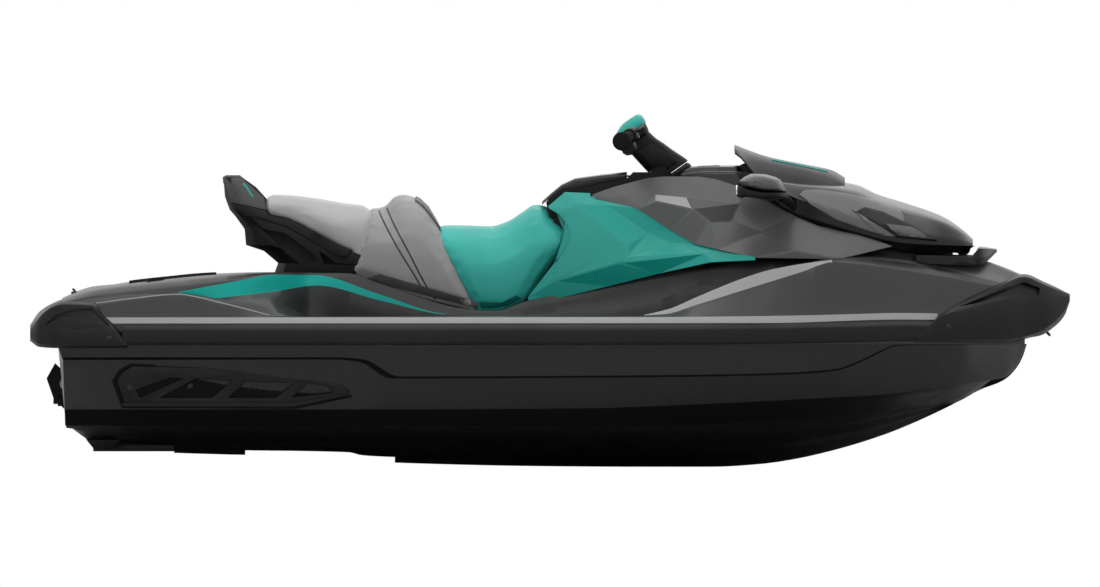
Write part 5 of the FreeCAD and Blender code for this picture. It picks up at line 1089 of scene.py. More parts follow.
def cushion(name, ribs):
    """Crowned saddle over leaning ribs, closed at both ends."""
    rows = [(index, *foot, *head) for index, (foot, head) in enumerate(ribs)]
    places = curve(rows, np.linspace(0, len(ribs) - 1, (len(ribs) - 1) * RIB_STEPS + 1))
    section = [(0, 0)] + SEAT_SECTION
    return grid_object(name, np.array([[between(place[:2], place[2:], rise, width * SEAT_HALF)
                                        for width, rise in section] for place in places]))


CLOTH_FRAMES = 12
CLOTH_STIFFNESS = 40


def puffed(piece):
    """Foam pressed out against its cover: cloth under a light pressure, kept close to its first shape."""
    scene = bpy.context.scene
    sizes = scene.watercraft
    modify(piece, "REMESH", mode="VOXEL", voxel_size=sizes.foam_mesh)
    start = [vertex.co.copy() for vertex in piece.data.vertices]
    cloth = piece.modifiers.new("cover", "CLOTH")
    cloth.settings.use_pressure = True
    cloth.settings.uniform_pressure_force = sizes.foam_pressure
    cloth.settings.effector_weights.gravity = 0
    cloth.settings.tension_stiffness = CLOTH_STIFFNESS
    cloth.settings.compression_stiffness = CLOTH_STIFFNESS
    cloth.point_cache.frame_start = 1
    cloth.point_cache.frame_end = CLOTH_FRAMES
    for number in range(1, CLOTH_FRAMES + 1):
        scene.frame_set(number)
    bake(piece)
    for vertex, old in zip(piece.data.vertices, start):
        move = vertex.co - old
        if move.length > sizes.foam_travel:
            vertex.co = old + move.normalized() * sizes.foam_travel
    scene.frame_set(1)
    return modify(piece, "SMOOTH", iterations=4)


MIDDLE_SEAMS = [
    [(34.9, 25.6), (35.2, 24.9), (36.6, 22.2), (38.9, 18.4), (39.5, 17.3)],
    [(35.7, 25.9), (36.2, 24.7), (37.8, 21.6), (39.7, 18.0), (40.5, 16.8)],
]
MIDDLE_BAND = [
    (33.6, 18.9), (34.9, 19.35), (39.6, 18.0), (44.7, 16.55), (44.75, 15.95), (40.5, 16.95), (36.0, 18.1),
]
DRIVER_BAND = [
    (44.95, 16.6), (47.2, 16.5), (48.6, 17.2), (49.2, 16.9), (47.6, 16.1), (46.0, 15.9), (45.1, 15.9),
]
INSET_HALF = 0.135
INSET_DEPTH = 0.008
INSET_ENDS = (38.5, 40.9)


def soft_piece(name, ribs, finishes, node, seams=(), band=None, inset=None):
    """One cushion with its welts, its lower band and its inset."""
    base = puffed(cushion(name, ribs))
    parts = [mark(base, 0)]
    if band:
        panel = panel_on("band", base, band, 0.0025, 0.006)
        parts.append(pair(bevel(panel, FINE_ROUND, angle=40), 1))
    if inset:
        rear, front, half = along(inset[0]), along(inset[1]), INSET_HALF
        outline = [(rear, -half * 0.9), (front, -half), (front, half), (rear, half * 0.9)]
        panel = panel_on("inset", base, outline, INSET_DEPTH, INSET_DEPTH, 0.025, top=True)
        parts.append(mark(bevel(panel, EDGE_ROUND, angle=40), 1))
    parts += [pair(drape("seam", base, points, WELT_RADIUS), 2) for points in seams]
    piece = joined(name, parts)
    dress(piece, finishes + ("welt",), "craft", (node,), angle=50)


def build_seats():
    """Three cushions: the passenger's, the middle one with its bolster, and the driver's."""
    soft_piece("passenger_cushion", PASSENGER_RIBS, ("silver", "silver"), "passenger_seat")
    soft_piece("middle_cushion", MIDDLE_RIBS, ("grey_vinyl", "charcoal"), "middle_seat",
               MIDDLE_SEAMS, MIDDLE_BAND, INSET_ENDS)
    soft_piece("driver_cushion", DRIVER_RIBS, ("teal_vinyl", "deep_teal"), "driver_seat",
               band=DRIVER_BAND)


# Tail

# Level slices of the tail: (station, level) at the rear and the front, and a share of the half beam.
TAIL_RIBS = [
    ((24.4, 19.3), (32.6, 19.3), 0.31), ((24.8, 20.4), (32.9, 20.2), 0.315),
    ((23.4, 21.6), (33.1, 21.2), 0.32), ((21.6, 22.2), (31.0, 22.0), 0.32),
    ((21.45, 23.8), (28.9, 23.3), 0.31), ((20.6, 25.0), (26.2, 24.9), 0.295),
    ((19.95, 25.75), (24.3, 25.5), 0.28), ((19.5, 27.0), (23.6, 26.9), 0.26),
    ((19.35, 28.1), (22.6, 28.0), 0.24), ((19.25, 29.0), (21.2, 29.0), 0.215),
    ((19.6, 29.2), (21.0, 29.2), 0.17),
]
TAIL_BAND = [
    (20.1, 26.4), (23.6, 25.6), (25.9, 24.9), (28.6, 23.5), (31.0, 22.1), (32.3, 21.6), (31.5, 20.8),
    (30.3, 21.3), (28.0, 22.7), (25.6, 24.0), (23.4, 24.7), (20.9, 25.3),
]
TAIL_HOLES = [
    [(23.2, 23.8), (25.4, 23.4), (27.4, 22.0), (28.6, 20.6), (27.0, 20.4), (25.6, 21.4)],
    [(29.4, 20.3), (28.9, 21.6), (30.6, 20.4)],
]
TAIL_SECTION = [(0, 0), (0.6, 0), (0.85, 0.1), (0.97, 0.28), (1, 0.55), (1, 1), (0, 1)]
TAIL_COVER = [(19.45, 28.95), (21.1, 28.95), (23.4, 26.9), (23.75, 25.65), (20.1, 26.5)]
TAIL_MESH = 0.018
HOLE_SIDES = (-0.3, -0.155)
GRIP_HOLE = ((19.0, 27.3), (24.2, 28.35))
GRIP_HOLE_HALF = 0.095
TAIL_ACCENT = [(21.3, 28.3), (21.6, 28.0), (22.0, 27.4), (22.3, 27.0)]


def build_tail():
    """Shell behind the passenger seat: grey above with the grab bar, black struts below."""
    shell = grid_object("tail", np.array([[between(rear, front, run, share * HALF_BEAM * out)
                                           for out, run in TAIL_SECTION] for rear, front, share in TAIL_RIBS]))
    holes = [mirrored_copy(prism("hole", outline, *HOLE_SIDES)) for outline in TAIL_HOLES]
    corners = (between(*GRIP_HOLE, 0, -GRIP_HOLE_HALF), between(*GRIP_HOLE, 1, GRIP_HOLE_HALF))
    holes.append(block("grip_hole", *corners))
    cut(shell, *holes)
    bevel(shell, SOFT_ROUND, angle=28, segments=3)
    band = bevel(panel_on("band", shell, TAIL_BAND, 0.005, 0.008, TAIL_MESH), EDGE_ROUND, angle=30)
    cover = bevel(panel_on("cover", shell, TAIL_COVER, 0.003, 0.006, TAIL_MESH), SMALL_ROUND, angle=30)
    accent = drape("accent", shell, TAIL_ACCENT, 0.005, sink=0.2)
    piece = joined("tail_cover", [mark(shell, 0), pair(band), pair(cover, 1), pair(accent, 2)])
    dress(piece, ("plastic", "dark_grey", "teal"), "craft", ("tail_shell",))


# Console, fairings and dash

# Corners of the facets, (station, level, half-width in metres), and the facets as corner numbers.
CONSOLE_POINTS = [
    (51.7, 26.0, 0.176), (53.6, 27.3, 0.168), (56.0, 27.4, 0.168), (56.1, 26.9, 0.18), (60.7, 25.9, 0.215),
    (64.1, 23.7, 0.255), (66.5, 22.3, 0.285), (68.9, 21.7, 0.325), (72.5, 21.0, 0.376), (72.5, 20.7, 0.378),
    (68.1, 20.5, 0.335), (62.9, 19.35, 0.262), (57.9, 18.1, 0.228), (52.9, 16.9, 0.212), (49.8, 16.35, 0.2),
    (50.1, 17.1, 0.201), (52.5, 20.5, 0.206), (53.6, 21.9, 0.207), (54.0, 23.1, 0.206), (53.7, 24.3, 0.203),
    (52.9, 25.3, 0.195), (54.7, 26.3, 0.196), (57.5, 26.2, 0.2), (61.7, 23.4, 0.226), (64.3, 22.3, 0.262),
    (59.7, 22.2, 0.252), (59.8, 21.1, 0.258), (58.9, 20.4, 0.256), (52.3, 18.5, 0.216), (53.7, 25.7, 0.198),
    (67.5, 21.4, 0.318),
]
CONSOLE_FACETS = [
    (0, 1, 29), (1, 2, 3, 22, 21), (1, 21, 29), (0, 29, 20), (20, 29, 19), (29, 21, 25, 28),
    (29, 28, 16, 17, 18, 19), (25, 26, 27, 28), (16, 28, 15), (21, 22, 23, 25), (25, 23, 24, 26),
    (26, 24, 30, 27), (27, 30, 10, 11), (28, 27, 11, 12), (15, 28, 12, 13), (15, 13, 14), (22, 3, 4, 5, 23),
    (23, 5, 6, 24), (24, 6, 7, 30), (30, 7, 8, 9, 10),
]
FAIRING_POINTS = [
    (56.1, 27.2, 0.152), (58.3, 28.0, 0.165), (61.7, 28.9, 0.178), (63.3, 29.06, 0.19), (66.9, 29.06, 0.213),
    (68.6, 28.8, 0.23), (70.7, 28.1, 0.245), (72.5, 27.3, 0.262), (76.5, 25.1, 0.298), (78.9, 24.1, 0.315),
    (82.9, 23.3, 0.318), (86.2, 22.1, 0.315), (80.9, 20.8, 0.378), (72.5, 20.95, 0.372), (68.9, 21.75, 0.335),
    (66.5, 22.3, 0.292), (64.1, 23.7, 0.262), (60.9, 25.9, 0.222), (56.3, 26.9, 0.158), (62.6, 27.3, 0.215),
    (62.6, 26.6, 0.246), (66.3, 25.8, 0.29), (65.7, 27.0, 0.24), (70.9, 26.4, 0.278), (68.0, 24.5, 0.29),
    (70.1, 24.6, 0.278), (73.1, 23.5, 0.3), (76.5, 21.7, 0.376), (59.3, 27.1, 0.19),
]
FAIRING_FACETS = [
    (0, 1, 28), (1, 2, 19, 28), (0, 28, 18), (18, 28, 17), (28, 19, 20, 17), (17, 20, 21, 16),
    (16, 21, 24, 15), (15, 24, 25, 26, 14), (14, 26, 27, 13), (27, 12, 13), (2, 3, 4, 22, 19),
    (4, 5, 6, 23, 22), (19, 22, 21, 20), (22, 23, 25, 24, 21), (6, 7, 8, 26, 25, 23),
    (8, 9, 10, 11, 12, 27, 26),
]

# Ribs of the middle: (station, level) of foot and head, and both half-widths as shares.
CONSOLE_MIDDLE = [
    ((49.7, 16.95), (51.3, 18.6), 0.28, 0.28), ((51.6, 17.4), (53.4, 21.7), 0.285, 0.275),
    ((54.0, 17.9), (54.1, 23.5), 0.29, 0.265), ((55.5, 18.3), (53.9, 25.0), 0.29, 0.26),
    ((57.2, 18.7), (52.3, 26.2), 0.295, 0.25), ((58.6, 19.0), (53.8, 27.0), 0.3, 0.25),
    ((60.0, 19.3), (57.2, 27.1), 0.31, 0.255), ((61.1, 19.5), (61.1, 26.0), 0.32, 0.28),
]
CONSOLE_CORE = [
    (48.0, 15.6), (50.6, 16.0), (53.4, 19.2), (55.0, 21.6), (55.6, 23.4), (54.8, 24.9), (52.6, 25.1),
    (52.2, 24.4), (52.6, 23.2), (51.8, 21.9), (49.6, 19.4), (47.8, 17.2),
]
CORE_HALF = 0.158
GLOVE_GAP = 0.001
GLOVE_TOOL_TOP = 0.8
GLOVE_RIM_SIDES = (-0.15, -0.1165)
GLOVE_RIM = [
    (51.9, 25.0), (51.6, 26.5), (52.4, 27.3), (53.6, 27.95), (56.0, 28.1), (59.8, 28.95), (60.3, 29.5),
    (62.2, 29.5), (64.5, 28.9), (64.5, 25.0),
]


def build_console():
    """Console between the seat and the steering: a middle with the glove pocket, and faceted teal sides."""
    rows = []
    for foot, head, foot_half, head_half in CONSOLE_MIDDLE:
        section = ((0, 0), (foot_half, 0), (head_half, 1), (0, 1))
        rows.append([between(foot, head, rise, out * HALF_BEAM) for out, rise in section])
    middle = grid_object("console_middle", np.array(rows))
    low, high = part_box("glove_box_bin")
    gap = Vector([GLOVE_GAP] * 3)
    cut(middle, block("pocket", low - gap, Vector((high.x, high.y, GLOVE_TOOL_TOP)) + gap))
    bevel(middle, FULL_ROUND, angle=25)
    sides = faceted("console_sides", CONSOLE_POINTS, CONSOLE_FACETS)
    core = mark(prism("core", CONSOLE_CORE, -CORE_HALF, CORE_HALF), 1)
    rim = pair(prism("rim", GLOVE_RIM, *GLOVE_RIM_SIDES), 1)
    piece = joined("console_cover", [middle, sides, core, rim])
    dress(piece, ("teal", "plastic"), "craft", ("console",), angle=25)


# Fairing facets painted light grey as a highlight and dark grey as shade.
FAIRING_PAINTED_HIGHLIGHT = (19, 22, 21, 20)
FAIRING_PAINTED_SHADE = (22, 23, 25, 24, 21)


def inside(point, outline):
    """Whether a flat point lies inside an outline."""
    found = False
    for a, b in zip(outline, outline[1:] + outline[:1]):
        if (a.y > point.y) != (b.y > point.y) and point.x < a.x + (b.x - a.x) * (point.y - a.y) / (b.y - a.y):
            found = not found
    return found


def build_fairings():
    """Grey side fairings in flat facets, from the steering to the front of the bonnet."""
    piece = faceted("fairing_pair", FAIRING_POINTS, FAIRING_FACETS)
    # Facets inside these outlines take the painted highlight and the painted shade.
    for index, corners in enumerate((FAIRING_PAINTED_HIGHLIGHT, FAIRING_PAINTED_SHADE), start=1):
        outline = [Vector(row) for row in in_metres([FAIRING_POINTS[i][:2] for i in corners])]
        for polygon in piece.data.polygons:
            if inside(Vector((polygon.center.x, polygon.center.z)), outline):
                polygon.material_index = index
    dress(piece, ("grey", "ledge", "dark_grey"), "craft", ("side_fairings",), angle=25)


# Columns of (station, share of the half beam, level).
DASH = [
    [(64.6, 0, 27.6), (71, 0, 27.2)], [(64.6, 0.24, 27.6), (67, 0.3, 27.3), (71, 0.36, 27.2)],
    [(64.6, 0.22, 28.9), (67, 0.27, 29.3), (71, 0.3, 29.35)],
    [(64.6, 0.2, 29.1), (66.2, 0.24, 29.6), (71, 0.26, 29.6)],
    [(64.6, 0.18, 29.2), (66.4, 0.22, 30.0), (71, 0.24, 30.05)],
    [(64.6, 0, 29.3), (66.4, 0, 30.1), (71, 0, 30.2)],
]
DASH_LINE = [(65.2, 29.25), (68, 29.5), (70.8, 29.5)]
GAUGE_HOOD = [(66.4, 29.4), (66.75, 30.12), (68.9, 30.2), (70.0, 29.6)]
GAUGE_HALF = 0.088
SCREEN_WALL = 0.004
SCREEN_FOOT = (66.42, 29.5)
SCREEN_TOP = (66.68, 30.02)


def build_dash():
    """Upper dash with a bright line along its side, and the hooded display on it."""
    body = grid_object("dash_body", columns_grid(DASH, spread((64.6, 71, 18)), beam_width))
    bevel(body, FULL_ROUND, angle=25)
    line = drape("line", body, DASH_LINE, 0.003, count=16)
    piece = joined("dash_cover", [mark(body, 0), pair(line, 1)])
    dress(piece, ("gloss", "grey"), "craft", ("dash",))
    low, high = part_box("gauge")
    hood = bevel(prism("hood", GAUGE_HOOD, -GAUGE_HALF, GAUGE_HALF), FULL_ROUND, angle=30)
    side = low.y + 0.012
    corners = [between(place, place, 0, y) for place in (SCREEN_FOOT, SCREEN_TOP) for y in (side, -side)]
    screen = new_object("screen", [corners[i] for i in (0, 1, 3, 2)], [(0, 1, 2, 3)])
    modify(screen, "SOLIDIFY", thickness=SCREEN_WALL, offset=0)
    piece = joined("display", [mark(hood, 0), mark(screen, 1)])
    piece.data.transform(Matrix.Translation((0, (low.y + high.y) / 2, 0)))
    dress(piece, ("plastic", "display"), "craft", ("gauge",))


LID_TOP = [(51.2, 26.6), (52.2, 27.5), (53.2, 28.3), (54.5, 28.9), (57.0, 29.25), (59.7, 29.54)]
LID_FOOT = [(59.7, 28.6), (56.0, 27.75), (53.5, 27.65), (52.2, 26.95), (51.6, 26.6)]

# Sections across the lid: (share of its half-width, drop in metres).
LID_CROWN = ((-1, 0.012), (-0.9, 0.003), (-0.5, 0), (0, 0), (0.5, 0), (0.9, 0.003), (1, 0.012))
LID_HINGE = (60.5, 29.1)


def build_glove_lid():
    """Gloss lid of the glove box, crowned across, with its hinge's tongue and barrel."""
    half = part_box("glove_box_lid")[1].y
    sections = []
    for share, drop in LID_CROWN:
        section = upright(in_metres(LID_TOP + LID_FOOT), half * share)
        section[:len(LID_TOP), 2] -= drop
        sections.append(section)
    lid = bevel(solid("lid", sections), FULL_ROUND, angle=28)
    x, z = along(LID_HINGE[0]), height(LID_HINGE[1])
    barrel = tube("barrel", [(x, -0.012, z), (x, 0.012, z)], 0.008, sides=20)
    tongue = block("tongue", (along(59.5), -0.011, z - 0.003), (x, 0.011, z + 0.003))
    piece = joined("lid_cover", [lid, barrel, tongue])
    dress(piece, ("gloss",), "glove_lid", ("glove_box_lid",))


# Bonnet, windscreen and mirrors

# Rows of the bonnet: a station, four points (share of the half beam, level) and the middle's level.
HOOD_ROWS = [
    (71.1, (0.4, 28.3), (0.4, 28.6), (0.3, 29.1), (0.17, 29.2), 29.25),
    (74, (0.455, 26.8), (0.465, 28.0), (0.36, 28.7), (0.19, 28.9), 29.0),
    (76.6, (0.49, 25.4), (0.5, 26.9), (0.4, 28.2), (0.2, 28.6), 28.8),
    (80.6, (0.525, 24.1), (0.52, 25.6), (0.4, 27.6), (0.2, 28.3), 28.55),
    (82.6, (0.52, 23.5), (0.515, 24.9), (0.385, 27.1), (0.2, 28.0), 28.25),
    (84.8, (0.515, 22.9), (0.5, 24.2), (0.36, 26.2), (0.19, 26.95), 27.25),
    (87.4, (0.475, 22.4), (0.46, 23.3), (0.32, 25.3), (0.17, 26.1), 26.45),
    (91.4, (0.36, 22.2), (0.34, 22.9), (0.24, 24.3), (0.13, 24.8), 25.0),
    (93.2, (0.27, 22.15), (0.26, 22.6), (0.19, 23.4), (0.1, 23.7), 23.8),
    (94.3, (0.19, 22.1), (0.18, 22.3), (0.12, 22.6), (0.07, 22.75), 22.8),
]
HOOD_LIP_IN = 0.035
HOOD_LIP_DROP = 0.75
HOOD_LIP_END = 94.0


def hood_columns():
    """The bonnet's columns, each a table of (station, share of the half beam, level)."""
    drops = [HOOD_LIP_DROP if row[0] < HOOD_LIP_END else HOOD_LIP_DROP / 8 for row in HOOD_ROWS]
    columns = [[(row[0], row[1][0] - HOOD_LIP_IN, row[1][1] - drop) for row, drop in zip(HOOD_ROWS, drops)]]
    for index in range(1, 5):
        columns.append([(row[0], row[index][0], row[index][1]) for row in HOOD_ROWS])
    columns.append([(row[0], 0, row[5]) for row in HOOD_ROWS])
    return columns


def shell_of(name, grid, thickness, floor):
    """Open shell over a mirrored grid, thickened inwards, its front end closed down to a floor."""
    end = grid[-1:].copy()
    end[:, :, 2] = floor
    piece = grid_object(name, np.concatenate((grid, end)), ends=False)
    work = bmesh.new()
    work.from_mesh(piece.data)
    if sum(face.normal.z * face.calc_area() for face in work.faces) < 0:
        bmesh.ops.reverse_faces(work, faces=work.faces)
    work.to_mesh(piece.data)
    work.free()
    return modify(piece, "SOLIDIFY", thickness=thickness, offset=-1, use_even_offset=False)


HOOD_INSET = [
    (76.9, 27.2), (77.4, 27.65), (79.0, 27.7), (81.7, 27.35), (84.5, 26.7), (86.6, 26.05), (87.4, 25.0),
    (87.4, 23.0), (85.6, 23.1), (83.9, 23.6), (80.6, 24.75), (78.2, 26.2),
]
HOOD_VENT = [
    (82.4, 25.4), (83.4, 25.9), (85.2, 25.45), (88.2, 24.05), (90.7, 22.6), (86.6, 23.0), (85.2, 24.0),
]
HOOD_LENS = [(85.4, 24.15), (88.0, 23.85), (90.2, 22.7), (86.8, 23.1)]
# A thin grey strip painted on the bonnet as a highlight of the light above.
HOOD_PAINTED_GLINT = [(82.1, 25.7), (82.6, 25.6), (85.5, 23.3), (84.9, 23.3)]
ROLL_RADIUS = 0.0245
ROLL_HALF = 0.095
TROUGH_HALF = 0.128

# Trims on the bonnet: name, outline, lift, depth, rounding and material index.
HOOD_TRIMS = (
    ("inset", HOOD_INSET, 0.003, 0.004, 0.0015, 1), ("vent", HOOD_VENT, 0.0065, 0.004, 0.002, 2),
    ("lens", HOOD_LENS, 0.009, 0.0, 0, 3), ("glint", HOOD_PAINTED_GLINT, 0.0062, 0.003, 0.002, 1),
)
HOOD_HINGE = (93.3, 21.9)
HOOD_WALL = 0.007
HOOD_FLOOR = 22.05
HOOD_MESH = 0.01
KNUCKLE_HALF = 0.008
KNUCKLE_RADIUS = 0.009


def build_bonnet():
    """Bonnet shell with grey side insets, black vents and a lens in each vent."""
    grid = columns_grid(hood_columns(), spread((71.1, 85, 30), (85.4, 94.3, 26)), beam_width)
    grid = refine(grid, (1, 2, 4, 3, 4), soft=(3, 4))[0]
    shell = shell_of("bonnet_shell", grid, HOOD_WALL, height(HOOD_FLOOR))
    parts = [mark(shell, 0)]
    for name, outline, lift, depth, rounding, index in HOOD_TRIMS:
        panel = panel_on(name, shell, outline, lift, depth, HOOD_MESH)
        parts.append(pair(bevel(panel, rounding, angle=30) if rounding else panel, index))
    x, z = along(HOOD_HINGE[0]), height(HOOD_HINGE[1])
    for side in (-1, 1):
        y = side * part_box("bonnet_hinge")[1].y * 0.68
        near, far = y - KNUCKLE_HALF, y + KNUCKLE_HALF
        parts.append(mark(tube("knuckle", [(x, near, z), (x, far, z)], KNUCKLE_RADIUS, sides=20), 2))
        parts.append(mark(block("stem", (x - 0.004, near, z), (x + 0.004, far, z + 0.02)), 2))
    parts.append(mark(tube("nose_roll", [(x, -ROLL_HALF, z), (x, ROLL_HALF, z)], ROLL_RADIUS, sides=32), 2))
    piece = joined("bonnet_cover", parts)
    dress(piece, ("gloss", "grey", "plastic", "lens"), "bonnet", ("bonnet",))


# Rows of the windscreen: a station, the middle's level and three points (share, level).
VISOR_ROWS = [
    (70.5, 32.25, (0.12, 32.15), (0.2, 31.85), (0.245, 31.45)),
    (71.2, 31.95, (0.13, 31.8), (0.23, 31.3), (0.29, 30.95)),
    (72.0, 31.65, (0.13, 31.5), (0.25, 30.8), (0.34, 29.9)),
    (73.5, 31.13, (0.14, 31.0), (0.27, 30.1), (0.4, 28.4)),
    (78.4, 30.1, (0.13, 29.95), (0.25, 29.2), (0.38, 27.5)),
    (80.2, 29.7, (0.12, 29.5), (0.23, 28.8), (0.35, 27.4)),
    (81.5, 28.95, (0.1, 28.8), (0.2, 28.3), (0.28, 27.4)),
]
VISOR_FOOT = [
    (70.7, 27.9), (70.6, 30.0), (71.3, 30.35), (72.0, 30.5), (74.0, 30.2), (76.0, 29.4), (76.0, 27.9),
]
VISOR_CHEEK = [(70.7, 27.6), (70.75, 29.5), (72.4, 29.6), (76.0, 28.2), (76.0, 27.6)]
VISOR_WALL = 0.005
VISOR_FLOOR = 28.0
FOOT_HALF = 0.125
CHEEK_HALF = 0.195
PINSTRIPE = [(74.2, 30.7), (76.5, 30.23), (79.0, 29.7), (79.8, 29.51)]


def build_windscreen():
    """Smoked windscreen with a thin teal line along its crest."""
    columns = [[(row[0], row[index][0], row[index][1]) for row in VISOR_ROWS] for index in (4, 3, 2)]
    columns.append([(row[0], 0, row[1]) for row in VISOR_ROWS])
    grid = columns_grid(columns, spread((70.5, 81.5, 34)), beam_width)
    grid = refine(grid, (5, 3, 3), soft=(1, 2))[0]
    shell = shell_of("windscreen_shell", grid, VISOR_WALL, height(VISOR_FLOOR))
    bevel(shell, FINE_ROUND, angle=40)
    line = drape("pinstripe", shell, PINSTRIPE, 0.0035, sink=0.4)
    foot = bevel(prism("foot", VISOR_FOOT, -FOOT_HALF, FOOT_HALF), SOFT_ROUND, angle=30)
    cheek = bevel(prism("cheek", VISOR_CHEEK, -CHEEK_HALF, CHEEK_HALF), SOFT_ROUND, angle=30)
    piece = joined("windscreen_cover", [mark(shell, 0), pair(line, 1), mark(foot, 2), mark(cheek, 2)])
    dress(piece, ("acrylic", "film", "plastic"), "bonnet", ("windscreen",))


MIRROR_SHELL = [
    (70.9, 28.6), (71.4, 29.0), (72.1, 29.35), (73.5, 29.3), (74.6, 29.0), (75.1, 28.7), (75.5, 28.0),
    (75.7, 27.5), (73.4, 27.5), (71.2, 28.0),
]
MIRROR_BODY = [
    (70.6, 28.3), (71.2, 28.0), (73.4, 27.6), (75.7, 27.5), (75.9, 26.9), (74.0, 26.6), (71.6, 27.0),
    (71.1, 26.85), (70.6, 27.1),
]
MIRROR_ENDS = (0.315, 0.494)

# Sections along a mirror: (share of its reach, share of its outline).
MIRROR_SWELL = ((0, 0.62), (0.1, 0.84), (0.3, 1), (0.6, 0.98), (0.85, 0.84), (0.96, 0.66), (1, 0.4))


def mirror_block(name, outline, swell=1.0):
    """Port mirror part over its outline, rounded towards both ends."""
    ring = in_metres(outline)
    centre = ring.mean(axis=0)
    inner, outer = MIRROR_ENDS
    return solid(name, [upright(centre + (ring - centre) * share * swell, inner + (outer - inner) * reach)
                        for reach, share in MIRROR_SWELL])


MIRROR_GLASS = [(70.6, 27.25), (70.8, 27.25), (70.8, 28.2), (70.6, 28.2)]
GLASS_SIDES = (0.363, 0.428)
MIRROR_ARM = [(75.2, 0.36, 27.0), (76.0, 0.325, 26.4), (76.7, 0.29, 25.7)]


def build_mirrors():
    """Two mirrors: grey shells over black bodies, silvered glass facing aft, and their arms."""
    shell = bevel(mirror_block("shell", MIRROR_SHELL), EDGE_ROUND, angle=30)
    body = bevel(mirror_block("body", MIRROR_BODY, 0.98), EDGE_ROUND, angle=30)
    glass = bevel(prism("glass", MIRROR_GLASS, *GLASS_SIDES), 0.001)
    arm = tube("arm", [(along(s), y, height(l)) for s, y, l in MIRROR_ARM], (0.017, 0.014, 0.014), flat=0.7)
    piece = mirrored_copy(joined("mirror_pair", [mark(shell, 0), mark(body, 1), mark(glass, 2), mark(arm, 1)]))
    dress(piece, ("grey", "plastic", "mirror"), "bonnet", ("mirrors",))


# Columns of (station, share of the half beam, level).
LIP = [
    [(88.6, 0.44, 20.4), (90.5, 0.42, 20.3), (93.5, 0.33, 20.2), (95.2, 0.24, 20.3), (96.7, 0.05, 21.5)],
    [(88.6, 0.44, 21.2), (93.5, 0.33, 21.1), (94.3, 0.28, 21.1), (94.55, 0.27, 21.5), (94.9, 0.26, 21.85),
     (96.7, 0.06, 21.75)],
    [(88.6, 0.4, 21.3), (93.5, 0.29, 21.2), (94.3, 0.24, 21.2), (94.55, 0.23, 21.5), (94.9, 0.22, 22.0),
     (96.7, 0.04, 21.8)],
    [(88.6, 0, 21.4), (93.5, 0, 21.3), (94.3, 0, 21.3), (94.55, 0, 21.5), (94.9, 0, 22.05), (96.7, 0, 21.82)],
]
LIP_CORE = [(88.0, 20.8), (92.3, 20.6), (92.3, 21.95), (88.0, 22.3)]
LIP_CORE_HALF = 0.085


def build_lip():
    """Fixed lip on the foredeck in front of the bonnet, with the ledge that the bonnet closes on."""
    stations = spread((88.6, 94.3, 12), (94.55, 94.55, 1), (94.9, 96.7, 10))
    grid = columns_grid([[(row[0], 0, row[2]) for row in LIP[0]]] + LIP, stations, beam_width)
    piece = grid_object("lip_skin", grid)
    low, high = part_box("bonnet_hinge")
    room = block("room", (low.x - 0.012, low.y - 0.01, 0.38), (high.x + 0.012, high.y + 0.01, 0.5))
    trough = block("trough", (along(92.3), -TROUGH_HALF, height(20.9)), (along(94.4), TROUGH_HALF, height(23)))
    bevel(cut(piece, room, trough), EDGE_ROUND, angle=25)
    core = prism("core", LIP_CORE, -LIP_CORE_HALF, LIP_CORE_HALF)
    dress(joined("lip", [piece, core]), ("gloss",), "craft", ("foredeck_lip",))


# Steering

STEER_POINT = Vector((along(63.8), 0, height(29.2)))
RAKE = math.radians(35)
STEER_UP = Vector((-math.sin(RAKE), 0, math.cos(RAKE)))
STEER_FORWARD = Vector((math.cos(RAKE), 0, math.sin(RAKE)))
BAR_HALF = 0.390


def on_column(forward, side, up):
    """Point in the steering column's own frame: forward, to port and up along it, in metres."""
    return STEER_POINT + STEER_FORWARD * forward + Vector((0, side, 0)) + STEER_UP * up


COLUMN_SIDES = 16
SQUARENESS = 0.55


def column_solid(name, rows, rounding):
    """Closed body round the steering column, its corners full; a row is (up, rear, front, half-width)."""
    rings = []
    for up, rear, front, half in rows:
        ring = []
        for step in range(COLUMN_SIDES):
            angle = 2 * math.pi * (step + 0.5) / COLUMN_SIDES
            turn = (math.cos(angle), math.sin(angle))
            a, b = (math.copysign(abs(value) ** SQUARENESS, value) for value in turn)
            ring.append(on_column((rear + front) / 2 + a * (front - rear) / 2, b * half, up))
        rings.append(ring)
    return bevel(solid(name, rings), rounding, angle=28)


PIN_RADIUS = 0.0128
NECK_BORE = 0.0142

# Rows along the steering column in metres: (up, rear, front, half-width).
BOOT_ROWS = [
    (-0.07, -0.07, 0.09, 0.06), (-0.046, -0.066, 0.086, 0.06), (-0.036, -0.058, 0.08, 0.056),
    (-0.028, -0.064, 0.084, 0.059), (-0.018, -0.056, 0.078, 0.055), (-0.01, -0.06, 0.08, 0.057),
    (-0.001, -0.05, 0.072, 0.048),
]


def build_boot():
    """Pleated boot that the steering neck turns on, with a round cheek at each side."""
    parts = [column_solid("boot", BOOT_ROWS, SMALL_ROUND),
             tube("pin", [on_column(0, 0, -0.024), on_column(0, 0, 0.075)], PIN_RADIUS, sides=24)]
    x, z = along(63.0), height(28.9)
    for side in (-1, 1):
        parts.append(tube("cheek", [(x, side * 0.045, z), (x, side * 0.066, z)], (0.040, 0.034), sides=32))
        parts.append(tube("cap", [(x, side * 0.062, z), (x, side * 0.070, z)], 0.016, sides=24))
    dress(joined("boot_cover", parts), ("plastic",), "craft", ("steering_boot",))


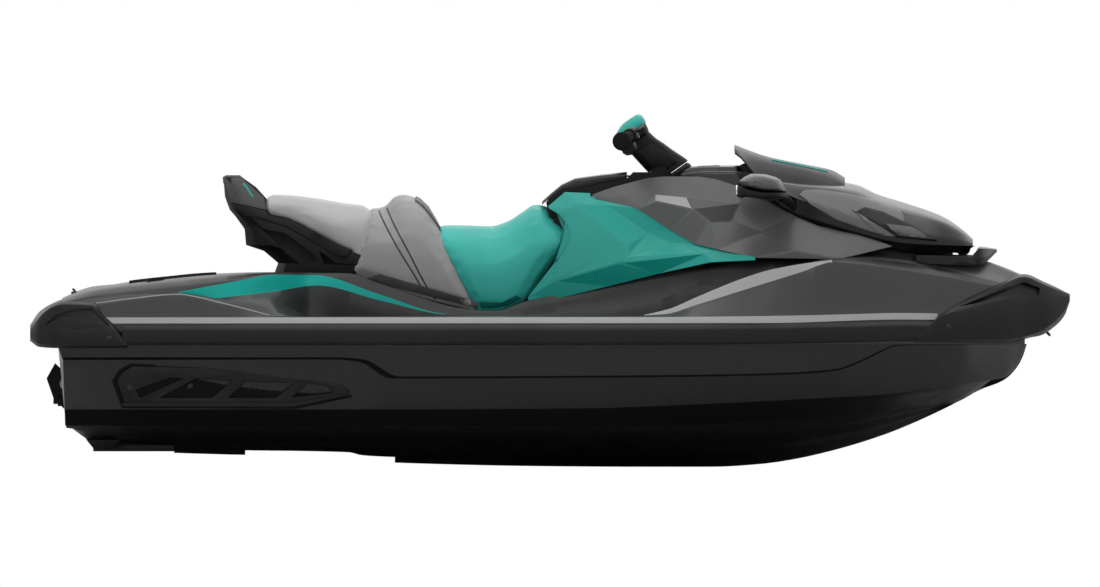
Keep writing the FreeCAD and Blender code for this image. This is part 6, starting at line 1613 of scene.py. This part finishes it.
NECK_ROWS = [
    (0.0005, -0.046, 0.08, 0.047), (0.012, -0.044, 0.077, 0.045), (0.03, -0.045, 0.07, 0.043),
    (0.06, -0.05, 0.058, 0.043), (0.09, -0.054, 0.048, 0.046), (0.12, -0.058, 0.036, 0.052),
    (0.15, -0.06, 0.03, 0.056),
]
NECK_PANEL = [(0.024, -0.03), (0.016, 0.05), (0.07, 0.032), (0.118, 0.014), (0.124, -0.036), (0.08, -0.03)]


def build_neck():
    """Steering neck with a raised panel each side."""
    neck = column_solid("neck", NECK_ROWS, EDGE_ROUND)
    cut(neck, tube("bore", [on_column(0, 0, -0.01), on_column(0, 0, 0.080)], NECK_BORE, sides=24))
    plates = [bevel(solid("plate", [[on_column(forward, side * y, up) for up, forward in NECK_PANEL]
                                    for y in (0.040, 0.0505)]), EDGE_ROUND) for side in (-1, 1)]
    dress(joined("neck_cover", [neck] + plates), ("plastic",), "steering", ("steering_neck",))


BAR_PORT = [(-0.014, 0.095, 0.16), (-0.025, 0.2425, 0.173), (-0.058, BAR_HALF, 0.173)]
BEND_REACH = 0.025
BAR_RADIUS = 0.011
BAR_BORE = 0.0114


def bar_points():
    """Centreline of the handlebar from starboard to port."""
    return [on_column(a, -b, c) for a, b, c in reversed(BAR_PORT)] + [on_column(*place) for place in BAR_PORT]


def bar_ends():
    """Both ends of the handlebar, each with the way inwards along it."""
    points = bar_points()
    return [(end, (inner - end).normalized()) for end, inner in (points[:2], points[:-3:-1])]


def build_bar():
    """Bent steel handlebar."""
    points = bar_points()
    smooth = [points[0]]
    for last, point, following in zip(points, points[1:], points[2:]):
        before = point + (last - point).normalized() * BEND_REACH
        after = point + (following - point).normalized() * BEND_REACH
        smooth += [before * (1 - t) ** 2 + point * (2 * t * (1 - t)) + after * t * t
                   for t in (0, 0.25, 0.5, 0.75, 1)]
    bar = tube("bar", smooth + [points[-1]], BAR_RADIUS, sides=20)
    dress(bar, ("dark_steel",), "steering", ("handlebar",))


# Turned profiles in metres: (reach along the bar, radius).
GRIP_END = [(-0.011, 0.012), (-0.01, 0.027), (-0.007, 0.03), (-0.001, 0.03), (0.002, 0.026), (0.004, 0.0165)]
GRIP_RIB = [(0.008, 0.016), (0.0095, 0.0178), (0.0135, 0.0178), (0.015, 0.016)]
GRIP_FLANGE = [(0.128, 0.0165), (0.1285, 0.022), (0.1325, 0.022), (0.1325, 0.0112)]
GRIP_RIBS = 14
RIB_PITCH = 0.0085


def build_grips():
    """Rubber grips with ribs, an inner flange and a broad flanged end."""
    ribs = [(reach + rib * RIB_PITCH, radius) for rib in range(GRIP_RIBS) for reach, radius in GRIP_RIB]
    turns = [(math.cos(t), math.sin(t)) for t in np.linspace(0, 2 * math.pi, 28, endpoint=False)]
    parts = []
    for end, way in bar_ends():
        across = way.orthogonal().normalized()
        other = way.cross(across)
        parts.append(solid("grip", [[end + way * reach + (across * a + other * b) * radius for a, b in turns]
                                    for reach, radius in GRIP_END + ribs + GRIP_FLANGE]))
    dress(joined("grip_pair", parts), ("mat",), "steering", ("grips",), angle=60)


POD_DROP = 0.040
POD_RADIUS = 0.0235
HOUSING = [(0.0, 0.017), (0.001, 0.0215), (0.006, 0.0235), (0.04, 0.0235), (0.045, 0.0205), (0.046, 0.017)]
POD = [(0.002, POD_RADIUS * 0.85), (0.006, POD_RADIUS), (0.038, POD_RADIUS), (0.042, POD_RADIUS * 0.85)]
HOUSING_START = 0.134
BLADE_RADII = [0.006, 0.008] + [0.0075] * 9 + [0.007, 0.006, 0.003]


def build_switches():
    """Switch housings, the throttle lever to starboard and the brake lever to port."""
    parts = []
    for end, way in bar_ends():
        start = end + way * HOUSING_START
        foot = start - STEER_FORWARD * POD_DROP * 0.7 - STEER_UP * POD_DROP * 0.75
        for name, place, profile, sides in (("housing", start, HOUSING, 24), ("pod", foot, POD, 10)):
            parts.append(tube(name, [place + way * reach for reach, _ in profile],
                              [radius for _, radius in profile], sides=sides))
        root = start + way * 0.023
        ahead = root + STEER_FORWARD * 0.046
        parts.append(bevel(tube("arm", [root, ahead + STEER_FORWARD * 0.003], 0.008, sides=8), FINE_ROUND))
        blade = [ahead + way * 0.004, ahead, ahead - way * 0.05 + STEER_FORWARD * 0.004, ahead - way * 0.103]
        parts.append(tube("blade", route(blade, len(BLADE_RADII)), BLADE_RADII, flat=0.6))
        side = (STEER_UP - STEER_FORWARD * 0.7).normalized()
        for offset in (0.012, 0.030):
            button = start + way * offset
            ends = [button + side * 0.015, button + side * 0.026]
            parts.append(tube("button", ends, (0.0055, 0.005), sides=16))
    piece = joined("switch_pair", parts)
    dress(piece, ("plastic",), "steering", ("switches_and_levers",), angle=40)


PAD_LOW = 0.1475
PAD_HALF = 0.088
PAD_BODY = [
    (0, -0.062, 0.03, 0.072), (0.012, -0.066, 0.034, 0.078), (0.04, -0.06, 0.038, 0.078),
    (0.052, -0.05, 0.034, 0.07),
]
PAD_CAP = [
    (0.03, -0.071, 0.04, 1), (0.042, -0.07, 0.042, 1), (0.056, -0.06, 0.042, 0.93),
    (0.066, -0.04, 0.036, 0.78), (0.07, -0.022, 0.026, 0.55),
]


def build_pad():
    """Padded handlebar cover: a black body under a teal cap."""
    body = column_solid("pad_body", [(PAD_LOW + up, *row) for up, *row in PAD_BODY], FULL_ROUND)
    cut(body, tube("bar_tool", bar_points(), BAR_BORE, sides=20))
    cap = column_solid("pad_cap", [(PAD_LOW + up, rear, front, PAD_HALF * share)
                                   for up, rear, front, share in PAD_CAP], FULL_ROUND)
    piece = joined("bar_pad", [mark(body, 0), mark(cap, 1)])
    dress(piece, ("plastic", "teal"), "steering", ("handlebar_pad",), angle=40)


# Repeats

REPEAT_SOCKETS = (("Points", "Geometry"), ("Piece", "Object"), ("Turn", "Rotation"), ("Finish", "Material"))


def repeat(name, points, source, choice, turn=(0, 0, 0)):
    """Copies of a source mesh at points, made by Geometry Nodes and baked to one plain mesh."""
    holder = new_object(name, points, [])
    group = bpy.data.node_groups.new(name + "_nodes", "GeometryNodeTree")
    for label, kind in REPEAT_SOCKETS:
        group.interface.new_socket(label, in_out="INPUT", socket_type="NodeSocket" + kind)
    group.interface.new_socket("Copies", in_out="OUTPUT", socket_type="NodeSocketGeometry")
    start = add_node(group, "NodeGroupInput").outputs
    to_points = add_node(group, "GeometryNodeMeshToPoints", {"Mesh": start["Points"]}).outputs
    piece = add_node(group, "GeometryNodeObjectInfo", {"Object": start["Piece"]}).outputs
    placed = add_node(group, "GeometryNodeInstanceOnPoints", {
        "Points": to_points["Points"], "Instance": piece["Geometry"], "Rotation": start["Turn"]}).outputs
    real = add_node(group, "GeometryNodeRealizeInstances", {"Geometry": placed["Instances"]}).outputs
    painted = add_node(group, "GeometryNodeSetMaterial", {
        "Geometry": real["Geometry"], "Material": start["Finish"]}).outputs
    add_node(group, "NodeGroupOutput", {"Copies": painted["Geometry"]})
    modifier = holder.modifiers.new("repeat", "NODES")
    modifier.node_group = group
    sockets = {item.name: item.identifier for item in group.interface.items_tree if item.in_out == "INPUT"}
    for label, value in (("Piece", source), ("Turn", turn), ("Finish", finish(choice))):
        modifier[sockets[label]] = value
    bpy.context.view_layer.update()
    bake(holder)
    bpy.data.objects.remove(source)
    holder.data.materials.clear()
    return mark(holder, 0)


RIB_HALF = 0.128
RIB_STEP = 0.018
BAR_STEP = 0.022


def build_mats():
    """Foam mats with raised ribs: on the footwell floors and on the stern platform."""
    low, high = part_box("footwell_mats")
    stations = spread((33, 61.8, 16))
    grid = np.zeros((len(stations), 4, 3))
    inner, outer = gunwale(stations) * 0.37 + 0.004, gunwale(stations) * 0.845 - 0.004
    for index, (y, z) in enumerate(((inner, low.z), (outer, low.z), (outer, high.z), (inner, high.z))):
        grid[:, index] = np.column_stack((along(stations), y, np.full(len(stations), z)))
    pads = mirrored_copy(solid("pads", grid))
    rib = tube("rib", [(0, -RIB_HALF, 0), (0, RIB_HALF, 0)], 0.0045, sides=8)
    centre = (high.y + 0.221) / 2 - 0.006
    points = [(x, side * centre, high.z) for x in np.arange(low.x + 0.016, high.x - 0.012, RIB_STEP)
              for side in (-1, 1)]
    piece = joined("footwell_matting", [pads, repeat("mat_ribs", points, rib, "mat")])
    dress(piece, ("mat",), "craft", ("footwell_mats",))

    low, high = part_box("platform_mat")
    half = high.y
    outline = [(low.x, -half * 0.94), (high.x - 0.06, -half), (high.x, -half * 0.8), (high.x, half * 0.8),
               (high.x - 0.06, half), (low.x, half * 0.94)]
    pad = panel_on("pad", bpy.data.objects["deck_shell"], outline, 0.003, 0.004, 0.03, top=True)
    tree = surface_tree(pad)
    bars = []
    for y in np.arange(0.02, half * 0.92, BAR_STEP):
        reach = high.x - 0.012 if y < half * 0.8 else high.x - 0.07
        for side in (-y, y):
            places = [onto_top(tree, x, side) - Vector((0, 0, 0.0015))
                      for x in np.linspace(low.x + 0.01, reach, 12)]
            bars.append(tube("bar", places, 0.0032, sides=6))
    pad = joined("platform_matting", [pad] + bars)
    for socket in anchor_sockets(SOCKET_RADIUS + 0.002):
        cut(pad, socket)
    dress(pad, ("mat",), "craft", ("platform_mat",))


# Bolts: the piece that each sits on, and its (station, level).
BOLTS = [
    ("stern_bumper_skin", (7.9, 12.8)), ("bow_bumper_shell", (91.84, 13.95)), ("sponson_pair", (10.0, 7.9)),
    ("sponson_pair", (16.0, 8.1)), ("sponson_pair", (22.5, 8.05)), ("sponson_pair", (29.1, 7.9)),
]
BOLT_HEAD = [(0.004, 0.0105), (-0.002, 0.0105), (-0.0045, 0.0075), (-0.005, 0.003)]


def build_bolts():
    """Button-head bolts of the bumpers and the sponsons."""
    points = [onto_side(surface_tree(bpy.data.objects[name]), along(station), height(level))
              for name, (station, level) in BOLTS]
    head = tube("head", [(0, y, 0) for y, _ in BOLT_HEAD], [radius for _, radius in BOLT_HEAD], sides=20)
    cut(head, tube("socket", [(0, -0.006, 0), (0, -0.003, 0)], 0.004, sides=6))
    dress(mirrored_copy(repeat("bolts", points, head, "steel")), ("dark_steel",), "craft", ())


# Stage

PIXEL = 0.003193
VIEW_LEVEL = 17.35
PICTURE_WIDTH = 1100
CAMERA_REACH = 8


def build_stage():
    """Camera square to the starboard side, pale floor, white backdrop and soft lights."""
    scene = bpy.context.scene
    sizes = scene.watercraft
    low, half = height(0) - 0.002, sizes.floor_size / 2
    corners = [(-half, -half, low), (half, -half, low), (half, half, low), (-half, half, low)]
    floor = new_object("studio_floor", corners, [(0, 1, 2, 3)])
    floor.data.materials.append(finish("floor"))
    data = bpy.data.cameras.new("side_camera")
    data.type = "ORTHO"
    data.ortho_scale = PICTURE_WIDTH * PIXEL
    camera = linked("side_camera", data)
    camera.location = (0, -CAMERA_REACH, height(VIEW_LEVEL))
    camera.rotation_euler = (math.radians(90), 0, 0)
    scene.camera = camera
    add_lamps(sizes)
    paint_world(sizes)
    scene.view_settings.view_transform = "Standard"


def add_lamps(sizes):
    """Large soft boxes above, to the front and behind."""
    for name, place, aim, width, length, power in (
        ("top_box", (0.2, -0.4, 3.6), (0, 0, 0), 4.0, 7.0, sizes.top_power),
        ("near_box", (-0.6, -5.0, 2.8), (0, 0, 0.1), 2.5, 4.0, sizes.near_power),
        ("far_box", (0.8, 5.0, 3.4), (0, 0, 0.1), 2.5, 4.0, sizes.far_power),
    ):
        data = bpy.data.lights.new(name, "AREA")
        data.shape = "RECTANGLE"
        data.size, data.size_y, data.energy = length, width, power
        lamp = linked(name, data)
        lamp.location = place
        lamp.rotation_euler = (Vector(aim) - Vector(place)).to_track_quat("-Z", "Y").to_euler()


def paint_world(sizes):
    """White to the camera, and soft grey light that is brighter above."""
    world = bpy.data.worlds.new("studio")
    world.use_nodes = True
    tree = world.node_tree
    tree.nodes.clear()
    way = add_node(tree, "ShaderNodeTexCoord").outputs["Generated"]
    split = add_node(tree, "ShaderNodeSeparateXYZ", {"Vector": way})
    rise = add_node(tree, "ShaderNodeMapRange", {"Value": split.outputs["Z"]})
    set_inputs(rise, From_Min=-0.6, From_Max=0.9, To_Min=sizes.world_low, To_Max=sizes.world_high)
    soft = add_node(tree, "ShaderNodeBackground", {"Strength": rise.outputs["Result"]})
    white = add_node(tree, "ShaderNodeBackground", Strength=1.0, Color=(1, 1, 1, 1))
    path = add_node(tree, "ShaderNodeLightPath")
    seen = path.outputs["Is Camera Ray"]
    for ray in ("Is Glossy Ray", "Is Transmission Ray"):
        added = add_node(tree, "ShaderNodeMath", operation="MAXIMUM")
        tree.links.new(seen, added.inputs[0])
        tree.links.new(path.outputs[ray], added.inputs[1])
        seen = added.outputs[0]
    mix = add_node(tree, "ShaderNodeMixShader")
    tree.links.new(seen, mix.inputs[0])
    tree.links.new(soft.outputs[0], mix.inputs[1])
    tree.links.new(white.outputs[0], mix.inputs[2])
    add_node(tree, "ShaderNodeOutputWorld", {"Surface": mix.outputs[0]})
    bpy.context.scene.world = world


# Eyes, ride plate and pieces that keep their own shape

EYE_BAR = 0.009
EYE_HALF = 0.014
EYE_REACH = 0.012
TOW_HALF = 0.013
TOW_REACH = 0.009
TOW_RISE = 0.010
PLATE_HALF = 0.024


def bent_bar(x, z, half, out, rise, foot, radius):
    """Half ring of bar between two feet, reaching out along X and up along Z."""
    ring = [(x + out * math.sin(t), half * math.cos(t), z + rise * math.sin(t))
            for t in np.linspace(0, math.pi, 13)]
    return tube("bar", [(x, half, z + foot)] + ring + [(x, -half, z + foot)], radius)


def build_eyes():
    """Tow eye on the stern bumper and lifting eye under the bow: a bent bar on a small plate each."""
    low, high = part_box("bow_eye")
    x, z = low.x + EYE_BAR, high.z + 0.012
    eye = bent_bar(x, z, EYE_HALF, EYE_REACH, -EYE_REACH, 0.006, EYE_BAR / 2)
    plate = block("plate", (x - 0.014, -PLATE_HALF, z), (x + 0.008, PLATE_HALF, z + 0.006))
    bevel(plate, SMALL_ROUND, angle=30)
    dress(joined("bow_eye_bar", [eye, plate]), ("dark_steel",), "craft", ("bow_eye",))
    low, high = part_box("stern_tow_eye")
    x, z = (low.x + high.x) / 2, low.z + 0.004
    eye = bent_bar(x, z, TOW_HALF, -TOW_REACH, TOW_RISE, -0.01, 0.004)
    plate = block("plate", (x - 0.016, -PLATE_HALF, z - 0.004), (x + 0.016, PLATE_HALF, z + 0.003))
    bevel(plate, SMALL_ROUND, angle=30)
    dress(joined("tow_eye_bar", [eye, plate]), ("dark_steel",), "craft", ("stern_tow_eye",))


PLATE_REAR = 6.3
FLANGE_TOP = 3.3
BRACKET_SIDES = (-0.225, -0.195)
STERN_BRACKET = [
    (4.2, 6.6), (3.5, 5.2), (3.6, 3.9), (5, 3.7), (5.3, 3.3), (5.7, 2.6), (6.4, 1.75), (8.2, 1.6), (9.6, 3.4),
    (9.6, 6.6),
]


def build_ride_plate():
    """Ride plate under the pump, its edges turned up against the bay's walls, and the brackets beside it."""
    low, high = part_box("ride_plate")
    rear = along(PLATE_REAR)
    plate = block("plate", (rear, low.y, low.z), high)
    flanges = [block("flange", (rear, y - 0.004, high.z - 0.002), (high.x, y + 0.004, height(FLANGE_TOP)))
               for y in (low.y + 0.005, high.y - 0.005)]
    bracket = prism("bracket", STERN_BRACKET, *BRACKET_SIDES)
    for piece in [plate, bracket] + flanges:
        bevel(piece, SMALL_ROUND, angle=30)
    piece = joined("ride_plate_skin", [plate, mirrored_copy(bracket)] + flanges)
    dress(piece, ("dark_steel",), "craft", ("ride_plate",))


# Nodes that keep their solid's shape, by finish.
CARRIED = {
    "alloy": ("engine_block", "intake_grate", "pump_housing"),
    "steel": ("shaft_carrier", "drive_shaft", "impeller", "glove_box_hinge", "bonnet_hinge"),
    "plastic": ("steering_nozzle", "reverse_gate", "accessory_anchors", "drain_plugs", "glove_box_bin",
                "inner_moulding", "storage_bin"),
}


def build_carried():
    """Finishes of the pieces that keep their own shape."""
    for choice, names in CARRIED.items():
        for name in names:
            materials = frame["nodes"][name].data.materials
            materials.clear()
            materials.append(finish(choice))


# Add-on

class WatercraftSizes(bpy.types.PropertyGroup):
    """Sizes and light levels that a user would change."""

    floor_size: FloatProperty(
        name="Floor", description="Side of the square floor", default=60.0, unit="LENGTH")
    foam_mesh: FloatProperty(
        name="Foam mesh", description="Mesh size of the cushions", default=0.006, unit="LENGTH")
    foam_pressure: FloatProperty(
        name="Foam pressure", description="Pressure inside the cushion covers", default=4.0)
    foam_travel: FloatProperty(
        name="Foam travel", description="Farthest that a cover moves out", default=0.006, unit="LENGTH")
    top_power: FloatProperty(
        name="Top light", description="Power of the box above", default=90.0, unit="POWER")
    near_power: FloatProperty(
        name="Near light", description="Power of the box on the near side", default=26.0, unit="POWER")
    far_power: FloatProperty(
        name="Far light", description="Power of the box on the far side", default=16.0, unit="POWER")
    world_low: FloatProperty(
        name="Light from below", description="Strength of the sky at the floor", default=0.2)
    world_high: FloatProperty(
        name="Light from above", description="Strength of the sky overhead", default=0.75)


TASKS = (
    ("hull", "Hull", build_hull), ("deck", "Deck", build_deck), ("rails", "Rub rails", build_rails),
    ("stern_bumper", "Stern bumper", build_stern_bumper), ("bow_bumper", "Bow bumper", build_bow_bumper),
    ("sponsons", "Sponsons", build_sponsons), ("seats", "Seats", build_seats), ("tail", "Tail", build_tail),
    ("console", "Console", build_console), ("fairings", "Fairings", build_fairings),
    ("dash", "Dash", build_dash), ("glove_lid", "Glove box lid", build_glove_lid),
    ("bonnet", "Bonnet", build_bonnet), ("windscreen", "Windscreen", build_windscreen),
    ("mirrors", "Mirrors", build_mirrors), ("lip", "Foredeck lip", build_lip),
    ("boot", "Steering boot", build_boot), ("neck", "Steering neck", build_neck),
    ("bar", "Handlebar", build_bar), ("grips", "Grips", build_grips),
    ("switches", "Switches", build_switches), ("pad", "Handlebar pad", build_pad),
    ("mats", "Mats", build_mats), ("bolts", "Bolts", build_bolts), ("eyes", "Eyes", build_eyes),
    ("ride_plate", "Ride plate", build_ride_plate), ("carried", "Carried pieces", build_carried),
    ("stage", "Stage", build_stage),
)


def piece_operator(name, label, task):
    """Operator class that builds one group of pieces."""
    def execute(self, context):
        task()
        return {"FINISHED"}
    return type("WATERCRAFT_OT_" + name, (bpy.types.Operator,), {
        "bl_idname": "watercraft." + name, "bl_label": label, "__doc__": task.__doc__, "execute": execute,
    })


OPERATORS = [piece_operator(*row) for row in TASKS]


class WATERCRAFT_PT_panel(bpy.types.Panel):
    """Panel that lists the steps in their order."""

    bl_label = "Watercraft"
    bl_idname = "WATERCRAFT_PT_panel"
    bl_space_type = "VIEW_3D"
    bl_region_type = "UI"
    bl_category = "Watercraft"

    def draw(self, context):
        """Lists the sizes, then a button a step."""
        for name in WatercraftSizes.__annotations__:
            self.layout.prop(context.scene.watercraft, name)
        for operator in OPERATORS:
            self.layout.operator(operator.bl_idname)


def register():
    """Registers the sizes, the steps and the panel."""
    bpy.utils.register_class(WatercraftSizes)
    bpy.types.Scene.watercraft = PointerProperty(type=WatercraftSizes)
    for operator in OPERATORS:
        bpy.utils.register_class(operator)
    bpy.utils.register_class(WATERCRAFT_PT_panel)


def unregister():
    """Takes back what register added."""
    bpy.utils.unregister_class(WATERCRAFT_PT_panel)
    for operator in reversed(OPERATORS):
        bpy.utils.unregister_class(operator)
    del bpy.types.Scene.watercraft
    bpy.utils.unregister_class(WatercraftSizes)


def main():
    """Builds every piece in order and writes both sizes."""
    register()
    for operator in OPERATORS:
        getattr(bpy.ops.watercraft, operator.bl_idname.split(".")[1])()


if __name__ == "__main__":
    main()
